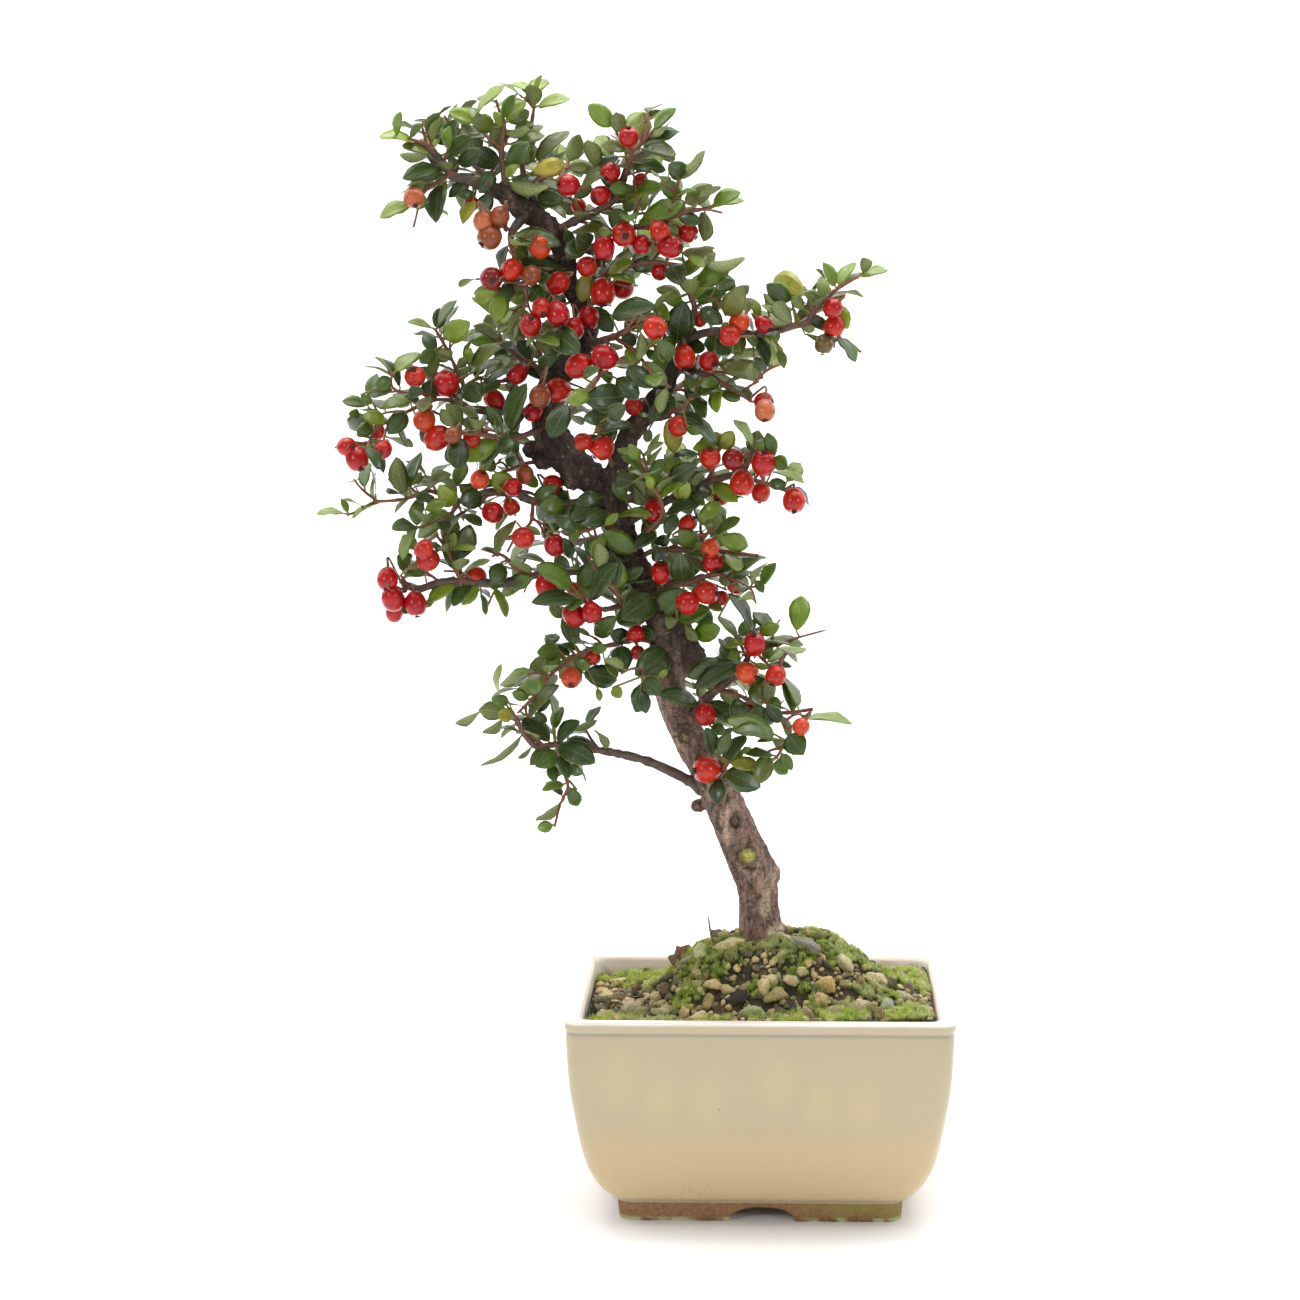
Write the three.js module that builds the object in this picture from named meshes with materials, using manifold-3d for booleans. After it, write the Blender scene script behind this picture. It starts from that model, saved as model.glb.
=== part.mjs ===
// A cotoneaster praecox bonsai in a glazed rectangular pot: a leaning trunk that forks, thin leafy shoots
// with small dark leaves, and red berries. Millimetres, +Z up, front towards -Y. It is built round the
// middle of the pot's underside, and moved at the end so that the origin is the middle of the bottom of
// the whole object's bounding box.
import * as THREE from 'three';
import { mergeVertices } from 'three/addons/utils/BufferGeometryUtils.js';
import Module from 'manifold-3d';

const wasm = await Module();
wasm.setup();

// Driving dimensions of the pot
const POT_WIDTH = 150;
const POT_DEPTH = 115;
const POT_HEIGHT = 85;
const WALL = 6.2;
const FLOOR_TOP = 12;
const FOOT_HEIGHT = 7.7;
const FOOT_RIM = 9;
const RECESS = 4;
const ARCH_WIDTH = 25;
const ARCH_TOP_WIDTH = 10;
const ARCH_HEIGHT = 5.6;
const DRAIN_RADIUS = 7;
const DRAIN_X = 26;
const MESH_SIZE = 20;
const MESH_THICK = 0.9;
// How far the wall stands in from the rim's outer edge, at each height from the foot's top to the lip
const WALL_PROFILE = [
  [18.4, 7.7], [14.9, 10.7], [12.7, 13.5], [8.2, 22.3], [5.5, 32.5], [3.4, 45], [1.6, 56], [0.6, 71],
  [0.6, 81], [0, 81.6],
];

// Gap left where one piece is cut by its neighbour or rests on it
const GAP = 0.3;
// A leaf or berry keeps at least this far from the other pieces, and a leaf this far from its neighbours
const CLEARANCE = 0.4;
const LEAF_CLEARANCE = 0.1;
// A leaf's root keeps this far off the wood that its twig leaves
const ROOT_CLEAR = 1.2;
// and reaches this far past the middle of its twig
const ROOT_DEPTH = 0.4;

// The point that the tree was measured from: a branch is given as it is seen from here, by its place in
// the upright plane through the trunk, and then moved along the line of sight to its depth.
const EYE = new THREE.Vector3(8.8, -1352.6, 419.8);

// Soil: it domes up round the trunk and lies a little under the rim
const SOIL_EDGE = 80.6;
const SOIL_DOME = 26;
const SOIL_RINGS = 5;
const SOIL_GRIT = 3;
const SOIL_SIDE_STEPS = 3;

// Leaves and berries
const LEAF_THICKNESS = 0.7;
const LEAF_SLENDERNESS = 0.56;
const LEAF_ARCH = 0.06;
const WIDEST_LEAF = 10.5;
// A leaf whose base is seen this near its twig's edge starts in the twig; the others have a stalk
const NEAR_TWIG = 1.8;
// Smaller leaves, and those seen edge on, are left out of the solids, but for the outermost
const SHORTEST_LEAF = 11;
const NARROWEST_LEAF = 3.5;
const STALK_RADIUS = 0.55;
const BERRY_SIDES = 5;
const HUB_RADIUS = 1.2;
// A berry hangs this far before the twig that bears it, or behind it where a leaf half hides it
const BERRY_BEFORE = 6;
const BERRY_BEHIND = 3;
// The leaves at the back of the tree: how far apart they stand along a twig, and their lengths
const BACK_SPACING = 6;
const BACK_SHORTEST = 14;
const BACK_LONGEST = 20;
const GOLDEN_ANGLE = 2.39996;
// They stay behind the leaves that are seen from the front: so many of those lie this near
const COVER_RADIUS = 12;
const COVER_COUNT = 2;
// What would cross a neighbour is moved this far in depth, first choice first
const LEAF_BENDS = [0, -4, 4, -8, 8, -12, 12, 17];
const BERRY_BENDS = [0, -3, 3, -6, 6, -10, 10];

// The trunk with its two limbs: [x, z, radius, depth], in the order of growth
const TRUNK = [
  [-0.5, 62, 6, 0], [-0.5, 84, 10.5, 0], [0, 97, 11.2, 0], [0.5, 105, 10, 0], [-0.4, 112, 8.7, 0],
  [-0.6, 120, 8, 0], [-1.4, 128, 8.5, 0], [-3.3, 134.5, 9.2, -0.5], [-5.6, 140, 8.9, -1], [-8, 145, 8.2, -1],
  [-10.6, 151, 8.2, -2], [-14.4, 160, 7.8, -2], [-17.5, 167, 7.4, -3], [-22, 175, 6.9, -3],
  [-27, 184, 6.6, -3], [-32, 194, 6.3, -2], [-35.2, 203, 6, -2], [-37, 215, 6, -1], [-38.5, 226, 5.4, 0],
  [-42, 237, 5, 0],
  [-46.5, 249, 5, 0], [-51.5, 260, 5.1, 1], [-56, 271, 5.4, 1], [-59.5, 281, 6, 2], [-64, 288, 6.3, 2],
  [-72, 294, 6.5, 3], [-79, 302, 7, 4], [-83, 309, 7, 5], [-84, 317, 6.5, 6], [-82, 325, 5.5, 6],
  [-77, 333, 4.8, 6], [-70.5, 341, 4.2, 5], [-67.5, 348, 3.4, 4], [-70, 356, 3.4, 3], [-74.5, 365, 3.4, 2],
  [-76, 375, 3.6, 1], [-79.5, 384, 4.2, 0], [-85, 390.5, 4.6, -1], [-92, 395.5, 4.6, -2], [-98, 400, 4.2, -4],
  [-104, 403.5, 3.2, -5], [-109, 405, 2.6, -6],
];
const RIGHT_LIMB = [
  [-58, 278, 5, 1], [-57.5, 289, 4.7, 0], [-55.5, 300, 4.2, -1], [-51, 309, 4, -2], [-46, 315, 3.8, -2],
  [-40, 323, 3.6, -3], [-35.5, 331, 3.2, -4], [-32, 339, 2.9, -5], [-27.5, 350, 2.3, -6],
];
// Swellings and cut-back stubs on the wood: [x, z, depth, radius]
const KNOBS = [
  [-5.2, 139, -7.5, 4.2], [-25, 159.5, -2, 3], [-27.5, 219.5, -2, 6], [-81.5, 386.5, -1, 4.6],
  [7, 108, -1, 4.2],
];

// Every leafy shoot. The first twig of each leaves the wood: [depth where it starts, depth where it ends,
// then x z radius points]. The others leave the first, so they have only the depth where they end.
const SHOOTS = {
  crown_tip: [
    [-6, -14, -108, 404.8, 2.5, -114, 407, 2.3, -120, 408.5, 2.2, -124, 413.5, 2, -128, 418, 1.7,
      -131, 421, 1.3, -138, 423, 0.8],
    [-18, -121, 409.5, 1, -130, 404, 0.8, -136, 398, 0.6],
    [-6, -124, 413, 0.9, -121, 420, 0.7, -120, 425, 0.6]],
  crown_left_up: [
    [-4, -1, -98, 400, 2, -100.5, 411, 1.6, -101, 419, 1.3, -100, 429, 1.1, -101.5, 433, 0.8,
      -103, 438, 0.6],
    [-8, -101, 418.5, 0.8, -107, 424, 0.6, -110, 430, 0.5]],
  crown_mid_up: [
    [0, 5, -83.5, 390, 1.6, -90, 402, 1.4, -93, 413, 1.2, -90, 423, 1, -89, 430, 0.9, -88, 436, 0.7,
      -87.5, 441.5, 0.5],
    [-8, -92, 404, 0.8, -86, 409, 0.6]],
  crown_right: [
    [-2, -14, -79, 388, 2, -73, 391, 1.9, -66, 394, 1.8, -58, 399, 1.6, -54, 406, 1.5, -51, 414, 1.2,
      -50.5, 419, 1, -56.5, 425, 0.7],
    [-18, -50.5, 417, 0.9, -46, 421, 0.7, -42, 426, 0.5],
    [-4, -54, 406, 0.9, -60, 409, 0.7, -64, 411, 0.5],
    [-14, -61, 397, 1, -54, 393, 0.8, -51, 392, 0.7, -47, 399, 0.5]],
  crown_right_low: [
    [-3, -22, -76, 377, 1.8, -66, 381, 1.5, -57, 387, 1.3, -48, 389, 1.2, -38, 391, 1.1, -30, 394.5, 1,
      -23, 395.5, 0.8, -17, 397, 0.6],
    [-24, -38, 391, 0.8, -34, 399, 0.6, -32, 407, 0.5]],
  crown_mid_right: [
    [2, -14, -71, 359, 1.6, -66, 366, 1.4, -60, 370.5, 1.2, -50, 374, 1.1, -40, 375, 1, -33.5, 374, 0.9,
      -22, 374, 0.6]],
  limb_top: [
    [-6, -10, -27.8, 349, 1.9, -26, 357, 1.4, -28, 363, 1.1, -30, 369, 0.8],
    [-16, -26, 357, 0.8, -20, 361, 0.6, -15, 358, 0.5]],
  limb_right: [
    [-5, -14, -30, 344, 2.1, -24, 347, 2, -17, 348, 2, -8, 347, 1.8, 3, 347.5, 1.7, 12, 350, 1.5,
      18, 351.5, 1.3, 21, 356, 1.1, 25, 360.5, 1, 31, 365.5, 0.9, 38, 369.3, 0.7],
    [-4, 18, 351, 1, 23, 349.5, 0.9, 28, 347.5, 0.8, 33, 344, 0.6, 39, 340, 0.5]],
  limb_fork: [
    [-4, -18, -35, 332, 1.8, -28, 333, 1.6, -20, 330.5, 1.5, -15, 327.5, 1.4, -8, 324, 1.3, -4, 321, 1.1],
    [-22, -8, 324, 0.8, -4, 327, 0.6, -1, 328.5, 0.5]],
  limb_short: [
    [-2, -20, -46, 314, 1.8, -38, 314.5, 1.5, -35, 317, 1.2, -30, 318, 0.8]],
  centre_front: [
    [4, -24, -67, 343, 1.8, -58, 346, 1.6, -52, 349, 1.1],
    [-30, -58, 346, 1, -50, 341, 0.9, -43, 332, 0.7],
    [-30, -60, 345.5, 0.9, -62, 335, 0.8, -66, 326, 0.7]],
  centre_low: [
    [0, -24, -57, 292, 1.4, -60, 300, 1.1, -62, 308, 0.9, -66, 313, 0.7]],
  left_upper: [
    [1, -14, -76, 373, 1.6, -84, 370, 1.4, -92, 367, 1.2, -99, 365.5, 1, -103, 364, 0.7],
    [-14, -92, 367, 0.8, -91, 358, 0.6, -88, 353, 0.5]],
  left_stub: [
    [-3, -15, -91, 394.5, 2.4, -97, 387.5, 1.8, -98, 383, 1.1, -97, 379, 0.7]],
  left_mid: [
    [4, -10, -84, 318, 2.2, -95, 317, 2, -105, 317, 1.8, -116, 318.5, 1.6, -119, 323, 1.2, -117, 327, 1,
      -119.5, 333, 0.9, -122, 338.5, 0.8, -125, 344.5, 0.7, -128, 349.5, 0.6],
    [-22, -117, 319.5, 1, -128, 321.5, 0.9, -141, 316, 0.8, -147, 313, 0.8, -152, 309.5, 0.7,
      -155, 304, 0.6],
    [-24, -141, 316, 0.7, -143, 325, 0.6, -145, 332, 0.5]],
  left_inner: [
    [5, 12, -81, 327, 1.7, -89, 335, 1.5, -94, 337.5, 1.3, -103, 345, 0.9],
    [2, -90, 335.5, 1, -100, 329, 0.8, -111, 330, 0.6]],
  left_shoulder: [
    [2, -24, -84, 311, 1.6, -96, 306.5, 1.3, -103, 306, 1.1, -111, 308, 0.9, -119, 308, 0.7]],
  left_whip: [
    [2, -13, -62, 283, 2.1, -72, 281, 2, -80, 280.5, 2, -90, 281.5, 1.9, -97, 284.5, 2, -105, 285, 1.9,
      -112, 284, 1.5, -119, 281.5, 1.2, -126, 284, 1.1, -132, 285.5, 0.9, -138, 283, 0.8, -145, 281.7, 0.7,
      -153, 281, 0.7, -158, 278, 0.6, -164, 275.8, 0.5],
    [-12, -90, 281.5, 1, -91, 273, 0.8, -96, 269, 0.6],
    [-20, -119, 281.5, 0.8, -122, 277, 0.6, -134, 271, 0.5]],
  shoulder_low: [
    [0, 6, -74, 296, 1.4, -84, 297, 1.1, -92, 296.5, 0.8, -99, 294, 0.7, -106, 291.5, 0.6]],
  low_left: [
    [1, -14, -47, 250, 2.2, -58, 252, 2, -70, 254, 1.9, -80, 252.5, 1.7, -89, 252, 1.6, -97, 250, 1.8,
      -103, 248.7, 1.9, -112, 249, 1.9, -122, 249.5, 1.8, -129, 248.5, 1.8, -135, 246.5, 1.7, -139, 247, 1.5,
      -143, 250, 1.2],
    [-18, -118, 250, 1, -121, 254, 0.9, -124, 262, 0.8, -129, 268.5, 0.6],
    [-12, -89, 252.5, 0.9, -96, 253.5, 0.9, -102, 260, 0.8, -106.5, 259.5, 0.6]],
  low_front: [
    [-1, -22, -43, 238, 1.6, -55, 239.5, 1.4, -63, 238.5, 1.2, -72, 243, 0.8],
    [-26, -55, 239.5, 0.9, -58, 247, 0.7, -62, 250, 0.5]],
  low_twig: [
    [-1, -16, -38, 223, 1.5, -46, 226.3, 1.4, -53, 225.5, 1.2, -60, 224, 1.1, -66, 223, 1, -71, 221, 1,
      -76, 218, 0.95, -80, 215, 0.9, -84, 211.5, 0.9, -88, 206, 0.8, -93, 200.5, 0.7, -97, 196.5, 0.6],
    [-24, -50, 226, 0.9, -47, 219, 0.7, -47, 211, 0.5]],
  low_branch: [
    [-3, -16, -18, 162, 3, -25, 167, 2.6, -30, 170.3, 2.3, -38, 174.3, 2.1, -45, 177.3, 2, -52, 179.3, 1.9,
      -60, 181, 1.8, -66, 182, 1.7, -74, 183.5, 1.6, -82, 184, 1.5, -89, 183, 1.4, -93, 186.5, 1.2,
      -97, 193, 1, -99, 197.5, 0.7],
    [-18, -81, 183.5, 0.9, -79, 174, 0.8, -77, 167, 0.7, -80, 160, 0.6, -82.5, 150.5, 0.5]],
  right_low: [
    [-3, -16, -31, 192.5, 2.4, -22, 202.5, 2.2, -18, 206, 2.1, -13, 210, 2, -9, 213, 1.8, -6, 217, 1.5,
      -4, 222, 1.1, 0, 222.5, 0.8, 7, 224.5, 0.7, 14, 227, 0.6, 25.5, 230.2, 0.4],
    [-22, -18, 205.5, 1, -10, 204.5, 0.9, -5, 202, 1, 1, 198.5, 1, 9, 197, 0.9, 20.5, 198.5, 0.8],
    [-28, 9, 197, 0.8, 11, 190.5, 0.8, 9, 184, 0.7, 6, 178.5, 0.6]],
  trunk_shoot: [
    [-3, -24, -18.5, 168, 1.4, -15, 174, 1.1, -13, 177.5, 0.8]],
  right_mid: [
    [1, -13, -56, 271, 1.9, -40, 280, 1.9, -28, 286, 1.8, -20, 289.3, 1.8, -12, 291.5, 1.6, -7, 292, 1.4,
      -3, 289.7, 1, 2, 288.5, 1, 10, 285.5, 0.7],
    [-13, -19, 289.5, 0.9, -18.5, 297, 0.7, -16, 302, 0.5],
    [-17, -7, 292, 0.9, -4, 298, 0.7, -2, 303, 0.5]],
  rosette: [
    [0, -32, -52, 261.5, 1.2, -45, 269, 1, -39, 276, 1, -40, 283, 0.9, -44, 290, 0.8, -48, 297.5, 0.6]],
  right_inner: [
    [1, -12, -50, 257.5, 1.5, -42, 262, 1.2, -33, 262, 1.1, -20, 262, 1, -8, 260.5, 0.8, -1, 260, 0.6],
    [-18, -24, 262, 0.8, -22, 268, 0.6, -18, 271, 0.5]],
  right_red: [
    [0, -20, -45, 247, 1.4, -34, 248, 1.1, -28, 249, 1.1, -22, 251.5, 1, -15, 252, 0.9, -4, 246.5, 0.6]],
  trunk_arc: [
    [-2, -14, -55.5, 270, 1.1, -62, 272, 0.9, -68, 270, 0.7, -73, 268.5, 0.6]],
  back_low: [
    [-1, 38, -29, 188, 1.9, -22, 200, 1.5, -16, 208, 1.2, -9, 214, 0.8],
    [32, -20, 203, 0.8, -27, 209, 0.6]],
  back_low_left: [
    [0, 42, -40, 232, 1.8, -49, 238, 1.5, -58, 242, 1.2, -68, 247, 0.8]],
  back_low_right: [
    [0, 46, -44, 243, 1.8, -34, 252, 1.5, -24, 258, 1.2, -12, 260, 0.8]],
  back_mid_left: [
    [2, 44, -55, 268, 1.8, -68, 266, 1.5, -80, 264, 1.1, -92, 266, 0.8]],
  back_mid_right: [
    [3, 50, -58, 277, 2, -46, 287, 1.6, -34, 292, 1.2, -22, 295, 0.8]],
  back_shoulder: [
    [7, 46, -78, 300, 2, -86, 303, 1.6, -98, 306, 1.3, -110, 308, 0.9]],
  back_centre: [
    [6, 54, -83, 309, 2, -74, 318, 1.7, -66, 328, 1.3, -58, 336, 0.9]],
  back_left: [
    [6, 44, -77, 333, 1.9, -86, 338, 1.5, -97, 342, 1.1, -106, 346, 0.8]],
  back_limb: [
    [-2, 44, -42, 320, 1.8, -30, 328, 1.5, -20, 334, 1.2, -8, 338, 0.8]],
  back_high: [
    [3, 50, -70, 356, 1.9, -60, 365, 1.6, -49, 373, 1.3, -38, 381, 0.9]],
  back_high_left: [
    [1, 44, -76.5, 377, 1.8, -86, 376, 1.5, -94, 371, 1.1, -101, 366, 0.8]],
  back_crown: [
    [0, 40, -90, 394.5, 1.8, -85, 402, 1.5, -78, 408, 1.2, -75, 414, 0.8]],
  back_tip: [
    [-5, 28, -104, 403.5, 1.6, -110, 411, 1.3, -116, 418, 1, -121, 424, 0.7]],
};

// The leaves that can be told apart from the front: base x z, tip x z, width as it is seen and its tone:
// D dark, G green, L light, O olive, Y yellowing, and S where the pale underside shows. A star marks the
// outermost, which are built however small they are seen.
const LEAVES = `
-133 421 -149 424 4L, -142 424.5 -140 433.5 4L, -137 423 -132 429 3.5G, -127 415 -140 420.5 5O,
-129 416 -141 417 4S, -124 411 -140 407.7 7D, -121 409.5 -137.5 404.5 5O, -124 418 -118 431.5 6D,
-123 419 -121 428 4L, -121 415 -113 424 7D, -118 413 -109 419 7D, -125 407 -127 390.5 8D,
-122 407 -125 396 5L, -137 397 -149 392.5 6L, -131 402 -134.5 395.5 5S, -121 425.5 -109 426 5O,
-110 430.7 -121.5 433.5 6L, -111 432 -99.5 443 4L, -103.5 437 -110.5 438.7 3L, -104 427 -113 431 8O,
-100 427 -104 433.5 4L, -99 431 -96 440 5G, -99 429 -91 437 5L, -98 430 -90 433.5 6G,
-99 424.5 -90 426.5 4S, -96 426 -88 429 4G, -89 441 -97.5 444 3L, -87.5 442 -85 447.5 2.5L*,
-87 435 -74 438 5L, -101 413 -112 418 9D, -98.5 411 -90 421.5 8G, -95 413 -88 419 6O,
-88 414 -74.5 426 6O, -96 421 -84 424 5O, -89 410 -76 413.5 8Y, -91 409 -80 409.5 4L,
-97 405 -83 404 6S, -97 405.5 -74 401.7 5G, -89 398 -77 399.5 7D, -104 410 -110 402 7D,
-105 402 -110 395 7D, -112 402 -118 401 4D, -112 400 -116.5 390 5.5Y, -98 387 -78 381.7 7G,
-97 386 -94 372.5 7O, -98 383 -102 371 4.5D, -76 372.5 -94 375 5.5D, -104 366 -112.5 363 6S,
-103 364 -112.5 360 7L, -101 364 -104 352 8L, -96 366 -102 362 6D, -80 361 -88 359.5 5D,
-57.5 427.5 -67 436 8L, -57 427 -63.7 430 2L, -53 421 -45 433 11L, -42 427 -33 434.5 5G,
-48 421 -32 425.5 6D, -45 425 -35 429.5 2.5S, -48 418.5 -33 416.5 6O, -58 415 -64 424 8L,
-52 418 -62.5 420.5 5O, -64 411 -74.5 412 6O, -55 416 -64 410.5 5D, -56 412.5 -70 404.5 6O,
-49 411 -37 410.5 6D, -46 413 -38 415.5 6L, -30 409 -36 413 8D, -34 408 -21.5 418 5S,
-30 397.5 -19 405 8O, -20 397.5 -8 402 6L, -17 397 -6.5 399 4L, -53 399 -38 405 7L,
-49 390 -30 398 8L, -47 390 -26 386 9L, -36 392 -30 399 7S, -33 392 -23.5 390.5 5.5D,
-57 388 -67 398 4S, -51 390 -57 396 5G, -54 398 -60 404 6S, -58 388.5 -74 387 5O,
-65 378 -72 386 9D, -61 371 -50 375.5 5L, -61 370.5 -49 367 4L, -68 371 -70 359.5 7Y,
-50 376 -41 374 7D, -31 379 -18 380.5 5S, -22 374 -6 376.5 5S, -28 372 -22 379 6L,
-26 366 -12 373 9L, -31 367 -35 373.5 3L, -31 361.5 -41 365 5O, -33 343.5 -30 360 12D,
-30 359 -38 361 5L, -25 360 -13.5 363.5 6G, -14 354 -7 365.5 10O, -1 353 -3.5 361 4L,
-59 354.5 -41 358 9D, 28.5 365.5 24 375 5L, 28.5 365.5 36.5 375 5L, 39 368 49.5 371.5 4L*,
39.5 370.5 42 376 5S, 18 362 5 369 11Y, 12 360 2 366.5 8D, 25 359 16.5 363 5O,
13 357 0 358 4S, 12 353 5 359.5 7S, 13.5 349.5 -1 356 5S, 25 348 20 354 5D,
28 358.5 34 349 8L, 17 347 31 345.5 3S, 28 346.5 37 336 5G, -18 350 -20 339.5 5G,
-12 349 -17 339 9D, -7 346 -8 338.5 4O, -3 344 4 333.5 6D, -2 344 7.5 334.5 9Y,
-17 335.5 1 329.7 8O, -32 331.5 -25 324.5 7G, -17 326 -24 327 5.5G, -15 326 -3 322 3G,
-20 323.5 -19 318 2S, -30 325.5 -22 314 6D, -35 316 -22 311 5D, -33 321 -43 321 9D,
-38 320 -44 313 7D, -33 314.5 -16.5 303 6G, -35 314 -34 300 8Y, -44 310 -45 304.5 4S,
-53 334 -42 326 8D, -47 348 -48 337 5S, -42 343 -38 336 4O, -71 322 -53 323 12D,
-68 325 -75 319.5 7L, -76 320 -83 306.5 9D, -60.5 308 -70 303 7D, -66 308 -50.5 312 6D,
-60 315 -70 314 7D, -16 303 -18 309 6Y, -15 303 -11 309 7Y, -16 303.5 -27 302 6L,
-24 300 -35 299 3D, -3 304 -11 313.5 4L, -3 300 3 305.5 6G, 5 298.5 2.5 308.5 6G,
5 299 10 294 6G, 10 289 15.5 296.5 7L, 4 293 17 288.5 3.5L, 13 287 19 279.5 2.5D,
-5 295 -6.5 303 6G, -19 287 -9 281 7L, -22 288 -24 282 7D, -40 283 -43 293 7L,
-39 283 -31.5 288 4L, -44 277 -48 290 6.5S, -47 297.5 -52 304 5L, -47 298 -38 304.5 2O,
-36 291 -34 301 8L, -36 290 -25 296 8D, -31 289 -33 282.5 8Y, -50 289 -58 291 8D,
-53 281 -58.5 289 6G, -46 290.5 -55 299 3.5G, -43 292 -38 298 5G, -127 350.5 -119 360.5 4G,
-129 350 -139 352 3L, -125 346 -114 352 9L, -125 344 -116 349 5D, -128 340 -132 348 6D,
-119 338 -129 341 6S, -102 345 -113 350.5 5O, -104 348 -98.5 351 2S, -103 345 -114 344 6L,
-95 341 -105 339 5D, -89 338 -95 345 7D, -115 331 -103 343.5 6O, -112 331 -98 337.5 5O,
-110 326 -94 334.5 4D, -101 330 -111 325 6O, -88 341 -80 349 6O, -82 348 -71 340 11D,
-89 333 -80 338 7D, -93 331 -83 330 5D, -100 310 -92 328 8D, -102 311 -108 319 6D,
-96.5 307 -104 301 8D, -103 306 -110 296 7D, -103 306.5 -116 297 9L, -118 306 -120 294 9D,
-110 312 -118 313 6D, -121 311 -126 318 6S, -117 326 -121 310 6O, -155 319.5 -165 321 5O,
-154 322 -151 332 5G, -143 331 -151 326 6G, -138 321 -150 318.5 5L, -156 316 -162 310 7D,
-147 313 -157 315.5 6L, -138 316 -147 308 8D, -146 332 -134 340 6L, -147 334 -152 338.5 1.5L,
-137 322 -133 333 4O, -126 329 -133 323 8D, -155 303 -149 292.5 3D, -151 304 -161 304 4S,
-165 276.5 -176 276.3 3L*, -165 277 -166 282.5 3L, -153 281.5 -152 293.5 1.5L, -150 280 -162 274.5 2L,
-140 285 -144 299 8S, -139 286 -134 301 6G, -134 287 -122 292 5O, -138 282 -145 276.5 2L,
-138 285 -130 282 5D, -121 278 -127 288 8L, -122 278.5 -136 267 8L, -136 271 -142 258 5L,
-109 281 -119 281 9D, -113 285 -119 288 5S, -104 289 -112 287 4G, -96 288 -106 292 9L,
-99 278 -105 270 4L, -97 274 -105 261 5O, -138 243 -142 236.5 7D, -139 256 -144 260 8G,
-136 262 -142 268 5L, -133 252 -142 253 4G, -130 251.5 -136 239 3S, -120 246 -132 241 6L,
-118 247 -125 237 4G, -111 246.5 -118.5 240 6L, -107 246 -101 235 4L, -89 251 -103 244 7L,
-103 257 -106 248 8D, -118 252.5 -107 258 2.5L, -85 257 -97 259.5 3G, -124 257 -114 262 4D,
-122 263 -112.5 262.5 3L, -124 262 -121 269 5O, -58 275 -43 276 4L, -46 272.5 -36 275 5G,
-33 276 -38 268.5 6D, -37 276.5 -24 280 5D, -24 274 -16 281 7L, -23 268 -16 276 8S,
-18 268 -8 274.5 4.5G, -17 267 -5 263.5 8L, -24 262 -32.5 270 8G, -31 249 -32 261 10D,
-20 251 -29.5 259.5 5O, -20 253 -1 260 7G, -12 252.5 0 260 5G, 0 248 6 257 5G,
-2 250 1 245 4G, -43 244 -57 233 14D, -44 236.5 -29 246 11G, -41 251.5 -57 249 6D,
-50 258 -64 267 9D, -60 259 -70 265 9D, -75 259 -78 267 5D, -72 269.5 -81 275 6D,
-66 243 -57 257 8D, -69 250 -67 243 4D, -74 246.5 -89 256 8G, -72 243.5 -91 241 7D,
-74 224 -77 237 8D, -63 283 -76 273 9D, -60 277 -70 272 8D, -76 286 -88 274 12D,
-90 284 -80 287.5 6G, -39 258 -42 264 7D, -41 269 -50 263 6D, -27 228 -16 231 9L,
-30 232 -25 225.5 5O, -33 234 -38 233 6S, -37 222 -50 212 13D, -44 210 -50 197 8D,
-48 210 -40 204 7D, -55 224 -55 212.5 9D, -71 213 -57 210 10D, -74 219 -68 214.5 6G,
-80 222 -89 221 8G, -72 223 -80 224.5 3D, -80 220 -86 213 6G, -88 211 -104 208 7L,
-104.5 204 -103 216.5 3L, -93 195 -80 208 6O, -91 204 -97 206 6L, -59 207 -55.5 203 5L,
-65 207 -64 201.5 3L, -83 183.5 -95 195 8D, -82 185 -72 193.5 6D, -82 183.5 -66 176.5 10D,
-80 186 -66 184 6D, -83 182 -92 175.5 5G, -82 181 -77 170 6D, -83 190 -84 206 3G,
-82 190 -79 199.5 5G, -77 190.5 -65 194 3S, -79 175 -71 172 5G, -78 168 -87.5 165.5 4L,
-76 168 -73 159 6G, -80 161.5 -90 153 4S, -83 151.5 -89.5 150 5L, -110 199 -122 192.5 3S,
-100 198 -112.5 198 8S, -98.5 196 -105 195.5 6Y, -103 194 -111 188.5 4S, -95 189 -112 175 3S,
-91 184 -97 178.5 2S, -8 219 -27 206.5 8D, -25 201.5 -40.5 204 7D, -24 200.5 -33 192 7G,
-20 199 -7 192 8D, 6 188 -14 194 8G, 14 229.5 16 244 9L, -1 229 7.5 232 6L,
1 226 17 224 4G, 2 217 18 223 5L, 0 215 12.5 215.5 3D, 0 212 0 200 10G,
-4 227 -14 223 4L, -3 229 -13 245 5D, -9 226 -17 236 3D, -13 219 -17 227 3D,
9.5 193 2 200 6D, 15 197 9 211 4G, 16.5 194.5 36.5 192.5 4L, 13 189 17 180 10D,
10 180 7 172 7G, 5 178.5 -6 180.5 4D, -14 177 -1 175 6Y, -15 173 0 167 11D,
-15.5 172 -17.5 160 7D, -16 177 -6 188 6D, -19 180 -22 191 6D, -17 180 -12 189 6G`;

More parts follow.
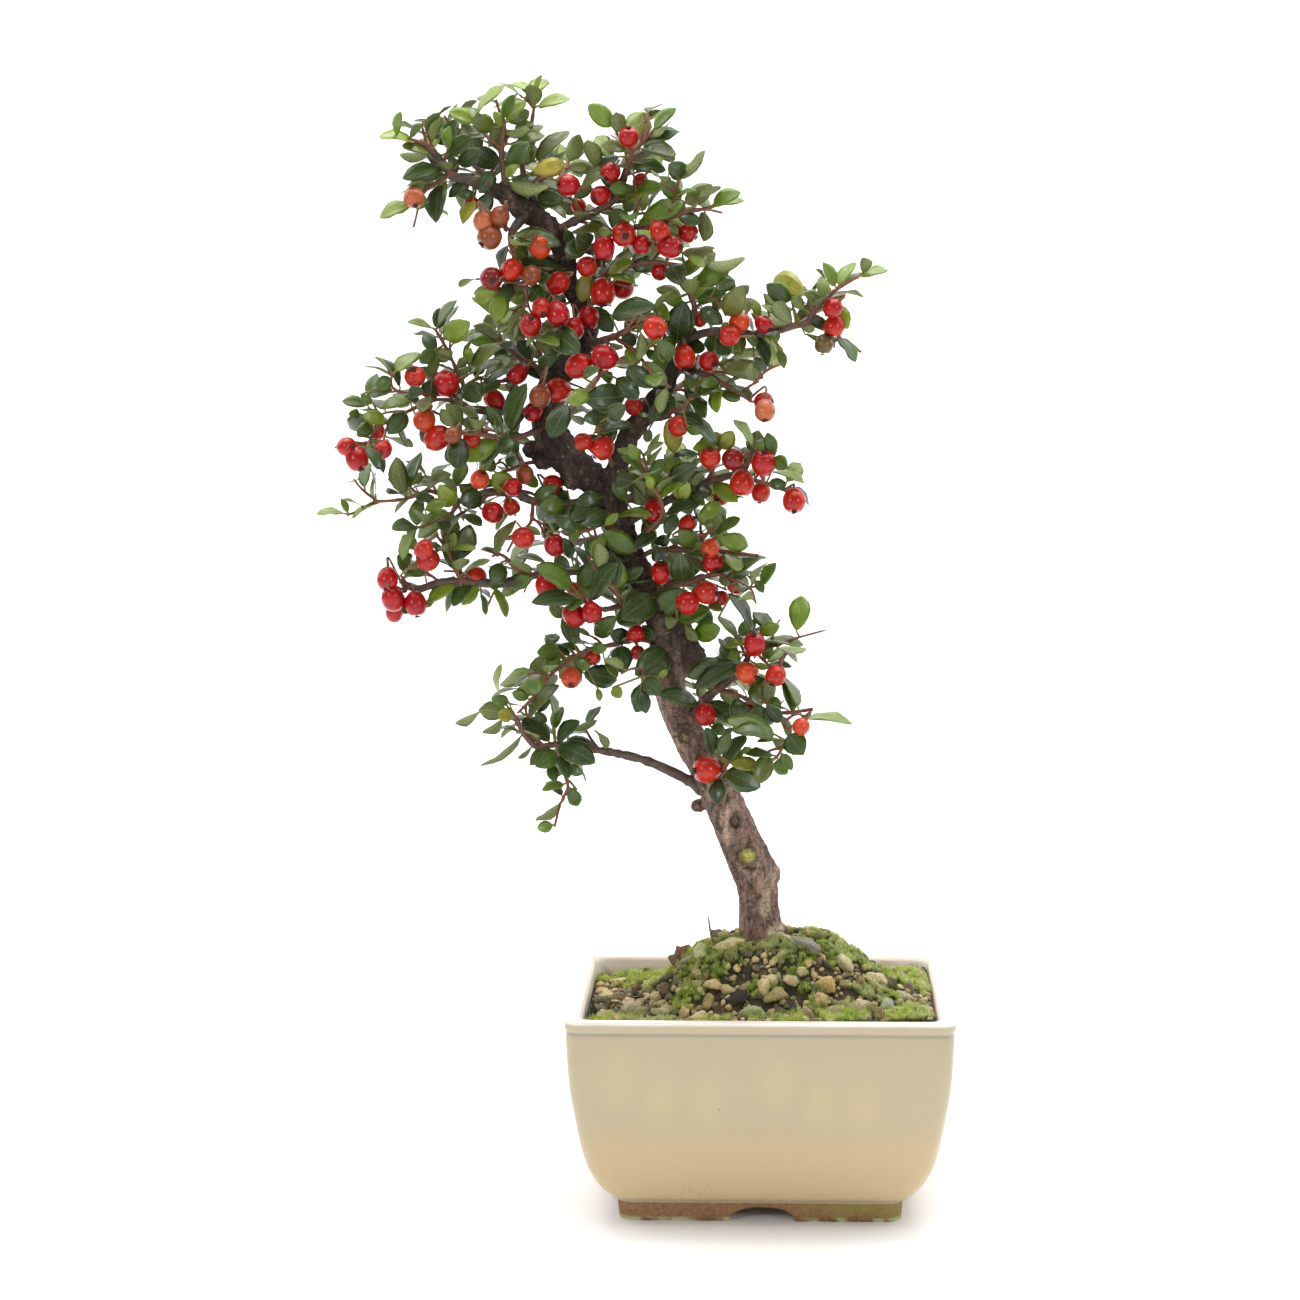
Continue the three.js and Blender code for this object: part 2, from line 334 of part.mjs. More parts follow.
// Berries that hang together, by the shoot that bears them: x z radius, and a leaf that half hides one is
// marked by a minus before its radius
const BUNCHES = {
  berries_tip: ['low_left', '-148 250.5 4.3, -146 242.5 4.7, -145.5 237 -3.5, -137 240.5 4.4'],
  berries_whip: ['left_mid', '-159.5 298.5 4.6, -163.5 303 3.8'],
  berries_left: ['left_mid', '-132.5 313.5 4.5, -127.5 306.5 4.9, -121 302.5 -3'],
  berries_centre: ['left_upper', '-90.2 350.7 4.4, -86 357.5 3.8, -79.5 355 4.6'],
  berries_upper_left: ['left_upper', '-105.5 369 4.6, -97.5 372.5 4.2, -90 370 4'],
  berries_stub: ['left_stub', '-108.5 391 4, -102 393 4, -106 385 4.9'],
  berries_crown: ['crown_right_low', '-53.5 386 4.9, -61.3 380.8 4.3, -46.5 382 3.9'],
  berries_crown_right: ['crown_right_low', '-39.5 387 3.9, -35.5 381 4.4, -28.5 386.5 -4'],
  berries_mid: ['crown_mid_right', '-61.8 363.5 5, -54 365 -4.5, -68 373.5 4.1'],
  berries_fork: ['limb_fork', '-30 338 4.4, -20.5 336.5 4'],
  berries_inner: ['right_red', '-21.5 245 4.6, -29 241 4.7, -15.5 243 -3'],
};
// Berries that hang alone, borne by the nearest shoot
const BERRIES = `
-135.5 400.5 4.2, -113 398 -3, -75 405 4.4, -58.5 410 3.9, -51.5 423.5 4, -62.5 401 3.9, -71 397 -3,
-47 406.5 -3, -39.5 371.5 -3.4, -79.5 367 4.6, -41.5 349.5 4.6, -50 353 -3, -71.5 334.7 -4.9, -61.5 338 4.9,
-95.7 331.5 4, -104.8 321.5 -4, -123.8 328 5.3, -136 330.5 4.2, -114 306 -3.5,
-111 290 3.8, -98 287 3.8, -98.5 279 -3.5, -106 277 4.3, -82 288 -4, -94 267 4.3, -81.5 264 -4.4,
-132 258 4.5, -113 251.5 -4.2, -85 247.5 4.5, -75 247 -2.5, -67 237 4, -74 236 -4.5, -39.5 253 4.2,
-10 247.5 -3, -42 277.5 4.2, -29 272.5 -3.5, -19 257.5 4.3, -49 221 -3, -67 219 -3.5, -75.5 211 4.1,
-2.5 224.5 4.4, -5.5 213 4.4, 6 212 4.2, -22 196.3 4.4, -4.5 197 -3.5, 16 191.5 3.5, -21.5 174 5.3,
13 281.7 4.6, -20 298.5 4.3, -7.5 288.5 4.9, 1 296.5 4.9, -11 298 4.4, 0 285 -3.8, -149 302 3.6,
-151 309 -2.8, -15.5 283 -3.3, 1 320.5 3.9, -32.5 311 4.3, -50 319 -3.8,
-8.5 351.5 4.2, 1 351 3.4, -24 352.5 -2.8, 28 357 3.8, 28.5 350 4.2, 24.5 343 3.7, -62.5 302.5 4.9,
-70 305 -3.5`;

// Small helpers

const vec = (x, y, z) => new THREE.Vector3(x, y, z);

// Seeded draws: the same numbers on every run
function draws(seed) {
  let state = seed * 7919 + 12345;
  return () => {
    state = (state * 16807) % 2147483647;
    return state / 2147483647;
  };
}

// The point at a depth that is seen, from the front, at x z in the plane of the trunk
function seen(x, z, depth) {
  const reach = (depth - EYE.y) / -EYE.y;
  return vec(EYE.x + (x - EYE.x) * reach, depth, EYE.z + (z - EYE.z) * reach);
}

// Where a point is seen in the plane of the trunk
function flat(point) {
  const reach = -EYE.y / (point.y - EYE.y);
  return [EYE.x + (point.x - EYE.x) * reach, EYE.z + (point.z - EYE.z) * reach];
}

function volumeOf(corners, faces) {
  let six = 0;
  for (const [a, b, c] of faces) six += corners[a].dot(vec(0, 0, 0).crossVectors(corners[b], corners[c]));
  return six / 6;
}

// A closed geometry of corners and triangles, with its faces turned outwards
function geometryOf(corners, faces) {
  const outward = volumeOf(corners, faces) > 0;
  const geometry = new THREE.BufferGeometry();
  const numbers = corners.flatMap((corner) => corner.toArray());
  geometry.setAttribute('position', new THREE.Float32BufferAttribute(numbers, 3));
  geometry.setIndex(faces.flatMap(([a, b, c]) => (outward ? [a, b, c] : [a, c, b])));
  return geometry;
}

function solidOf(geometry) {
  const bare = geometry.clone();
  bare.deleteAttribute('normal');
  bare.deleteAttribute('uv');
  const merged = mergeVertices(bare, 1e-4);
  const mesh = new wasm.Mesh({
    numProp: 3,
    vertProperties: new Float32Array(merged.attributes.position.array),
    triVerts: new Uint32Array(merged.index.array),
  });
  return new wasm.Manifold(mesh);
}

function geometryFrom(solid) {
  const mesh = solid.getMesh();
  const geometry = new THREE.BufferGeometry();
  geometry.setAttribute('position', new THREE.BufferAttribute(mesh.vertProperties, mesh.numProp));
  geometry.setIndex(new THREE.BufferAttribute(mesh.triVerts, 1));
  return geometry;
}

// A skin through rings of equally many points, closed at each end by a point: the middle of the end ring
// where none is given
function loft(rings, startPoint, endPoint) {
  const count = rings[0].length;
  const corners = rings.flat();
  const faces = [];
  for (let r = 0; r + 1 < rings.length; r += 1) {
    for (let i = 0; i < count; i += 1) {
      const a = r * count + i;
      const b = r * count + ((i + 1) % count);
      faces.push([a, b, b + count], [a, b + count, a + count]);
    }
  }
  const middleOf = (ring) => ring.reduce((sum, point) => sum.add(point), vec(0, 0, 0)).divideScalar(count);
  const first = corners.push(startPoint || middleOf(rings[0])) - 1;
  const last = corners.push(endPoint || middleOf(rings[rings.length - 1])) - 1;
  const far = (rings.length - 1) * count;
  for (let i = 0; i < count; i += 1) {
    const j = (i + 1) % count;
    faces.push([j, i, first], [far + i, far + j, last]);
  }
  return geometryOf(corners, faces);
}

// A tapering round stem through points, each with its radius; grown makes it that much fatter all over
function stem(points, radii, sides, grown = 0) {
  const rings = [];
  let across = vec(0.31, 0.2, 0.93);
  for (let i = 0; i < points.length; i += 1) {
    const before = points[Math.max(i - 1, 0)];
    const after = points[Math.min(i + 1, points.length - 1)];
    const along = after.clone().sub(before).normalize();
    across.addScaledVector(along, -across.dot(along)).normalize();
    const third = along.clone().cross(across);
    const centre = points[i].clone();
    if (i === 0) centre.addScaledVector(along, -grown);
    if (i === points.length - 1) centre.addScaledVector(along, grown);
    const ring = [];
    for (let k = 0; k < sides; k += 1) {
      const angle = (2 * Math.PI * k) / sides;
      ring.push(centre.clone()
        .addScaledVector(across, (radii[i] + grown) * Math.cos(angle))
        .addScaledVector(third, (radii[i] + grown) * Math.sin(angle)));
    }
    rings.push(ring);
    across = across.clone();
  }
  return solidOf(loft(rings));
}

const join = (solids) => solids.reduce((whole, next) => whole.add(next));

function boundsOf(solid) {
  const box = new THREE.Box3();
  const mesh = solid.getMesh();
  for (let i = 0; i < mesh.vertProperties.length; i += mesh.numProp) {
    const [x, y, z] = mesh.vertProperties.subarray(i, i + 3);
    box.expandByPoint(vec(x, y, z));
  }
  return box;
}

// Pot

// A rounded rectangle at a height, its corners in three steps and its sides in as many as sideSteps
function potRing(inset, z, radius, sideSteps = 1) {
  const halfX = POT_WIDTH / 2 - inset;
  const halfY = POT_DEPTH / 2 - inset;
  const ring = [];
  for (let corner = 0; corner < 4; corner += 1) {
    const signX = corner === 0 || corner === 3 ? 1 : -1;
    const signY = corner < 2 ? 1 : -1;
    for (let step = 0; step <= 2; step += 1) {
      const angle = (corner + step / 2) * (Math.PI / 2);
      ring.push(vec(
        signX * (halfX - radius) + radius * Math.cos(angle),
        signY * (halfY - radius) + radius * Math.sin(angle),
        z,
      ));
    }
  }
  return ring.flatMap((point, i) => {
    if (i % 3 !== 2) return [point];
    const next = ring[(i + 1) % ring.length];
    return Array.from({ length: sideSteps }, (_, step) => point.clone().lerp(next, step / sideSteps));
  });
}

function block(x0, x1, y0, y1, z0, z1) {
  const box = new THREE.BoxGeometry(x1 - x0, y1 - y0, z1 - z0);
  return solidOf(box.translate((x0 + x1) / 2, (y0 + y1) / 2, (z0 + z1) / 2));
}

// The notches in the middle of each side of the foot, wider at the bottom, through the foot's wall alone
function footNotches() {
  const profile = new THREE.Shape();
  profile.moveTo(-ARCH_WIDTH / 2, -1);
  profile.lineTo(ARCH_WIDTH / 2, -1);
  profile.lineTo(ARCH_WIDTH / 2, 0);
  profile.lineTo(ARCH_TOP_WIDTH / 2, ARCH_HEIGHT);
  profile.lineTo(-ARCH_TOP_WIDTH / 2, ARCH_HEIGHT);
  profile.lineTo(-ARCH_WIDTH / 2, 0);
  const depth = FOOT_RIM + 4;
  const notches = [];
  for (let side = 0; side < 4; side += 1) {
    const reach = (side % 2 ? POT_WIDTH : POT_DEPTH) / 2 - WALL_PROFILE[0][0] - FOOT_RIM;
    const notch = new THREE.ExtrudeGeometry(profile, { depth, bevelEnabled: false });
    notch.rotateX(Math.PI / 2).translate(0, -reach, 0).rotateZ((side * Math.PI) / 2);
    notches.push(solidOf(notch));
  }
  return join(notches);
}

function pot() {
  const [footInset] = WALL_PROFILE[0];
  const outside = [potRing(footInset + 1, 0, 8), potRing(footInset, FOOT_HEIGHT, 8)];
  for (const [inset, z] of WALL_PROFILE.slice(1)) outside.push(potRing(inset, z, inset > 5 ? 8 : 5));
  outside.push(potRing(0, POT_HEIGHT - 0.6, 3), potRing(0.6, POT_HEIGHT, 3));
  const inside = [
    potRing(footInset + 4, FLOOR_TOP, 7), potRing(WALL + 7, 24, 8), potRing(WALL + 2.5, 45, 7),
    potRing(WALL, POT_HEIGHT - 10, 6), potRing(WALL, POT_HEIGHT + 2, 6),
  ];
  const recess = [potRing(footInset + FOOT_RIM, -1, 5), potRing(footInset + FOOT_RIM, RECESS, 5)];
  let body = solidOf(loft(outside)).subtract(solidOf(loft(inside))).subtract(solidOf(loft(recess)));
  body = body.subtract(footNotches());
  for (const side of [-1, 1]) {
    const hole = new THREE.CylinderGeometry(DRAIN_RADIUS, DRAIN_RADIUS, 3 * FLOOR_TOP, 8);
    hole.rotateX(Math.PI / 2).translate(side * DRAIN_X, 0, FLOOR_TOP / 2);
    body = body.subtract(solidOf(hole));
  }
  return body;
}

// The net over a drain hole, which keeps the soil in
function drainMesh(side) {
  const half = MESH_SIZE / 2;
  const centre = side * DRAIN_X;
  const low = FLOOR_TOP + GAP;
  let sheet = block(centre - half, centre + half, -half, half, low, low + MESH_THICK);
  for (const u of [-4, 4]) {
    for (const v of [-4, 4]) {
      sheet = sheet.subtract(block(centre + u - 3, centre + u + 3, v - 3, v + 3, low - 1, low + 3));
    }
  }
  return sheet;
}

// Wood

const woodPoints = (rows) => rows.map(([x, z, , depth]) => seen(x, z, depth));

function trunkSolid(grown = 0) {
  const wood = [
    stem(woodPoints(TRUNK), TRUNK.map((row) => row[2]), 8, grown),
    stem(woodPoints(RIGHT_LIMB), RIGHT_LIMB.map((row) => row[2]), 6, grown),
  ];
  for (const [x, z, depth, radius] of KNOBS) {
    const knob = new THREE.IcosahedronGeometry(radius + grown, 0);
    knob.translate(...seen(x, z, depth).toArray());
    wood.push(solidOf(knob));
  }
  return join(wood);
}

// How far a point stands off from the wood's surface
function offWood(point) {
  const limbs = [TRUNK, RIGHT_LIMB].flatMap((rows) => rows.slice(1).map((row, i) => [rows[i], row]));
  return Math.min(...limbs.map(([from, to]) => {
    const line = new THREE.Line3(seen(from[0], from[1], from[3]), seen(to[0], to[1], to[3]));
    const t = line.closestPointToPointParameter(point, true);
    return line.at(t, vec(0, 0, 0)).distanceTo(point) - from[2] - t * (to[2] - from[2]);
  }));
}

// A twig as points in space, each with its radius and how it is seen from the front. A side twig starts
// at the nearest place on its parent. Leaves and berries root in the places that are clear of the wood.
function twigOf(row, parent) {
  const numbers = parent ? [0, ...row] : row;
  const [, endDepth] = numbers;
  const marks = [];
  for (let i = 2; i < numbers.length; i += 3) {
    marks.push({ x: numbers[i], z: numbers[i + 1], radius: numbers[i + 2] });
  }
  let [startDepth] = numbers;
  if (parent) {
    const { x, z, depth } = nearestOn([parent], marks[0].x, marks[0].z);
    startDepth = depth;
    Object.assign(marks[0], { x, z });
  }
  const lengths = [0];
  for (let i = 1; i < marks.length; i += 1) {
    lengths.push(lengths[i - 1] + Math.hypot(marks[i].x - marks[i - 1].x, marks[i].z - marks[i - 1].z));
  }
  const total = lengths[lengths.length - 1];
  marks.forEach((mark, i) => {
    mark.depth = startDepth + ((endDepth - startDepth) * lengths[i]) / total;
    mark.point = seen(mark.x, mark.z, mark.depth);
  });
  const places = [];
  for (let i = 0; i + 1 < marks.length; i += 1) {
    const [from, to] = [marks[i], marks[i + 1]];
    const steps = Math.max(1, Math.round(from.point.distanceTo(to.point)));
    for (let k = 0; k < steps; k += 1) {
      const t = k / steps;
      const blend = (key) => from[key] + t * (to[key] - from[key]);
      const place = { x: blend('x'), z: blend('z'), radius: blend('radius') };
      place.point = from.point.clone().lerp(to.point, t);
      place.depth = place.point.y;
      if (offWood(place.point) > ROOT_CLEAR) places.push(place);
    }
  }
  return { marks, places };
}

// The place on a shoot's twigs that is seen nearest to x z
function nearestOn(twigs, x, z) {
  let best = { distance: Infinity };
  for (const { places } of twigs) {
    for (const place of places) {
      const distance = Math.hypot(place.x - x, place.z - z);
      if (distance < best.distance) best = { ...place, distance };
    }
  }
  return best;
}

// Leaves

function leafFrame(base, tip, normal) {
  const along = tip.clone().sub(base);
  const length = along.length();
  along.normalize();
  const up = normal.clone().addScaledVector(along, -normal.dot(along)).normalize();
  const spine = (s) => base.clone()
    .addScaledVector(along, s * length)
    .addScaledVector(up, LEAF_ARCH * length * 4 * s * (1 - s));
  return { length, up, side: along.clone().cross(up), spine };
}

// A leaf of one thin arched blade, widest beyond its middle, which runs out to a point at its base and its
// tip. A leaf that stands off from its twig has a narrow stalk, as long as the way from root to base.
function leafSolid({ root, base, tip, normal, width }, grown = 0) {
  const { length, up, side, spine } = leafFrame(base, tip, normal);
  const thick = LEAF_THICKNESS / 2 + grown;
  const stations = [[0.36, 0.41 * width], [0.72, 0.45 * width]];
  if (root) stations.unshift([0.06, STALK_RADIUS]);
  const section = [[-1, -1], [1, -1], [1, 1], [-1, 1]];
  const rings = stations.map(([s, half]) => section.map(([across, lift]) => spine(s)
    .addScaledVector(side, across * (half + grown))
    .addScaledVector(up, lift * thick)));
  const start = root ? root.point.clone() : base.clone();
  start.addScaledVector(spine(0.06).sub(start).normalize(), -ROOT_DEPTH - grown);
  return solidOf(loft(rings, start, spine(1 + grown / length)));
}

// The upper side of a leaf that is seen as wide as seenWidth: turned about its rib from face on, with the
// upper side up, or away from the eye where the underside shows
function facing(base, tip, width, seenWidth, underside) {
  const along = tip.clone().sub(base).normalize();
  const towards = EYE.clone().sub(base);
  towards.addScaledVector(along, -towards.dot(along)).normalize();
  const side = along.clone().cross(towards);
  const turn = Math.acos(Math.min(seenWidth / width, 1));
  const sign = side.z > 0 ? 1 : -1;
  const normal = towards.multiplyScalar(Math.cos(turn)).addScaledVector(side, sign * Math.sin(turn));
  if (underside) normal.negate();
  return normal;
}

// The ways a listed leaf may lie, first choice first
function listedLeaf(row, index, shoot) {
  const draw = draws(index + 1);
  const drift = (draw() - 0.5) * 5;
  const lean = draw();
  const away = draw() < (shoot.back ? 0.8 : 0.3) ? 1 : -1;
  const seenLength = Math.hypot(row.x1 - row.x0, row.z1 - row.z0);
  const length = Math.max(seenLength, row.width / 0.62) * (1.02 + 0.1 * lean);
  const slope = away * Math.sqrt(length ** 2 - seenLength ** 2);
  const width = Math.max(row.width, Math.min(LEAF_SLENDERNESS * length, WIDEST_LEAF));
  const root = nearestOn(shoot.twigs, row.x0, row.z0);
  const near = root.distance < root.radius + NEAR_TWIG;
  const baseDepth = root.depth + (near ? 0 : drift);
  return LEAF_BENDS.map((bend) => {
    const base = near ? root.point.clone() : seen(row.x0, row.z0, baseDepth);
    const tip = seen(row.x1, row.z1, baseDepth + slope + bend);
    const normal = facing(base, tip, width, row.width, row.underside);
    return { root: near ? null : root, base, tip, width, normal };
  });
}

// The leaves of a shoot at the back: along each twig, turning by the golden angle
function backLeaves(shoot, order) {
  const found = [];
  const draw = draws(1000 + order);
  let angle = draw() * 6;
  for (const { marks } of shoot.twigs) {
    for (let i = 0; i + 1 < marks.length; i += 1) {
      const a = marks[i].point;
      const b = marks[i + 1].point;
      const steps = Math.max(1, Math.round(a.distanceTo(b) / BACK_SPACING));
      const along = b.clone().sub(a).normalize();
      const level = along.clone().cross(vec(0, 0, 1)).normalize();
      const third = level.clone().cross(along);
      for (let k = 0; k < steps; k += 1) {
        angle += GOLDEN_ANGLE;
        const out = level.clone().multiplyScalar(Math.cos(angle)).addScaledVector(third, Math.sin(angle));
        const base = a.clone().lerp(b, (k + 0.5) / steps);
        const length = BACK_SHORTEST + (BACK_LONGEST - BACK_SHORTEST) * draw();
        const reach = out.multiplyScalar(0.8).addScaledVector(along, 0.5).add(vec(0, 0, 0.15)).normalize();
        const tip = base.clone().addScaledVector(reach, length);
        const normal = vec(draw() - 0.5, draw() - 0.5, 0.9).normalize();
        if (offWood(base) > ROOT_CLEAR && isCovered(base.clone().lerp(tip, 0.5)) && isCovered(tip)) {
          found.push({ base, tip, normal, width: LEAF_SLENDERNESS * length });
        }
      }
    }
  }
  return found;
}

// The whole tree

function parseLeaves(text) {
  return text.trim().split(',').map((entry) => {
    const words = entry.trim().split(/\s+/);
    const [x0, z0, x1, z1, width] = words.map(parseFloat);
    return { x0, z0, x1, z1, width, underside: words[4].includes('S'), outermost: words[4].endsWith('*') };
  });
}

function parseBerries(text) {
  return text.trim().split(',').map((entry) => {
    const [x, z, radius] = entry.trim().split(/\s+/).map(Number);
    return { x, z, radius: Math.abs(radius), hidden: radius < 0 };
  });
}

const shoots = Object.entries(SHOOTS).map(([name, rows]) => {
  const main = twigOf(rows[0]);
  const twigs = [main, ...rows.slice(1).map((row) => twigOf(row, main))];
  const stems = (grown) => twigs.map(({ marks }) => {
    const sides = marks[0].radius > 1.8 ? 4 : 3;
    return stem(marks.map((mark) => mark.point), marks.map((mark) => mark.radius), sides, grown);
  });
  return { name, twigs, parts: stems(0), grown: stems(GAP), back: name.startsWith('back_') };
});
const front = shoots.filter((shoot) => !shoot.back);
const bySight = (x, z) => {
  let best = null;
  for (const shoot of front) {
    const { distance } = nearestOn(shoot.twigs, x, z);
    if (!best || distance < best.distance) best = { shoot, distance };
  }
  return best.shoot;
};

const trunk = trunkSolid();
const trunkGrown = trunkSolid(GAP);
const taken = [{ node: 'trunk', solid: trunkGrown, box: boundsOf(trunkGrown) }];
const take = (node, solid) => taken.push({ node, solid, box: boundsOf(solid) });

// Whether a solid keeps clear of every piece but its own node's, and but the twig that bears it
function isClear(node, solid, bearer) {
  const box = boundsOf(solid);
  return !taken.some((other) => other.node !== node && !(other.twig && other.node === bearer)
    && other.box.intersectsBox(box) && !other.solid.intersect(solid).isEmpty());
}

for (const shoot of shoots) {
  for (const solid of shoot.parts) taken.push({ node: shoot.name, twig: true, solid, box: boundsOf(solid) });
}

// A berry on its stalk, from a point in the twig to the calyx at the far end
function berrySolid(root, centre, radius, grown = 0) {
  const along = centre.clone().sub(root).normalize();
  const across = along.clone().cross(vec(0.3, 0.2, 0.9)).normalize();
  const third = along.clone().cross(across);
  const full = radius + grown;
  const stations = [[-1, STALK_RADIUS + grown], [-0.5, 0.95 * full], [0.5, 0.95 * full]];
  const rings = stations.map(([shift, size]) => {
    const ring = [];
    for (let i = 0; i < BERRY_SIDES; i += 1) {
      const angle = (2 * Math.PI * i) / BERRY_SIDES;
      ring.push(centre.clone()
        .addScaledVector(along, shift * full)
        .addScaledVector(across, size * Math.cos(angle))
        .addScaledVector(third, size * Math.sin(angle)));
    }
    return ring;
  });
  const start = root.clone().addScaledVector(along, -ROOT_DEPTH);
  return solidOf(loft(rings, start, centre.clone().addScaledVector(along, full)));
}

const visibleBerries = [];

// Hangs a berry where it is clear of the other pieces
function hang(berry, node, parts, shoot, root) {
  const before = berry.hidden ? BERRY_BEHIND : -BERRY_BEFORE;
  for (const bend of BERRY_BENDS) {
    const centre = seen(berry.x, berry.z, root.depth + before + bend);
    const grown = berrySolid(root.point, centre, berry.radius, CLEARANCE);
    if (isClear(node, grown, shoot.name)) {
      parts.push(berrySolid(root.point, centre, berry.radius));
      take(node, grown);
      if (!berry.hidden) visibleBerries.push({ ...berry, depth: centre.y });
      return;
    }
  }
}

const bunches = Object.entries(BUNCHES).map(([name, [shootName, text]]) => {
  const shoot = shoots.find((each) => each.name === shootName);
  const berries = parseBerries(text);
  const middle = (key) => berries.reduce((sum, berry) => sum + berry[key], 0) / berries.length;
  const place = nearestOn(shoot.twigs, middle('x'), middle('z'));
  const out = seen(middle('x'), middle('z'), place.depth - 4).sub(place.point).normalize();
  const point = place.point.clone().addScaledVector(out, place.radius + GAP + 0.5 * HUB_RADIUS);
  const hub = new THREE.IcosahedronGeometry(HUB_RADIUS, 0).translate(point.x, point.y, point.z);
  const parts = [solidOf(hub)];
  berries.forEach((berry) => hang(berry, name, parts, shoot, { ...place, point }));
  return { name, parts, cuts: shoot.grown };
});
for (const berry of parseBerries(BERRIES).filter((each) => !each.hidden)) {
  const shoot = bySight(berry.x, berry.z);
  hang(berry, shoot.name, shoot.parts, shoot, nearestOn(shoot.twigs, berry.x, berry.z));
}

// True where a leaf would stand before a berry that is seen
function hidesBerry(leaf) {
  return [0.3, 0.5, 0.7, 0.9].some((s) => {
    const point = leaf.base.clone().lerp(leaf.tip, s);
    const [x, z] = flat(point);
    return visibleBerries.some((berry) => point.y < berry.depth
      && Math.hypot(x - berry.x, z - berry.z) < berry.radius + leaf.width * 0.2);
  });
}

// The solids of a leaf: one, or a blade and a stalk of its own where the blade turns back over its twig
function leafParts(leaf, grown = 0) {
  const { root, base, tip } = leaf;
  if (!root) return [leafSolid(leaf, grown)];
  const stalk = base.clone().sub(root.point);
  const blade = tip.clone().sub(base);
  if (stalk.dot(blade) > 0.3 * stalk.length() * blade.length()) return [leafSolid(leaf, grown)];
  const inner = leafFrame(base, tip, leaf.normal).spine(0.2);
  const thin = [STALK_RADIUS, STALK_RADIUS];
  return [leafSolid({ ...leaf, root: null }, grown), stem([root.point, inner], thin, 3)];
}

// Adds the first of these leaves that stands clear and hides no berry
function settle(shoot, leaves) {
  for (const leaf of leaves) {
    const outer = { ...leaf, root: null, base: leaf.base.clone().lerp(leaf.tip, 0.3) };
    if (!hidesBerry(leaf) && !crossesOwn(shoot.name, leafSolid(outer, LEAF_CLEARANCE))
      && leafParts(leaf, CLEARANCE).every((part) => isClear(shoot.name, part))) {
      for (const solid of leafParts(leaf)) {
        shoot.parts.push(solid);
        taken.push({ node: shoot.name, leaf: true, solid, box: boundsOf(solid) });
      }
      return;
    }
  }
}

function crossesOwn(node, solid) {
  const box = boundsOf(solid);
  return taken.some((other) => other.node === node && other.leaf && other.box.intersectsBox(box)
    && !other.solid.intersect(solid).isEmpty());
}

const listed = parseLeaves(LEAVES);

function isCovered(point) {
  const [x, z] = flat(point);
  const far = ({ x0, z0, x1, z1 }) => Math.hypot((x0 + x1) / 2 - x, (z0 + z1) / 2 - z);
  return listed.filter((row) => far(row) < COVER_RADIUS).length >= COVER_COUNT;
}

listed.forEach((row, index) => {
  const length = Math.hypot(row.x1 - row.x0, row.z1 - row.z0);
  const large = length >= SHORTEST_LEAF && row.width > NARROWEST_LEAF;
  if (!large && !row.outermost) return;
  const shoot = bySight(row.x0, row.z0);
  settle(shoot, listedLeaf(row, index, shoot));
});
shoots.filter((shoot) => shoot.back).forEach((shoot, order) => {
  backLeaves(shoot, order).forEach((leaf) => settle(shoot, [leaf]));
});

// Soil: a domed surface with coarse grit, down to the pot's floor
function soil() {
  const inset = WALL + GAP;
  const draw = draws(77);
  const rings = [
    potRing(WALL_PROFILE[0][0] + 4 + GAP, FLOOR_TOP + GAP, 7, SOIL_SIDE_STEPS),
    potRing(WALL + 7 + GAP, 24, 8, SOIL_SIDE_STEPS),
    potRing(WALL + 2.5 + GAP, 45, 7, SOIL_SIDE_STEPS),
    potRing(inset, POT_HEIGHT - 10, 6, SOIL_SIDE_STEPS),
  ];
  for (let ring = 0; ring < SOIL_RINGS; ring += 1) {
    const inwards = ring / SOIL_RINGS;
    const rise = SOIL_DOME * (1 - (1 - inwards) ** 2.2);
    rings.push(potRing(inset, 0, 6, SOIL_SIDE_STEPS).map((point) => {
      const grit = ring === 0 ? 0 : (draw() - 0.5) * SOIL_GRIT;
      const u = point.x / (POT_WIDTH / 2 - inset);
      const v = point.y / (POT_DEPTH / 2 - inset);
      // The rings follow the pot at its wall and are round in the middle
      const share = (1 - inwards) * (1 + (1 / Math.hypot(u, v) - 1) * inwards);
      const tilt = 2 * u * share - 1.5 * v * share;
      return vec(point.x * share, point.y * share, SOIL_EDGE + tilt + rise + grit);
    }));
  }
  let body = solidOf(loft(rings));
  const half = MESH_SIZE / 2 + GAP;
  const netTop = FLOOR_TOP + MESH_THICK + 2 * GAP;
  for (const x of [-DRAIN_X, DRAIN_X]) {
    body = body.subtract(block(x - half, x + half, -half, half, FLOOR_TOP, netTop));
  }
  return body.subtract(trunkGrown);
}

// Assembly

const finish = {
  glaze: new THREE.MeshStandardMaterial({ color: 0xcdc09c, roughness: 0.25, metalness: 0 }),
  net: new THREE.MeshStandardMaterial({ color: 0x2c2f2c, roughness: 0.6, metalness: 0 }),
  soil: new THREE.MeshStandardMaterial({ color: 0x5b4a38, roughness: 0.95, metalness: 0 }),
  bark: new THREE.MeshStandardMaterial({ color: 0x6b5546, roughness: 0.9, metalness: 0 }),
  leaf: new THREE.MeshStandardMaterial({ color: 0x4a6a2c, roughness: 0.45, metalness: 0 }),
  berry: new THREE.MeshStandardMaterial({ color: 0xc8281e, roughness: 0.35, metalness: 0 }),
};

const group = new THREE.Group();
function add(name, solid, material) {
  const mesh = new THREE.Mesh(geometryFrom(solid), material);
  mesh.name = name;
  group.add(mesh);
}

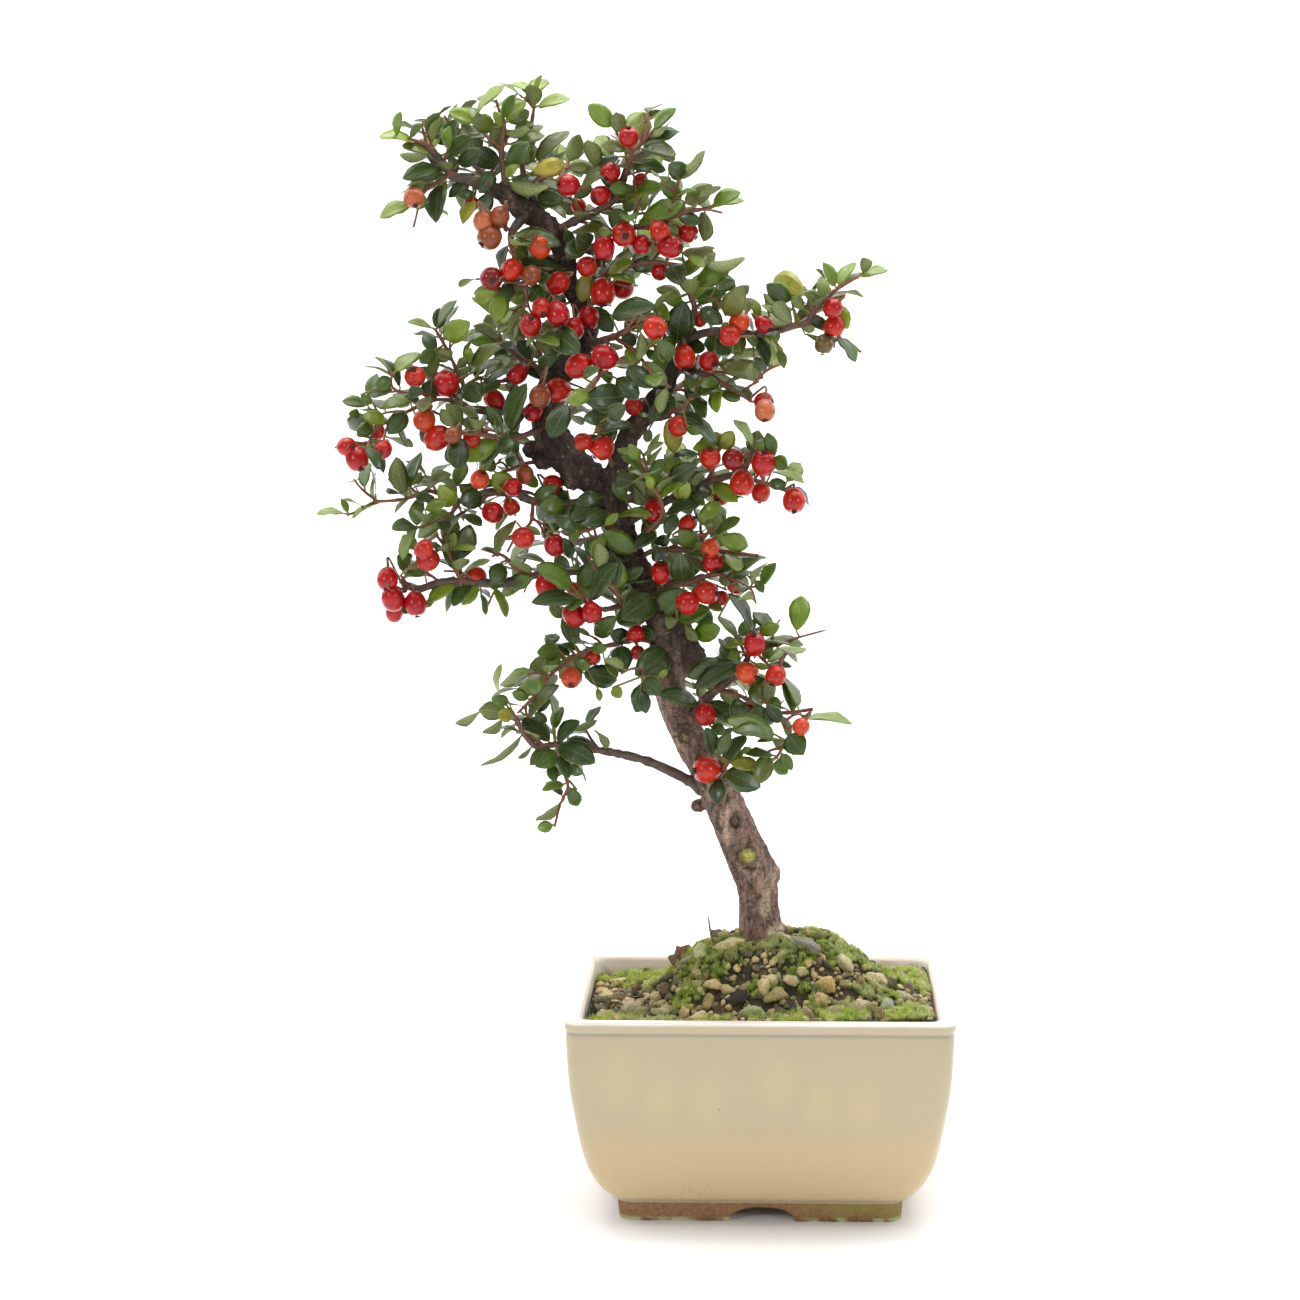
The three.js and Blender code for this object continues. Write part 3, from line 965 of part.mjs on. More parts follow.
add('pot', pot(), finish.glaze);
add('drain_mesh_left', drainMesh(-1), finish.net);
add('drain_mesh_right', drainMesh(1), finish.net);
add('soil', soil(), finish.soil);
add('trunk', trunk, finish.bark);
for (const shoot of shoots) {
  add(`shoot_${shoot.name}`, join(shoot.parts).subtract(trunkGrown), finish.leaf);
}
for (const { name, parts, cuts } of bunches) {
  add(name, cuts.reduce((body, cut) => body.subtract(cut), join(parts)).subtract(trunkGrown), finish.berry);
}

const bounds = new THREE.Box3().setFromObject(group);
const middle = bounds.getCenter(vec(0, 0, 0));
for (const mesh of group.children) mesh.geometry.translate(-middle.x, -middle.y, -bounds.min.z);

export default group;
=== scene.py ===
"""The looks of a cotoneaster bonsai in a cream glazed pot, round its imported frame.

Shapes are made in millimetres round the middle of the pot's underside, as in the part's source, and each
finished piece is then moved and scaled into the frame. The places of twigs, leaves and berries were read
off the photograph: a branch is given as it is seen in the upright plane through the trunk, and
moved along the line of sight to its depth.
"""

import math
from functools import partial
from string import ascii_letters
from types import SimpleNamespace as Item

import bmesh
import bpy
from mathutils import Matrix, Vector, noise
from mathutils.bvhtree import BVHTree
from mathutils.kdtree import KDTree


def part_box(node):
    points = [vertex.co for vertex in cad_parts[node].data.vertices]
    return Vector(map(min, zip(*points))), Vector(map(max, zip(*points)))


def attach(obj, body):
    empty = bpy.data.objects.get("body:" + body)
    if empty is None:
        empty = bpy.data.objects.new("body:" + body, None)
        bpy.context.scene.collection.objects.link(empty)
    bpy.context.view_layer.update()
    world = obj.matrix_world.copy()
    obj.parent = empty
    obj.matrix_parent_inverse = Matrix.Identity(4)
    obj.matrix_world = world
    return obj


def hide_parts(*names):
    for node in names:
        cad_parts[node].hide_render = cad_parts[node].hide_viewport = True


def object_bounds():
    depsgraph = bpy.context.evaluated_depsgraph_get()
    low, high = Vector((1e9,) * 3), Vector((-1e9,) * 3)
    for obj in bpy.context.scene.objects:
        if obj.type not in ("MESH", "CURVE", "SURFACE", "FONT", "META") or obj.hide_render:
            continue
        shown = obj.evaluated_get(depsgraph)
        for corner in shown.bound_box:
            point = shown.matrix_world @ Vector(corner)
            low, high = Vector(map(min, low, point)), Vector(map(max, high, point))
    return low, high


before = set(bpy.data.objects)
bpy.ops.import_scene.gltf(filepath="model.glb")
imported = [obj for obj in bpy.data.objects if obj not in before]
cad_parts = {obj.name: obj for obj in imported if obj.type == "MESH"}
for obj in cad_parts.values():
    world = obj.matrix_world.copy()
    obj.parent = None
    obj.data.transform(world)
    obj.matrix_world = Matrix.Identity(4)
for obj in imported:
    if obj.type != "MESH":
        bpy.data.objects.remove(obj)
cad_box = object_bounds()

# The pot, in millimetres
POT_WIDTH = 150
POT_DEPTH = 115
FLOOR_TOP = 12
FOOT_HEIGHT = 7.7
FOOT_RIM = 9
FOOT_RECESS = 5.5
ARCH_WIDTH = 25
ARCH_HEIGHT = 5.6
DRAIN_RADIUS = 7
DRAIN_X = 26
SOIL_EDGE = 80.6

# The leaves, twigs and berries, as in the part's source
LEAF_SLENDERNESS = 0.56
LEAF_ARCH = 0.06
WIDEST_LEAF = 10.5
NEAR_TWIG = 1.8
ROOT_CLEAR = 1.2
BERRY_BEFORE = 6
BERRY_BEHIND = 3
BACK_SPACING = 6
BACK_SHORTEST = 14
BACK_LONGEST = 20
GOLDEN_ANGLE = 2.39996
SIDE_SHOOT_SPACING = 9
LEAF_BENDS = [0, -4, 4, -8, 8, -12, 12, 17]
MORE_DEPTHS = [0, 4, -4, 8, 12, -8, 16]
BERRY_BENDS = [0, -3, 3, -6, 6, -10, 10, -14]
# A place is covered where this many leaves seen from the front have their middles this near it. Where an
# added leaf's tip lies, there have to be more of them.
COVER_RADIUS = 12
COVER_COUNT = 2
TIP_COVER_COUNT = 3
# Where the seeds of each kind of draw begin, so that none is drawn from twice for the same thing
SEEDS = Item(side_shoots=500, more_leaves=600, back_leaves=1000, spur_leaves=1200, twig_leaves=1300,
             bunches=2000, berries=3000, character=5000, more_looks=6000, back_looks=7000, twig_looks=9000,
             pebbles=401, moss=402, litter=403)
# A leaf or berry is the solid's own where the solid has a corner this near its tip
SAME_TIP = 0.2

# Where the photograph was taken from, and how the camera is turned
EYE = Vector((8.8, -1352.6, 419.8))
CAMERA_PAN = 0.039
CAMERA_PITCH = 0.145
CAMERA_ROLL = -0.004
CAMERA_LENS = 95.5

# The trunk and its bough: [x, z, radius, depth], in the order of growth
TRUNK = [
    [-0.5, 62, 6, 0], [-0.5, 84, 10.5, 0], [0, 97, 11.2, 0], [0.5, 105, 10, 0], [-0.4, 112, 8.7, 0],
    [-0.6, 120, 8, 0], [-1.4, 128, 8.5, 0], [-3.3, 134.5, 9.2, -0.5], [-5.6, 140, 8.9, -1],
    [-8, 145, 8.2, -1], [-10.6, 151, 8.2, -2], [-14.4, 160, 7.8, -2], [-17.5, 167, 7.4, -3],
    [-22, 175, 6.9, -3], [-27, 184, 6.6, -3], [-32, 194, 6.3, -2], [-35.2, 203, 6, -2], [-37, 215, 6, -1],
    [-38.5, 226, 5.4, 0], [-42, 237, 5, 0], [-46.5, 249, 5, 0], [-51.5, 260, 5.1, 1], [-56, 271, 5.4, 1],
    [-59.5, 281, 6, 2], [-64, 288, 6.3, 2],
    [-72, 294, 6.5, 3], [-79, 302, 7, 4], [-83, 309, 7, 5], [-84, 317, 6.5, 6], [-82, 325, 5.5, 6],
    [-77, 333, 4.8, 6], [-70.5, 341, 4.2, 5], [-67.5, 348, 3.4, 4], [-70, 356, 3.4, 3], [-74.5, 365, 3.4, 2],
    [-76, 375, 3.6, 1], [-79.5, 384, 4.2, 0], [-85, 390.5, 4.6, -1], [-92, 395.5, 4.6, -2],
    [-98, 400, 4.2, -4], [-104, 403.5, 3.2, -5], [-109, 405, 2.6, -6],
]
RIGHT_LIMB = [
    [-58, 278, 5, 1], [-57.5, 289, 4.7, 0], [-55.5, 300, 4.2, -1], [-51, 309, 4, -2], [-46, 315, 3.8, -2],
    [-40, 323, 3.6, -3], [-35.5, 331, 3.2, -4], [-32, 339, 2.9, -5], [-27.5, 350, 2.3, -6],
]
# Swellings and cut-back stubs on the wood: [x, z, depth, radius]
KNOBS = [
    [-5.2, 139, -7.5, 4.2], [-25, 159.5, -2, 3], [-27.5, 219.5, -2, 6], [-81.5, 386.5, -1, 4.6],
    [7, 108, -1, 4.2],
]

# Every leafy shoot by its name. Its first twig leaves the wood: depth where it starts, depth where it
# ends, then x z radius points. The others leave the first, so they have only the depth where they end.
SHOOTS = """
crown_tip: -6 -14 -108 404.8 2.5 -114 407 2.3 -120 408.5 2.2 -124 413.5 2 -128 418 1.7 -131 421 1.3 -138 423
 0.8 / -18 -121 409.5 1 -130 404 0.8 -136 398 0.6 / -6 -124 413 0.9 -121 420 0.7 -120 425 0.6;
crown_left_up: -4 -1 -98 400 2 -100.5 411 1.6 -101 419 1.3 -100 429 1.1 -101.5 433 0.8 -103 438 0.6 / -8
 -101 418.5 0.8 -107 424 0.6 -110 430 0.5;
crown_mid_up: 0 5 -83.5 390 1.6 -90 402 1.4 -93 413 1.2 -90 423 1 -89 430 0.9 -88 436 0.7 -87.5 441.5 0.5 /
 -8 -92 404 0.8 -86 409 0.6;
crown_right: -2 -14 -79 388 2 -73 391 1.9 -66 394 1.8 -58 399 1.6 -54 406 1.5 -51 414 1.2 -50.5 419 1 -56.5
 425 0.7 / -18 -50.5 417 0.9 -46 421 0.7 -42 426 0.5 / -4 -54 406 0.9 -60 409 0.7 -64 411 0.5 / -14 -61 397
 1 -54 393 0.8 -51 392 0.7 -47 399 0.5;
crown_right_low: -3 -22 -76 377 1.8 -66 381 1.5 -57 387 1.3 -48 389 1.2 -38 391 1.1 -30 394.5 1 -23 395.5
 0.8 -17 397 0.6 / -24 -38 391 0.8 -34 399 0.6 -32 407 0.5;
crown_mid_right: 2 -14 -71 359 1.6 -66 366 1.4 -60 370.5 1.2 -50 374 1.1 -40 375 1 -33.5 374 0.9 -22 374
 0.6;
limb_top: -6 -10 -27.8 349 1.9 -26 357 1.4 -28 363 1.1 -30 369 0.8 / -16 -26 357 0.8 -20 361 0.6 -15 358
 0.5;
limb_right: -5 -14 -30 344 2.1 -24 347 2 -17 348 2 -8 347 1.8 3 347.5 1.7 12 350 1.5 18 351.5 1.3 21 356 1.1
 25 360.5 1 31 365.5 0.9 38 369.3 0.7 / -4 18 351 1 23 349.5 0.9 28 347.5 0.8 33 344 0.6 39 340 0.5;
limb_fork: -4 -18 -35 332 1.8 -28 333 1.6 -20 330.5 1.5 -15 327.5 1.4 -8 324 1.3 -4 321 1.1 / -22 -8 324 0.8
 -4 327 0.6 -1 328.5 0.5;
limb_short: -2 -20 -46 314 1.8 -38 314.5 1.5 -35 317 1.2 -30 318 0.8;
centre_front: 4 -24 -67 343 1.8 -58 346 1.6 -52 349 1.1 / -30 -58 346 1 -50 341 0.9 -43 332 0.7 / -30 -60
 345.5 0.9 -62 335 0.8 -66 326 0.7;
centre_low: 0 -24 -57 292 1.4 -60 300 1.1 -62 308 0.9 -66 313 0.7;
left_upper: 1 -14 -76 373 1.6 -84 370 1.4 -92 367 1.2 -99 365.5 1 -103 364 0.7 / -14 -92 367 0.8 -91 358 0.6
 -88 353 0.5;
left_stub: -3 -15 -91 394.5 2.4 -97 387.5 1.8 -98 383 1.1 -97 379 0.7;
left_mid: 4 -10 -84 318 2.2 -95 317 2 -105 317 1.8 -116 318.5 1.6 -119 323 1.2 -117 327 1 -119.5 333 0.9
 -122 338.5 0.8 -125 344.5 0.7 -128 349.5 0.6 / -22 -117 319.5 1 -128 321.5 0.9 -141 316 0.8 -147 313 0.8
 -152 309.5 0.7 -155 304 0.6 / -24 -141 316 0.7 -143 325 0.6 -145 332 0.5;
left_inner: 5 12 -81 327 1.7 -89 335 1.5 -94 337.5 1.3 -103 345 0.9 / 2 -90 335.5 1 -100 329 0.8 -111 330
 0.6;
left_shoulder: 2 -24 -84 311 1.6 -96 306.5 1.3 -103 306 1.1 -111 308 0.9 -119 308 0.7;
left_whip: 2 -13 -62 283 2.1 -72 281 2 -80 280.5 2 -90 281.5 1.9 -97 284.5 2 -105 285 1.9 -112 284 1.5 -119
 281.5 1.2 -126 284 1.1 -132 285.5 0.9 -138 283 0.8 -145 281.7 0.7 -153 281 0.7 -158 278 0.6 -164 275.8 0.5
 / -12 -90 281.5 1 -91 273 0.8 -96 269 0.6 / -20 -119 281.5 0.8 -122 277 0.6 -134 271 0.5;
shoulder_low: 0 6 -74 296 1.4 -84 297 1.1 -92 296.5 0.8 -99 294 0.7 -106 291.5 0.6;
low_left: 1 -14 -47 250 2.2 -58 252 2 -70 254 1.9 -80 252.5 1.7 -89 252 1.6 -97 250 1.8 -103 248.7 1.9 -112
 249 1.9 -122 249.5 1.8 -129 248.5 1.8 -135 246.5 1.7 -139 247 1.5 -143 250 1.2 / -18 -118 250 1 -121 254
 0.9 -124 262 0.8 -129 268.5 0.6 / -12 -89 252.5 0.9 -96 253.5 0.9 -102 260 0.8 -106.5 259.5 0.6;
low_front: -1 -22 -43 238 1.6 -55 239.5 1.4 -63 238.5 1.2 -72 243 0.8 / -26 -55 239.5 0.9 -58 247 0.7 -62
 250 0.5;
low_twig: -1 -16 -38 223 1.5 -46 226.3 1.4 -53 225.5 1.2 -60 224 1.1 -66 223 1 -71 221 1 -76 218 0.95 -80
 215 0.9 -84 211.5 0.9 -88 206 0.8 -93 200.5 0.7 -97 196.5 0.6 / -24 -50 226 0.9 -47 219 0.7 -47 211 0.5;
low_branch: -3 -16 -18 162 3 -25 167 2.6 -30 170.3 2.3 -38 174.3 2.1 -45 177.3 2 -52 179.3 1.9 -60 181 1.8
 -66 182 1.7 -74 183.5 1.6 -82 184 1.5 -89 183 1.4 -93 186.5 1.2 -97 193 1 -99 197.5 0.7 / -18 -81 183.5 0.9
 -79 174 0.8 -77 167 0.7 -80 160 0.6 -82.5 150.5 0.5;
right_low: -3 -16 -31 192.5 2.4 -22 202.5 2.2 -18 206 2.1 -13 210 2 -9 213 1.8 -6 217 1.5 -4 222 1.1 0 222.5
 0.8 7 224.5 0.7 14 227 0.6 25.5 230.2 0.4 / -22 -18 205.5 1 -10 204.5 0.9 -5 202 1 1 198.5 1 9 197 0.9 20.5
 198.5 0.8 / -28 9 197 0.8 11 190.5 0.8 9 184 0.7 6 178.5 0.6;
trunk_shoot: -3 -24 -18.5 168 1.4 -15 174 1.1 -13 177.5 0.8;
right_mid: 1 -13 -56 271 1.9 -40 280 1.9 -28 286 1.8 -20 289.3 1.8 -12 291.5 1.6 -7 292 1.4 -3 289.7 1 2
 288.5 1 10 285.5 0.7 / -13 -19 289.5 0.9 -18.5 297 0.7 -16 302 0.5 / -17 -7 292 0.9 -4 298 0.7 -2 303 0.5;
rosette: 0 -32 -52 261.5 1.2 -45 269 1 -39 276 1 -40 283 0.9 -44 290 0.8 -48 297.5 0.6;
right_inner: 1 -12 -50 257.5 1.5 -42 262 1.2 -33 262 1.1 -20 262 1 -8 260.5 0.8 -1 260 0.6 / -18 -24 262 0.8
 -22 268 0.6 -18 271 0.5;
right_red: 0 -20 -45 247 1.4 -34 248 1.1 -28 249 1.1 -22 251.5 1 -15 252 0.9 -4 246.5 0.6;
trunk_arc: -2 -14 -55.5 270 1.1 -62 272 0.9 -68 270 0.7 -73 268.5 0.6;
back_low: -1 38 -29 188 1.9 -22 200 1.5 -16 208 1.2 -9 214 0.8 / 32 -20 203 0.8 -27 209 0.6;
back_low_left: 0 42 -40 232 1.8 -49 238 1.5 -58 242 1.2 -68 247 0.8;
back_low_right: 0 46 -44 243 1.8 -34 252 1.5 -24 258 1.2 -12 260 0.8;
back_mid_left: 2 44 -55 268 1.8 -68 266 1.5 -80 264 1.1 -92 266 0.8;
back_mid_right: 3 50 -58 277 2 -46 287 1.6 -34 292 1.2 -22 295 0.8;
back_shoulder: 7 46 -78 300 2 -86 303 1.6 -98 306 1.3 -110 308 0.9;
back_centre: 6 54 -83 309 2 -74 318 1.7 -66 328 1.3 -58 336 0.9;
back_left: 6 44 -77 333 1.9 -86 338 1.5 -97 342 1.1 -106 346 0.8;
back_limb: -2 44 -42 320 1.8 -30 328 1.5 -20 334 1.2 -8 338 0.8;
back_high: 3 50 -70 356 1.9 -60 365 1.6 -49 373 1.3 -38 381 0.9;
back_high_left: 1 44 -76.5 377 1.8 -86 376 1.5 -94 371 1.1 -101 366 0.8;
back_crown: 0 40 -90 394.5 1.8 -85 402 1.5 -78 408 1.2 -75 414 0.8;
back_tip: -5 28 -104 403.5 1.6 -110 411 1.3 -116 418 1 -121 424 0.7"""

# The leaves that can be told apart from the front: the base's x z, how far across and up the tip lies from
# it, the width as it is seen, and the tone: D dark, G green, L light, O olive, Y yellowing, and S where the
# pale underside shows.
LEAVES = """
-133 421 -16 3 4L, -142 424.5 2 9 4L, -137 423 5 6 3.5G, -127 415 -13 5.5 5O, -129 416 -12 1 4S,
-124 411 -16 -3.3 7D, -121 409.5 -16.5 -5 5O, -124 418 6 13.5 6D, -123 419 2 9 4L, -121 415 8 9 7D,
-118 413 9 6 7D, -125 407 -2 -16.5 8D, -122 407 -3 -11 5L, -137 397 -12 -4.5 6L, -131 402 -3.5 -6.5 5S,
-121 425.5 12 0.5 5O, -110 430.7 -11.5 2.8 6L, -111 432 11.5 11 4L, -103.5 437 -7 1.7 3L, -104 427 -9 4 8O,
-100 427 -4 6.5 4L, -99 431 3 9 5G, -99 429 8 8 5L, -98 430 8 3.5 6G, -99 424.5 9 2 4S, -96 426 8 3 4G,
-89 441 -8.5 3 3L, -87.5 442 2.5 5.5 2.5L, -87 435 13 3 5L, -101 413 -11 5 9D, -98.5 411 8.5 10.5 8G,
-95 413 7 6 6O, -88 414 13.5 12 6O, -96 421 12 3 5O, -89 410 13 3.5 8Y, -91 409 11 0.5 4L, -97 405 14 -1 6S,
-97 405.5 23 -3.8 5G, -89 398 12 1.5 7D, -104 410 -6 -8 7D, -105 402 -5 -7 7D, -112 402 -6 -1 4D,
-112 400 -4.5 -10 5.5Y, -98 387 20 -5.3 7G, -97 386 3 -13.5 7O, -98 383 -4 -12 4.5D, -76 372.5 -18 2.5 5.5D,
-104 366 -8.5 -3 6S, -103 364 -9.5 -4 7L, -101 364 -3 -12 8L, -96 366 -6 -4 6D, -80 361 -8 -1.5 5D,
-57.5 427.5 -9.5 8.5 8L, -57 427 -6.7 3 2L, -53 421 8 12 11L, -42 427 9 7.5 5G, -48 421 16 4.5 6D,
-45 425 10 4.5 2.5S, -48 418.5 15 -2 6O, -58 415 -6 9 8L, -52 418 -10.5 2.5 5O, -64 411 -10.5 1 6O,
-55 416 -9 -5.5 5D, -56 412.5 -14 -8 6O, -49 411 12 -0.5 6D, -46 413 8 2.5 6L, -30 409 -6 4 8D,
-34 408 12.5 10 5S, -30 397.5 11 7.5 8O, -20 397.5 12 4.5 6L, -17 397 10.5 2 4L, -53 399 15 6 7L,
-49 390 19 8 8L, -47 390 21 -4 9L, -36 392 6 7 7S, -33 392 9.5 -1.5 5.5D, -57 388 -10 10 4S,
-51 390 -6 6 5G, -54 398 -6 6 6S, -58 388.5 -16 -1.5 5O, -65 378 -7 8 9D, -61 371 11 4.5 5L,
-61 370.5 12 -3.5 4L, -68 371 -2 -11.5 7Y, -50 376 9 -2 7D, -31 379 13 1.5 5S, -22 374 16 2.5 5S,
-28 372 6 7 6L, -26 366 14 7 9L, -31 367 -4 6.5 3L, -31 361.5 -10 3.5 5O, -33 343.5 3 16.5 12D,
-30 359 -8 2 5L, -25 360 11.5 3.5 6G, -14 354 7 11.5 10O, -1 353 -2.5 8 4L, -59 354.5 18 3.5 9D,
28.5 365.5 -4.5 9.5 5L, 28.5 365.5 8 9.5 5L, 39 368 10.5 3.5 4L, 39.5 370.5 2.5 5.5 5S, 18 362 -13 7 11Y,
12 360 -10 6.5 8D, 25 359 -8.5 4 5O, 13 357 -13 1 4S, 12 353 -7 6.5 7S, 13.5 349.5 -14.5 6.5 5S,
25 348 -5 6 5D, 28 358.5 6 -9.5 8L, 17 347 14 -1.5 3S, 28 346.5 9 -10.5 5G, -18 350 -2 -10.5 5G,
-12 349 -5 -10 9D, -7 346 -1 -7.5 4O, -3 344 7 -10.5 6D, -2 344 9.5 -9.5 9Y, -17 335.5 18 -5.8 8O,
-32 331.5 7 -7 7G, -17 326 -7 1 5.5G, -15 326 12 -4 3G, -20 323.5 1 -5.5 2S, -30 325.5 8 -11.5 6D,
-35 316 13 -5 5D, -33 321 -10 0 9D, -38 320 -6 -7 7D, -33 314.5 16.5 -11.5 6G, -35 314 1 -14 8Y,
-44 310 -1 -5.5 4S, -53 334 11 -8 8D, -47 348 -1 -11 5S, -42 343 4 -7 4O, -71 322 18 1 12D,
-68 325 -7 -5.5 7L, -76 320 -7 -13.5 9D, -60.5 308 -9.5 -5 7D, -66 308 15.5 4 6D, -60 315 -10 -1 7D,
-16 303 -2 6 6Y, -15 303 4 6 7Y, -16 303.5 -11 -1.5 6L, -24 300 -11 -1 3D, -3 304 -8 9.5 4L,
-3 300 6 5.5 6G, 5 298.5 -2.5 10 6G, 5 299 5 -5 6G, 10 289 5.5 7.5 7L, 4 293 13 -4.5 3.5L,
13 287 6 -7.5 2.5D, -5 295 -1.5 8 6G, -19 287 10 -6 7L, -22 288 -2 -6 7D, -40 283 -3 10 7L,
-39 283 7.5 5 4L, -44 277 -4 13 6.5S, -47 297.5 -5 6.5 5L, -47 298 9 6.5 2O, -36 291 2 10 8L,
-36 290 11 6 8D, -31 289 -2 -6.5 8Y, -50 289 -8 2 8D, -53 281 -5.5 8 6G, -46 290.5 -9 8.5 3.5G,
-43 292 5 6 5G, -127 350.5 8 10 4G, -129 350 -10 2 3L, -125 346 11 6 9L, -125 344 9 5 5D, -128 340 -4 8 6D,
-119 338 -10 3 6S, -102 345 -11 5.5 5O, -104 348 5.5 3 2S, -103 345 -11 -1 6L, -95 341 -10 -2 5D,
-89 338 -6 7 7D, -115 331 12 12.5 6O, -112 331 14 6.5 5O, -110 326 16 8.5 4D, -101 330 -10 -5 6O,
-88 341 8 8 6O, -82 348 11 -8 11D, -89 333 9 5 7D, -93 331 10 -1 5D, -100 310 8 18 8D, -102 311 -6 8 6D,
-96.5 307 -7.5 -6 8D, -103 306 -7 -10 7D, -103 306.5 -13 -9.5 9L, -118 306 -2 -12 9D, -110 312 -8 1 6D,
-121 311 -5 7 6S, -117 326 -4 -16 6O, -155 319.5 -10 1.5 5O, -154 322 3 10 5G, -143 331 -8 -5 6G,
-138 321 -12 -2.5 5L, -156 316 -6 -6 7D, -147 313 -10 2.5 6L, -138 316 -9 -8 8D, -146 332 12 8 6L,
-147 334 -5 4.5 1.5L, -137 322 4 11 4O, -126 329 -7 -6 8D, -155 303 6 -10.5 3D, -151 304 -10 0 4S,
-165 276.5 -11 -0.2 3L, -165 277 -1 5.5 3L, -153 281.5 1 12 1.5L, -150 280 -12 -5.5 2L, -140 285 -4 14 8S,
-139 286 5 15 6G, -134 287 12 5 5O, -138 282 -7 -5.5 2L, -138 285 8 -3 5D, -121 278 -6 10 8L,
-122 278.5 -14 -11.5 8L, -136 271 -6 -13 5L, -109 281 -10 0 9D, -113 285 -6 3 5S, -104 289 -8 -2 4G,
-96 288 -10 4 9L, -99 278 -6 -8 4L, -97 274 -8 -13 5O, -138 243 -4 -6.5 7D, -139 256 -5 4 8G,
-136 262 -6 6 5L, -133 252 -9 1 4G, -130 251.5 -6 -12.5 3S, -120 246 -12 -5 6L, -118 247 -7 -10 4G,
-111 246.5 -7.5 -6.5 6L, -107 246 6 -11 4L, -89 251 -14 -7 7L, -103 257 -3 -9 8D, -118 252.5 11 5.5 2.5L,
-85 257 -12 2.5 3G, -124 257 10 5 4D, -122 263 9.5 -0.5 3L, -124 262 3 7 5O, -58 275 15 1 4L,
-46 272.5 10 2.5 5G, -33 276 -5 -7.5 6D, -37 276.5 13 3.5 5D, -24 274 8 7 7L, -23 268 7 8 8S,
-18 268 10 6.5 4.5G, -17 267 12 -3.5 8L, -24 262 -8.5 8 8G, -31 249 -1 12 10D, -20 251 -9.5 8.5 5O,
-20 253 19 7 7G, -12 252.5 12 7.5 5G, 0 248 6 9 5G, -2 250 3 -5 4G, -43 244 -14 -11 14D,
-44 236.5 15 9.5 11G, -41 251.5 -16 -2.5 6D, -50 258 -14 9 9D, -60 259 -10 6 9D, -75 259 -3 8 5D,
-72 269.5 -9 5.5 6D, -66 243 9 14 8D, -69 250 2 -7 4D, -74 246.5 -15 9.5 8G, -72 243.5 -19 -2.5 7D,
-74 224 -3 13 8D, -63 283 -13 -10 9D, -60 277 -10 -5 8D, -76 286 -12 -12 12D, -90 284 10 3.5 6G,
-39 258 -3 6 7D, -41 269 -9 -6 6D, -27 228 11 3 9L, -30 232 5 -6.5 5O, -33 234 -5 -1 6S,
-37 222 -13 -10 13D, -44 210 -6 -13 8D, -48 210 8 -6 7D, -55 224 0 -11.5 9D, -71 213 14 -3 10D,
-74 219 6 -4.5 6G, -80 222 -9 -1 8G, -72 223 -8 1.5 3D, -80 220 -6 -7 6G, -88 211 -16 -3 7L,
-104.5 204 1.5 12.5 3L, -93 195 13 13 6O, -91 204 -6 2 6L, -59 207 3.5 -4 5L, -65 207 1 -5.5 3L,
-83 183.5 -12 11.5 8D, -82 185 10 8.5 6D, -82 183.5 16 -7 10D, -80 186 14 -2 6D, -83 182 -9 -6.5 5G,
-82 181 5 -11 6D, -83 190 -1 16 3G, -82 190 3 9.5 5G, -77 190.5 12 3.5 3S, -79 175 8 -3 5G,
-78 168 -9.5 -2.5 4L, -76 168 3 -9 6G, -80 161.5 -10 -8.5 4S, -83 151.5 -6.5 -1.5 5L, -110 199 -12 -6.5 3S,
-100 198 -12.5 0 8S, -98.5 196 -6.5 -0.5 6Y, -103 194 -8 -5.5 4S, -95 189 -17 -14 3S, -91 184 -6 -5.5 2S,
-8 219 -19 -12.5 8D, -25 201.5 -15.5 2.5 7D, -24 200.5 -9 -8.5 7G, -20 199 13 -7 8D, 6 188 -20 6 8G,
14 229.5 2 14.5 9L, -1 229 8.5 3 6L, 1 226 16 -2 4G, 2 217 16 6 5L, 0 215 12.5 0.5 3D, 0 212 0 -12 10G,
-4 227 -10 -4 4L, -3 229 -10 16 5D, -9 226 -8 10 3D, -13 219 -4 8 3D, 9.5 193 -7.5 7 6D, 15 197 -6 14 4G,
16.5 194.5 20 -2 4L, 13 189 4 -9 10D, 10 180 -3 -8 7G, 5 178.5 -11 2 4D, -14 177 13 -2 6Y,
-15 173 15 -6 11D, -15.5 172 -2 -12 7D, -16 177 10 11 6D, -19 180 -3 11 6D, -17 180 5 9 6G"""

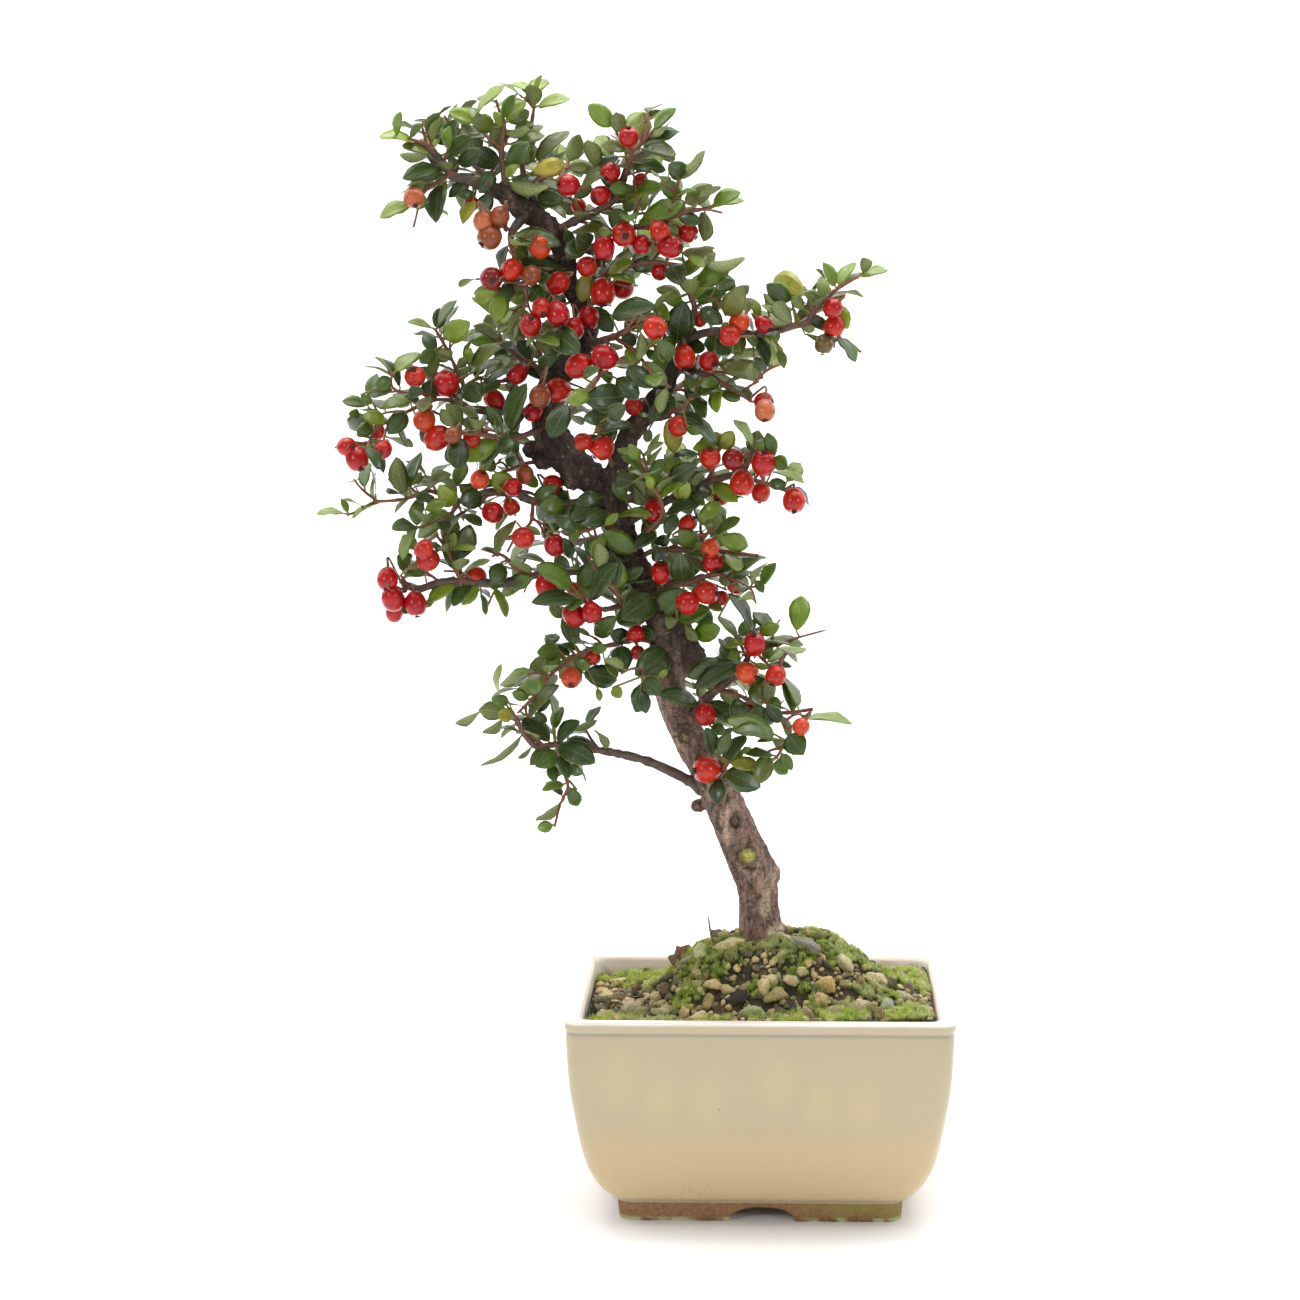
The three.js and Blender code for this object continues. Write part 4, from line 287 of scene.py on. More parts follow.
# Leaves that show between those, which the solids leave out, in the same form
MORE_LEAVES = """
-113 403 -9 -2.5 5D, -99 408 5 5 4L, -83 397 7 -5 3O, -73 400 7 5 5G, -79 388 5 -7 5D, -66 379 -11 0.5 8D,
-50 403 -9 1 6G, -57 389 -6 -1.5 4O, -31 399 -8 8 7G, -46 395 2 7 4O, -40 389 10 7 6G, -32 370 10 6 6L,
-28 378 6 -5 4L, -18 365 8 3 6G, -24 358 9 -7 7D, -20 361 5 -4 5O, -41 359 5 -6.5 6L, -33 344 -8 -1 6G,
-40 346 5 -8 7G, -29 343 7 -2 6D, -45 341 4 -4 4G, -57 350 8 -7 7D, -61 344 7 -2.5 3S, -66 358 8 -10 8D,
-76 359 -10 5 5D, -92 366 7 -6 8D, -89 371 7 -1 5D, -66 377 5 -4 4D, -52 375 10 -0.5 6D, -89 335 7 -7 8D,
-79 331 8 -3 6D, -70 330 7 4 4G, -64 331 6 -1 5G, -57 330 9 -8 8D, -60 315 7 5 7D, -38 319 7 -1.5 5G,
-104 305 7 -1 5D, -76 284 -11 -4 8G, -62 284 -11 -3 7D, -93 292 5 -5 5G, -101 298 5 -2 5G, -62 274 6 3 4L,
-49 262 -13 8 9G, -76 266 5 4 4G, -81 260 6 -4 5D, -54 255 8 1 5D, -43 265 7 1 5D, -33 285 5 5 6L,
-31 284.5 9 -4.5 5G, -46 292 3 -6 4L, -27 261 4 5 4G, -89 251 -11 -2 7G, -91 270 4 -2 3L, -17 324 9 -2 4G,
-26 325 5 0 4G, -29 311 5 -3 4G, -17 250 5 -2 4O, -84 240 6 -5 5O, -42 244 -13 -9 13D, -47 238 -10 -5 9D,
-57 236 -9 -8 8G, -50 226 -10 3 7D, -67 220 6 3 5G, -62 217 5 -6 4O, -48 206 2.5 -9.5 6D, -41 211 4 3 3L,
-47 232 5 -6 5D, -33 234 13 5 8G, -30 239 11 -6 8D, -21 241 6 -3 4O, -17 235 6 -7 3G, -9 228 7 6 6G,
-12 223 3 -5 4G, 1 219 4 4 4G, -2 217 5 -1.5 3L, -12 218 -17 -7 9D, -25 200 -8.5 -7.5 9D,
-20 191.5 6 -2.5 5G, 5 187 -16 3 6G, 0 197 4 -5 5D, 4 203 4 -3.5 4G, -5 208 5 -5 6G, -14 176 7 5 5L,
9 181 3.5 -7 5G, -82 182 -8 -7 8G, -84 176 2 -7 5D, -90 197 6 5 5D, -90 197 5 -4 4D, -100 202 -7 1 5G,
-92 202 -7 3 5G, -93 207 4 4 4G, -111 245 2 -9 3O, -128 341 -6 -5 6G, -129 331 1 8 5O, -139 324 7 2 5D,
-154 323 9 2.5 5G, -157 324 4 -4 4G, -158 316 -4.5 0 4G, -159 308 6 4 6G, -154 303 5 -8 5D,
-134 310 2.5 -7 4S, -123 303 1 -7 5D, -116 328 6 -7 8D, -113 329 4 -6 5G, -113 331 4 4 5D, -119 333 3 5 4S,
-116 336 2 6 4L, -137 288 3 5 4S, -133 278 9 3 5L, -132 283 4 -4 4O, -24 357 8 -6 6D, -34 370 3 -4 3L,
-13 370 1 -6.5 5G, -4 361 -2 -6 4O, -5 344 3 -2 4G, -3 338 5 -5.5 5D, 7 341 2 -7.5 4O, -25 325 5 -1 4G,
-17 325 9 -3.5 4S, 17 356.5 -5 5 5S, 1 363 5 -4.5 4S, 15 349 6 -0.5 4S, -8 300 5 -2 5D, -6 305 3 -2 4G,
-3 303 4 2 4G, 3 291 7 -3 5G"""

# Berries: x z radius, with a minus where a leaf half hides one. Letters after it give a colour that
# stands out, as in BERRY_KINDS, and the way the calyx is seen to point, as in CALYX_WAYS.
# These hang together, by the shoot that bears them:
BUNCHES = {
    "berries_tip": ("low_left", "-148 250.5 4.3d, -146 242.5 4.7C, -145.5 237 -3.5, -137 240.5 4.4"),
    "berries_whip": ("left_mid", "-159.5 298.5 4.6, -163.5 303 3.8"),
    "berries_left": ("left_mid", "-132.5 313.5 4.5O, -127.5 306.5 4.9, -121 302.5 -3"),
    "berries_centre": ("left_upper", "-90.2 350.7 4.4, -86 357.5 3.8, -79.5 355 4.6"),
    "berries_upper_left": ("left_upper", "-105.5 369 4.6Df, -97.5 372.5 4.2F, -90 370 4B"),
    "berries_stub": ("left_stub", "-108.5 391 4P, -102 393 4B, -106 385 4.9B"),
    "berries_crown": ("crown_right_low", "-53.5 386 4.9f, -61.3 380.8 4.3, -46.5 382 3.9r"),
    "berries_crown_right": ("crown_right_low", "-39.5 387 3.9, -35.5 381 4.4, -28.5 386.5 -4"),
    "berries_mid": ("crown_mid_right", "-61.8 363.5 5d, -54 365 -4.5, -68 373.5 4.1"),
    "berries_fork": ("limb_fork", "-30 338 4.4, -20.5 336.5 4"),
    "berries_inner": ("right_red", "-21.5 245 4.6Fr, -29 241 4.7, -15.5 243 -3"),
}
# These hang alone, borne by the nearest shoot:
BERRIES = """
-135.5 400.5 4.2P, -113 398 -3, -75 405 4.4, -58.5 410 3.9, -51.5 423.5 4u, -62.5 401 3.9, -71 397 -3,
-47 406.5 -3, -39.5 371.5 -3.4, -79.5 367 4.6, -41.5 349.5 4.6F, -50 353 -3, -71.5 334.7 -4.9,
-61.5 338 4.9, -95.7 331.5 4, -104.8 321.5 -4, -123.8 328 5.3, -136 330.5 4.2F, -114 306 -3.5,
-111 290 3.8O, -98 287 3.8, -98.5 279 -3.5, -106 277 4.3, -82 288 -4, -94 267 4.3, -81.5 264 -4.4,
-132 258 4.5, -113 251.5 -4.2, -85 247.5 4.5, -75 247 -2.5, -67 237 4, -74 236 -4.5, -39.5 253 4.2u,
-10 247.5 -3, -42 277.5 4.2, -29 272.5 -3.5, -19 257.5 4.3, -49 221 -3, -67 219 -3.5, -75.5 211 4.1O,
-2.5 224.5 4.4Cu, -5.5 213 4.4O, 6 212 4.2F, -22 196.3 4.4, -4.5 197 -3.5D, 16 191.5 3.5O, -21.5 174 5.3l,
13 281.7 4.6d, -20 298.5 4.3Fu, -7.5 288.5 4.9, 1 296.5 4.9u, -11 298 4.4D, 0 285 -3.8, -149 302 3.6,
-151 309 -2.8, -15.5 283 -3.3, 1 320.5 3.9r, -32.5 311 4.3, -50 319 -3.8, -8.5 351.5 4.2O, 1 351 3.4C,
-24 352.5 -2.8, 28 357 3.8, 28.5 350 4.2, 24.5 343 3.7N, -62.5 302.5 4.9F, -70 305 -3.5"""
# The solids leave these out, some of which lie close before the wood:
MORE_BERRIES = """
-67.6 353.6 4.5d, -73.3 349.3 4.1d, -79.7 325.3 4.8l, -86.8 322.8 4.4B, -89.5 316.8 3.8, -93 292 3.6B,
-121.3 307.5 3.2B, -133.5 262.3 3.6, -86.5 381 -4.3O, -20 262.8 3.6O, -12.5 346.5 4.2, 1.5 317.2 4.1P,
-49.5 228.5 3.6, -74.8 366 -3.8O"""

# Small helpers


def linear(code):
    """An sRGB hex colour as Blender's linear numbers."""
    parts = [int(code[i:i + 2], 16) / 255 for i in (1, 3, 5)]
    return tuple(p / 12.92 if p <= 0.04045 else ((p + 0.055) / 1.055) ** 2.4 for p in parts) + (1.0,)


def draws(seed):
    """Seeded draws from 0 to 1, the same as in the part's source."""
    state = seed * 7919 + 12345

    def draw():
        nonlocal state
        state = state * 16807 % 2147483647
        return state / 2147483647

    return draw


def mix(a, b, share):
    """A number on the way from a to b."""
    return a + (b - a) * share


def blend(a, b, share):
    """A colour on the way from a to b."""
    return tuple(mix(p, q, share) for p, q in zip(a, b))


def clamp(value, low=0.0, high=1.0):
    return max(low, min(high, value))


def seen(x, z, depth):
    """The point at a depth that is seen, from the front, at x z in the plane of the trunk."""
    reach = (depth - EYE.y) / -EYE.y
    return Vector((EYE.x + (x - EYE.x) * reach, depth, EYE.z + (z - EYE.z) * reach))


def flat(point):
    """Where a point is seen in the plane of the trunk."""
    reach = -EYE.y / (point.y - EYE.y)
    return EYE.x + (point.x - EYE.x) * reach, EYE.z + (point.z - EYE.z) * reach


pot_low, pot_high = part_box("pot")
pot_middle = (pot_low + pot_high) / 2
TO_FRAME = Matrix.Translation((pot_middle.x, pot_middle.y, pot_low.z)) @ Matrix.Scale(0.001, 4)
FROM_FRAME = TO_FRAME.inverted()


def new_form():
    """An empty bmesh with the layers that the materials read."""
    form = bmesh.new()
    form.verts.layers.float_color.new("tone")
    form.loops.layers.uv.new("blade")
    return form


def as_mesh(form, name):
    """Makes a form a mesh, and frees the form."""
    mesh = bpy.data.meshes.new(name)
    form.to_mesh(mesh)
    form.free()
    return mesh


def finish_piece(name, form, materials, slot, replaced=()):
    """Puts a form, in millimetres, into the frame as a piece of the object, in place of the solids that it
    replaces. Without a slot it is no part of the object."""
    bmesh.ops.transform(form, matrix=TO_FRAME, verts=form.verts)
    for face in form.faces:
        face.smooth = True
    mesh = as_mesh(form, name)
    for material in materials:
        mesh.materials.append(material)
    piece = bpy.data.objects.new(name, mesh)
    bpy.context.scene.collection.objects.link(piece)
    if slot is None:
        return piece
    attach(piece, "root")
    if replaced:
        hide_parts(*replaced)
    return piece


def faces_round(verts):
    """The faces that meet at any of these vertices."""
    return {face for vert in verts for face in vert.link_faces}


def stamp(form, pattern, material_shift=0):
    """Adds a copy of a pattern mesh to a form, and returns its new vertices."""
    verts_before = len(form.verts)
    faces_before = len(form.faces)
    form.from_mesh(pattern)
    form.verts.ensure_lookup_table()
    form.faces.ensure_lookup_table()
    for face in form.faces[faces_before:]:
        face.material_index += material_shift
    return form.verts[verts_before:]


def paint(form, verts, tone):
    """Gives vertices their colour: one for all, or worked out from the place."""
    layer = form.verts.layers.float_color["tone"]
    for vert in verts:
        vert[layer] = tone(vert.co) if callable(tone) else tone


def smooth_path(points, radii, step):
    """Points and radii along a smooth curve through the given ones, about a step apart."""
    path, sizes = [], []
    last = len(points) - 1
    for i in range(last):
        a, b, c, d = (points[min(max(k, 0), last)] for k in (i - 1, i, i + 1, i + 2))
        count = max(1, round((c - b).length / step))
        for k in range(count):
            t = k / count
            path.append(0.5 * (2 * b + (c - a) * t + (2 * a - 5 * b + 4 * c - d) * t ** 2
                               + (3 * b - 3 * c + d - a) * t ** 3))
            sizes.append(mix(radii[i], radii[i + 1], t))
    return path + [points[-1]], sizes + [radii[-1]]


def add_stems(form, stems, rounding, material, tone):
    """Adds round stems, each a path of points with its radii, as one bevelled curve made a mesh. Rounding 0
    gives four sides, and each step two more."""
    curve = bpy.data.curves.new("stems", "CURVE")
    curve.dimensions = "3D"
    curve.bevel_depth = 1
    curve.bevel_resolution = rounding
    curve.use_fill_caps = True
    for points, radii in stems:
        spline = curve.splines.new("POLY")
        spline.points.add(len(points) - 1)
        for place, point, radius in zip(spline.points, points, radii):
            place.co = (*point, 1)
            place.radius = radius
    holder = bpy.data.objects.new("stems", curve)
    mesh = bpy.data.meshes.new_from_object(holder)
    paint(form, stamp(form, mesh, material), tone)
    bpy.data.objects.remove(holder)
    bpy.data.curves.remove(curve)
    bpy.data.meshes.remove(mesh)


def start_ring(form, places):
    """A ring of vertices at these places, without a face."""
    ring = bmesh.ops.create_circle(form, segments=len(places), radius=1)["verts"]
    for vert, place in zip(ring, places):
        vert.co = place
    return ring


def draw_out(form, ring, places, material=0):
    """Draws a ring out to new places, as one more row of faces, and returns the new ring."""
    order = {vert: k for k, vert in enumerate(ring)}
    edges = [form.edges.get((ring[k - 1], ring[k])) for k in range(len(ring))]
    drawn = bmesh.ops.extrude_edge_only(form, edges=edges)["geom"]
    new_ring = [None] * len(ring)
    for vert in (item for item in drawn if isinstance(item, bmesh.types.BMVert)):
        k = next(order[edge.other_vert(vert)] for edge in vert.link_edges if edge.other_vert(vert) in order)
        vert.co = places[k]
        new_ring[k] = vert
    for face in (item for item in drawn if isinstance(item, bmesh.types.BMFace)):
        face.material_index = material
    return new_ring


# Materials. Patterns lie on Object coordinates, in metres, so a pattern's scale is one over its real size.


def add_node(tree, kind, inputs=(), **settings):
    """Adds one node with its settings. Its inputs, in order or by name, are set or linked to a socket, or to
    another node's first output."""
    made = tree.nodes.new("ShaderNode" + kind)
    for key, value in settings.items():
        setattr(made, key, value)
    for key, value in inputs.items() if isinstance(inputs, dict) else enumerate(inputs):
        if isinstance(value, bpy.types.Node):
            value = value.outputs[0]
        if isinstance(value, bpy.types.NodeSocket):
            tree.links.new(value, made.inputs[key])
        else:
            made.inputs[key].default_value = value
    return made


def start_material(name, roughness, **sockets):
    """A material with its shader's plain numbers set, the way to add a node to it, and the place on the
    object."""
    material = bpy.data.materials.new(name)
    material.use_nodes = True
    shader = material.node_tree.nodes["Principled BSDF"]
    shader.inputs["Roughness"].default_value = roughness
    for key, value in sockets.items():
        shader.inputs[key.replace("_", " ")].default_value = value
    add = partial(add_node, material.node_tree)
    return material, add, add("TexCoord").outputs["Object"]


def dress(material, add, colour, height=None, depth=0, strength=0):
    """Gives a material its colour and, where it has one, a relief of a real depth in millimetres."""
    tree = material.node_tree
    shader = tree.nodes["Principled BSDF"]
    tree.links.new(colour.outputs[0], shader.inputs["Base Color"])
    if height:
        relief = add("Bump", {"Height": height, "Distance": depth / 1000, "Strength": strength})
        tree.links.new(relief.outputs["Normal"], shader.inputs["Normal"])
    return material


def per_mm(size):
    """The scale of a pattern whose grain is this many millimetres."""
    return 1000 / size


# The round patches where the glaze on the front has stayed yellower: x and z, as seen
GLAZE_PATCHES = [(-55, 63), (-38, 54), (-20.5, 53), (7, 61), (23.5, 52.5), (40.5, 51.5)]
PATCH_RADIUS = 0.009


def cream_glaze():
    """Stoneware glaze, dipped and fired glossy: greyish cream above, tan where it lies thicker below, the two
    partly painted reflection, with soft yellower patches, iron specks, faint crazing towards the foot, worn
    to white clay along the lip, and with painted light on its inner walls."""
    material, add, place = start_material("cream_glaze", 0.28, IOR=1.45, Coat_Weight=0.1, Coat_Roughness=0.12)
    parts = add("SeparateXYZ", (place,)).outputs
    height = parts["Z"]
    # The upper dip ends 37 mm up, in a broad soft edge with a faint sharp one in it. The greyer cream above
    # it and the lighter tan towards the foot are partly painted reflection, of the dim room and the bright
    # floor.
    soft = add("MapRange", (height, 0.031, 0.046, 0, 0.75))
    sharp = add("MapRange", (height, 0.0362, 0.0378, 0, 0.25))
    colour = add("MixRGB", (add("Math", (soft, sharp)), linear("#c4ae86"), linear("#b9ab8c")))
    # Lighter towards the foot, partly painted reflection of the bright floor
    colour = add("MixRGB", (add("MapRange", (height, 0.02, 0.006)), colour, linear("#cdb78d")))
    front = add("MapRange", (parts["Y"], pot_middle.y - 0.03, pot_middle.y - 0.045))
    for x, z in GLAZE_PATCHES:
        centre = TO_FRAME @ Vector((x, -POT_DEPTH / 2 + 2, z))
        off = add("VectorMath", (place, centre), operation="SUBTRACT")
        off = add("VectorMath", (off, (1, 1, 0.6)), operation="MULTIPLY")
        off = add("VectorMath", (off,), operation="LENGTH").outputs["Value"]
        patch = add("MapRange", (off, PATCH_RADIUS, 0, 0, 0.8))
        patch = add("Math", (patch, front), operation="MULTIPLY")
        colour = add("MixRGB", (patch, colour, linear("#c6b488")))
    grain = add("TexNoise", {"Vector": place, "Scale": per_mm(0.7), "Detail": 1})
    colour = add("MixRGB", (add("MapRange", (grain, 0.5, 0.75, 0, 0.25)), colour, linear("#d0c4a6")))
    # Iron specks, drawn a little coarser than the real ones, in some of the cells of a net 7 mm wide
    cells = add("TexVoronoi", {"Vector": place, "Scale": per_mm(7)}).outputs
    chosen = add("MapRange", (add("SeparateColor", (cells["Color"],)), 0.6, 0.62))
    speck = add("MapRange", (cells["Distance"], 0.06, 0.04, 0, 0.8))
    speck = add("Math", (speck, chosen), operation="MULTIPLY")
    colour = add("MixRGB", (speck, colour, linear("#6b4a2c")))
    # Crazing, its net bent by a noise so that no line is straight
    bend = add("TexNoise", {"Vector": place, "Scale": per_mm(9), "Detail": 2}).outputs["Color"]
    bend = add("VectorMath", {0: bend, "Scale": 0.006}, operation="SCALE")
    bent = add("VectorMath", (place, bend))
    net = add("TexVoronoi", {"Vector": bent, "Scale": per_mm(14)}, feature="DISTANCE_TO_EDGE")
    crack = add("MapRange", (net, 0.01, 0.003, 0, 0.3))
    crack = add("Math", (crack, add("MapRange", (height, 0.022, 0.012))), operation="MULTIPLY")
    colour = add("MixRGB", (crack, colour, linear("#9a6a3c")))
    # Red: the lip's white wear and the painted light on the inner walls; green: rust; blue: the grey band
    worn = add("SeparateColor", (add("Attribute", attribute_name="tone"),)).outputs
    for part, code in (("Red", "#ebe2d8"), ("Green", "#a8622f"), ("Blue", "#8f8d84")):
        colour = add("MixRGB", (worn[part], colour, linear(code)))
    waves = add("TexNoise", {"Vector": place, "Scale": per_mm(10), "Detail": 1})
    return dress(material, add, colour, waves, 0.25, 0.25)


def bare_clay():
    """The foot, fired without glaze: matt brown stoneware, green with algae on the right, and a crust of
    lime where water dries along the bottom edge."""
    material, add, place = start_material("bare_clay", 0.8)
    parts = add("SeparateXYZ", (place,)).outputs
    grain = add("TexNoise", {"Vector": place, "Scale": per_mm(1.1), "Detail": 4})
    blots = add("TexNoise", {"Vector": place, "Scale": per_mm(6), "Detail": 3})
    colour = add("MixRGB", (add("MapRange", (grain, 0.3, 0.7)), linear("#7b5838"), linear("#9c7852")))
    right = add("MapRange", (parts["X"], pot_middle.x + 0.012, pot_middle.x + 0.032, 0, 0.75))
    algae = add("Math", (right, add("MapRange", (blots, 0.38, 0.6))), operation="MULTIPLY")
    colour = add("MixRGB", (algae, colour, linear("#8a8a3f")))
    low = add("MapRange", (parts["Z"], 0.0022, 0.0003))
    lime = add("Math", (low, add("MapRange", (blots, 0.4, 0.55))), operation="MULTIPLY")
    colour = add("MixRGB", (lime, colour, linear("#d8dcae")))
    return dress(material, add, colour, grain, 0.25, 0.5)


# The near black of painted shade in the bark's grooves and cracks
CRACK_SHADE = linear("#1d1511")


def trunk_bark():
    """Old cotoneaster bark: grey-brown with a fine upright grain, cracks that run round it and pale flecks,
    turning dark, rough and flaky above the first boughs, with painted shade darkening its grooves and cracks."""
    material, add, place = start_material("trunk_bark", 0.85)
    tone = add("Attribute", attribute_name="tone")
    upright = add("Mapping", {"Vector": place, "Scale": (1, 1, 0.3)})
    level = add("Mapping", {"Vector": place, "Scale": (0.55, 0.55, 1.5)})
    fibre = add("TexNoise", {"Vector": upright, "Scale": per_mm(1.6), "Detail": 5})
    mottle = add("TexNoise", {"Vector": place, "Scale": per_mm(2.2), "Detail": 8, "Roughness": 0.75})
    grain = add("Math", (add("Math", (fibre, mottle)), 0.5), operation="MULTIPLY")
    patches = add("TexNoise", {"Vector": upright, "Scale": per_mm(5), "Detail": 3})
    bright = add("MapRange", (patches, 0.35, 0.65, 0.6, 1.4))
    bright = add("Math", (add("MapRange", (grain, 0.36, 0.64, 0.45, 1.5)), bright), operation="MULTIPLY")
    colour = add("VectorMath", {0: tone, "Scale": bright}, operation="SCALE")
    # Painted shade in the low grooves of the grain
    colour = add("MixRGB", (add("MapRange", (grain, 0.43, 0.37, 0, 0.6)), colour, CRACK_SHADE))
    # The cracks lie where a noise passes through its middle value, and are darkened with painted shade
    rings = add("TexNoise", {"Vector": level, "Scale": per_mm(3.5), "Detail": 4})
    rings = add("Math", (add("Math", (rings, 0.5), operation="SUBTRACT"),), operation="ABSOLUTE")
    colour = add("MixRGB", (add("MapRange", (rings, 0.02, 0.004, 0, 0.6)), colour, CRACK_SHADE))
    flecks = add("TexNoise", {"Vector": place, "Scale": per_mm(1.7), "Detail": 5})
    flecks = add("MapRange", (flecks, 0.57, 0.66, 0, 0.6))
    on_pale = add("MapRange", (add("SeparateColor", (tone,)), 0, 0.16))
    flecks = add("Math", (flecks, on_pale), operation="MULTIPLY")
    colour = add("MixRGB", (flecks, colour, add("MixRGB", (0.5, linear("#aa998c"), tone))))
    sunk = add("MapRange", (rings, 0.02, 0.004, 0, 0.25))
    height = add("Math", (grain, sunk), operation="SUBTRACT")
    return dress(material, add, colour, height, 1.4, 0.8)


def leaf_upper():
    """The upper side of a leaf: waxy, dark and glossy, with a sunk pale rib, fine side veins and a thin
    cream margin of hairs."""
    material, add, place = start_material("leaf_upper", 0.42, Coat_Weight=0.3, Coat_Roughness=0.16,
                                          Subsurface_Weight=0.12, Subsurface_Radius=(0.4, 1, 0.15),
                                          Subsurface_Scale=0.001)
    across, rib, vein = leaf_lines(add)
    mottle = add("TexNoise", {"Vector": place, "Scale": per_mm(3.5), "Detail": 3})
    bright = add("MapRange", (mottle, 0.3, 0.7, 0.8, 1.22))
    tone = add("Attribute", attribute_name="tone")
    colour = add("VectorMath", {0: tone, "Scale": bright}, operation="SCALE")
    colour = add("MixRGB", (add("Math", (vein, 0.12), operation="MULTIPLY"), colour, linear("#86934a")))
    colour = add("MixRGB", (add("Math", (rib, 0.28), operation="MULTIPLY"), colour, linear("#8b9845")))
    colour = add("MixRGB", (add("MapRange", (across, 0.462, 0.49, 0, 0.5)), colour, linear("#b0a866")))
    sunk = add("Math", (add("Math", (vein, 0.5), operation="MULTIPLY"), rib), operation="MAXIMUM")
    height = add("Math", (mottle, sunk), operation="SUBTRACT")
    return dress(material, add, colour, height, 0.35, 0.4)


def leaf_lines(add):
    """How far a place on a blade is from its rib, and its rib and its seven side veins, from 0 to 1."""
    blade = add("SeparateXYZ", (add("UVMap", uv_map="blade"),)).outputs
    across = add("Math", (add("Math", (blade["X"], 0.5), operation="SUBTRACT"),), operation="ABSOLUTE")
    slant = add("Math", (across, 0.55), operation="MULTIPLY")
    slant = add("Math", (blade["Y"], slant), operation="SUBTRACT")
    wave = add("Math", (add("Math", (slant, 7), operation="MULTIPLY"),), operation="FRACT")
    near = add("Math", (add("Math", (wave, 0.5), operation="SUBTRACT"),), operation="ABSOLUTE")
    return across, add("MapRange", (across, 0.03, 0.008)), add("MapRange", (near, 0.09, 0.03))


def leaf_underside():
    """The underside of a leaf: matt, pale grey-green with fine hairs, its rib and veins standing out."""
    material, add, place = start_material("leaf_underside", 0.65)
    across, rib, vein = leaf_lines(add)
    down = add("TexNoise", {"Vector": place, "Scale": per_mm(0.8), "Detail": 2})
    colour = add("MixRGB", (0.65, add("Attribute", attribute_name="tone"), linear("#7a8446")))
    colour = add("MixRGB", (add("MapRange", (down, 0.4, 0.7, 0, 0.3)), colour, linear("#a3ab80")))
    lines = add("Math", (rib, add("Math", (vein, 0.6), operation="MULTIPLY")), operation="MAXIMUM")
    colour = add("MixRGB", (add("Math", (lines, 0.5), operation="MULTIPLY"), colour, linear("#b4bb8e")))
    return dress(material, add, colour, lines, 0.25, 0.6)


def berry_skin():
    """The skin of a ripe berry: smooth and waxy, red going to orange in blushes, with tiny pale pores."""
    material, add, place = start_material("berry_skin", 0.28, IOR=1.4, Coat_Weight=0.2, Coat_Roughness=0.07,
                                          Subsurface_Weight=0.08, Subsurface_Radius=(1, 0.25, 0.15),
                                          Subsurface_Scale=0.0015)
    blush = add("TexNoise", {"Vector": place, "Scale": per_mm(4), "Detail": 3})
    bright = add("MapRange", (blush, 0.3, 0.7, 0.72, 1.2))
    tone = add("Attribute", attribute_name="tone")
    colour = add("VectorMath", {0: tone, "Scale": bright}, operation="SCALE")
    pores = add("TexVoronoi", {"Vector": place, "Scale": per_mm(1.1)})
    colour = add("MixRGB", (add("MapRange", (pores, 0.12, 0.06, 0, 0.25)), colour, linear("#e0804a")))
    return dress(material, add, colour, blush, 0.2, 0.2)


def natural(name, roughness, grain_size, spread, depth):
    """A matt natural surface whose colour is given at each vertex, with a grain of a real size that makes
    it lighter and darker by spread."""
    material, add, place = start_material(name, roughness)
    tone = add("Attribute", attribute_name="tone")
    grain = add("TexNoise", {"Vector": place, "Scale": per_mm(grain_size), "Detail": 4})
    bright = add("MapRange", (grain, 0.3, 0.7, 1 - spread, 1 + spread))
    colour = add("VectorMath", {0: tone, "Scale": bright}, operation="SCALE")
    return dress(material, add, colour, grain, depth, 0.7)


def twig_bark():
    """Young bark: thin, smooth and faintly streaked, which gives it a dull sheen."""
    return natural("twig_bark", 0.6, 0.9, 0.35, 0.25)


def dry_calyx():
    """Dried sepals: brown, thin and crumpled, without gloss."""
    return natural("dry_calyx", 0.8, 0.5, 0.4, 0.2)


def mineral_grit():
    """Pumice, lava and fired clay, sieved: rough and porous, wholly matt."""
    return natural("mineral_grit", 0.92, 0.8, 0.3, 0.35)


def bark_chips():
    """Broken pine bark: fibrous and ridged, dark in its grooves."""
    return natural("bark_chips", 0.9, 1.0, 0.45, 0.5)


def damp_moss():
    """Living moss: soft small leaves, a little moist."""
    return natural("moss", 0.75, 0.8, 0.25, 0.1)


def drain_net():
    """Black moulded polyethylene net, dusty with soil."""
    material, add, place = start_material("drain_net", 0.6)
    dust = add("TexNoise", {"Vector": place, "Scale": per_mm(2), "Detail": 3})
    colour = add("MixRGB", (add("MapRange", (dust, 0.45, 0.75)), linear("#1c1d1b"), linear("#5a4e3e")))
    return dress(material, add, colour, dust, 0.15, 0.4)


def white_card():
    """A sheet of matt white card, the plain ground of the picture."""
    material, add, place = start_material("white_card", 0.9)
    fibre = add("TexNoise", {"Vector": place, "Scale": per_mm(250), "Detail": 2})
    return dress(material, add, add("MixRGB", (fibre, linear("#f4f4f5"), linear("#f9f9fa"))))


GLAZE = cream_glaze()
CLAY = bare_clay()
BARK = trunk_bark()
GRIT = mineral_grit()
CHIPS = bark_chips()
MOSS = damp_moss()
NET = drain_net()
# The materials of a shoot or bunch, and their numbers on its faces
PLANT_MATERIALS = [twig_bark(), leaf_upper(), leaf_underside(), berry_skin(), dry_calyx()]
TWIG, UPPER, UNDERSIDE, SKIN, DRY = range(5)

# The tree, as in the part's source


def off_wood(point):
    """How far a point stands off from the surface of the wood."""
    nearest = math.inf
    for rows in (TRUNK, RIGHT_LIMB):
        for a, b in zip(rows, rows[1:]):
            start, end = seen(a[0], a[1], a[3]), seen(b[0], b[1], b[3])
            line = end - start
            t = clamp((point - start).dot(line) / line.length_squared)
            nearest = min(nearest, (start + line * t - point).length - mix(a[2], b[2], t))
    return nearest


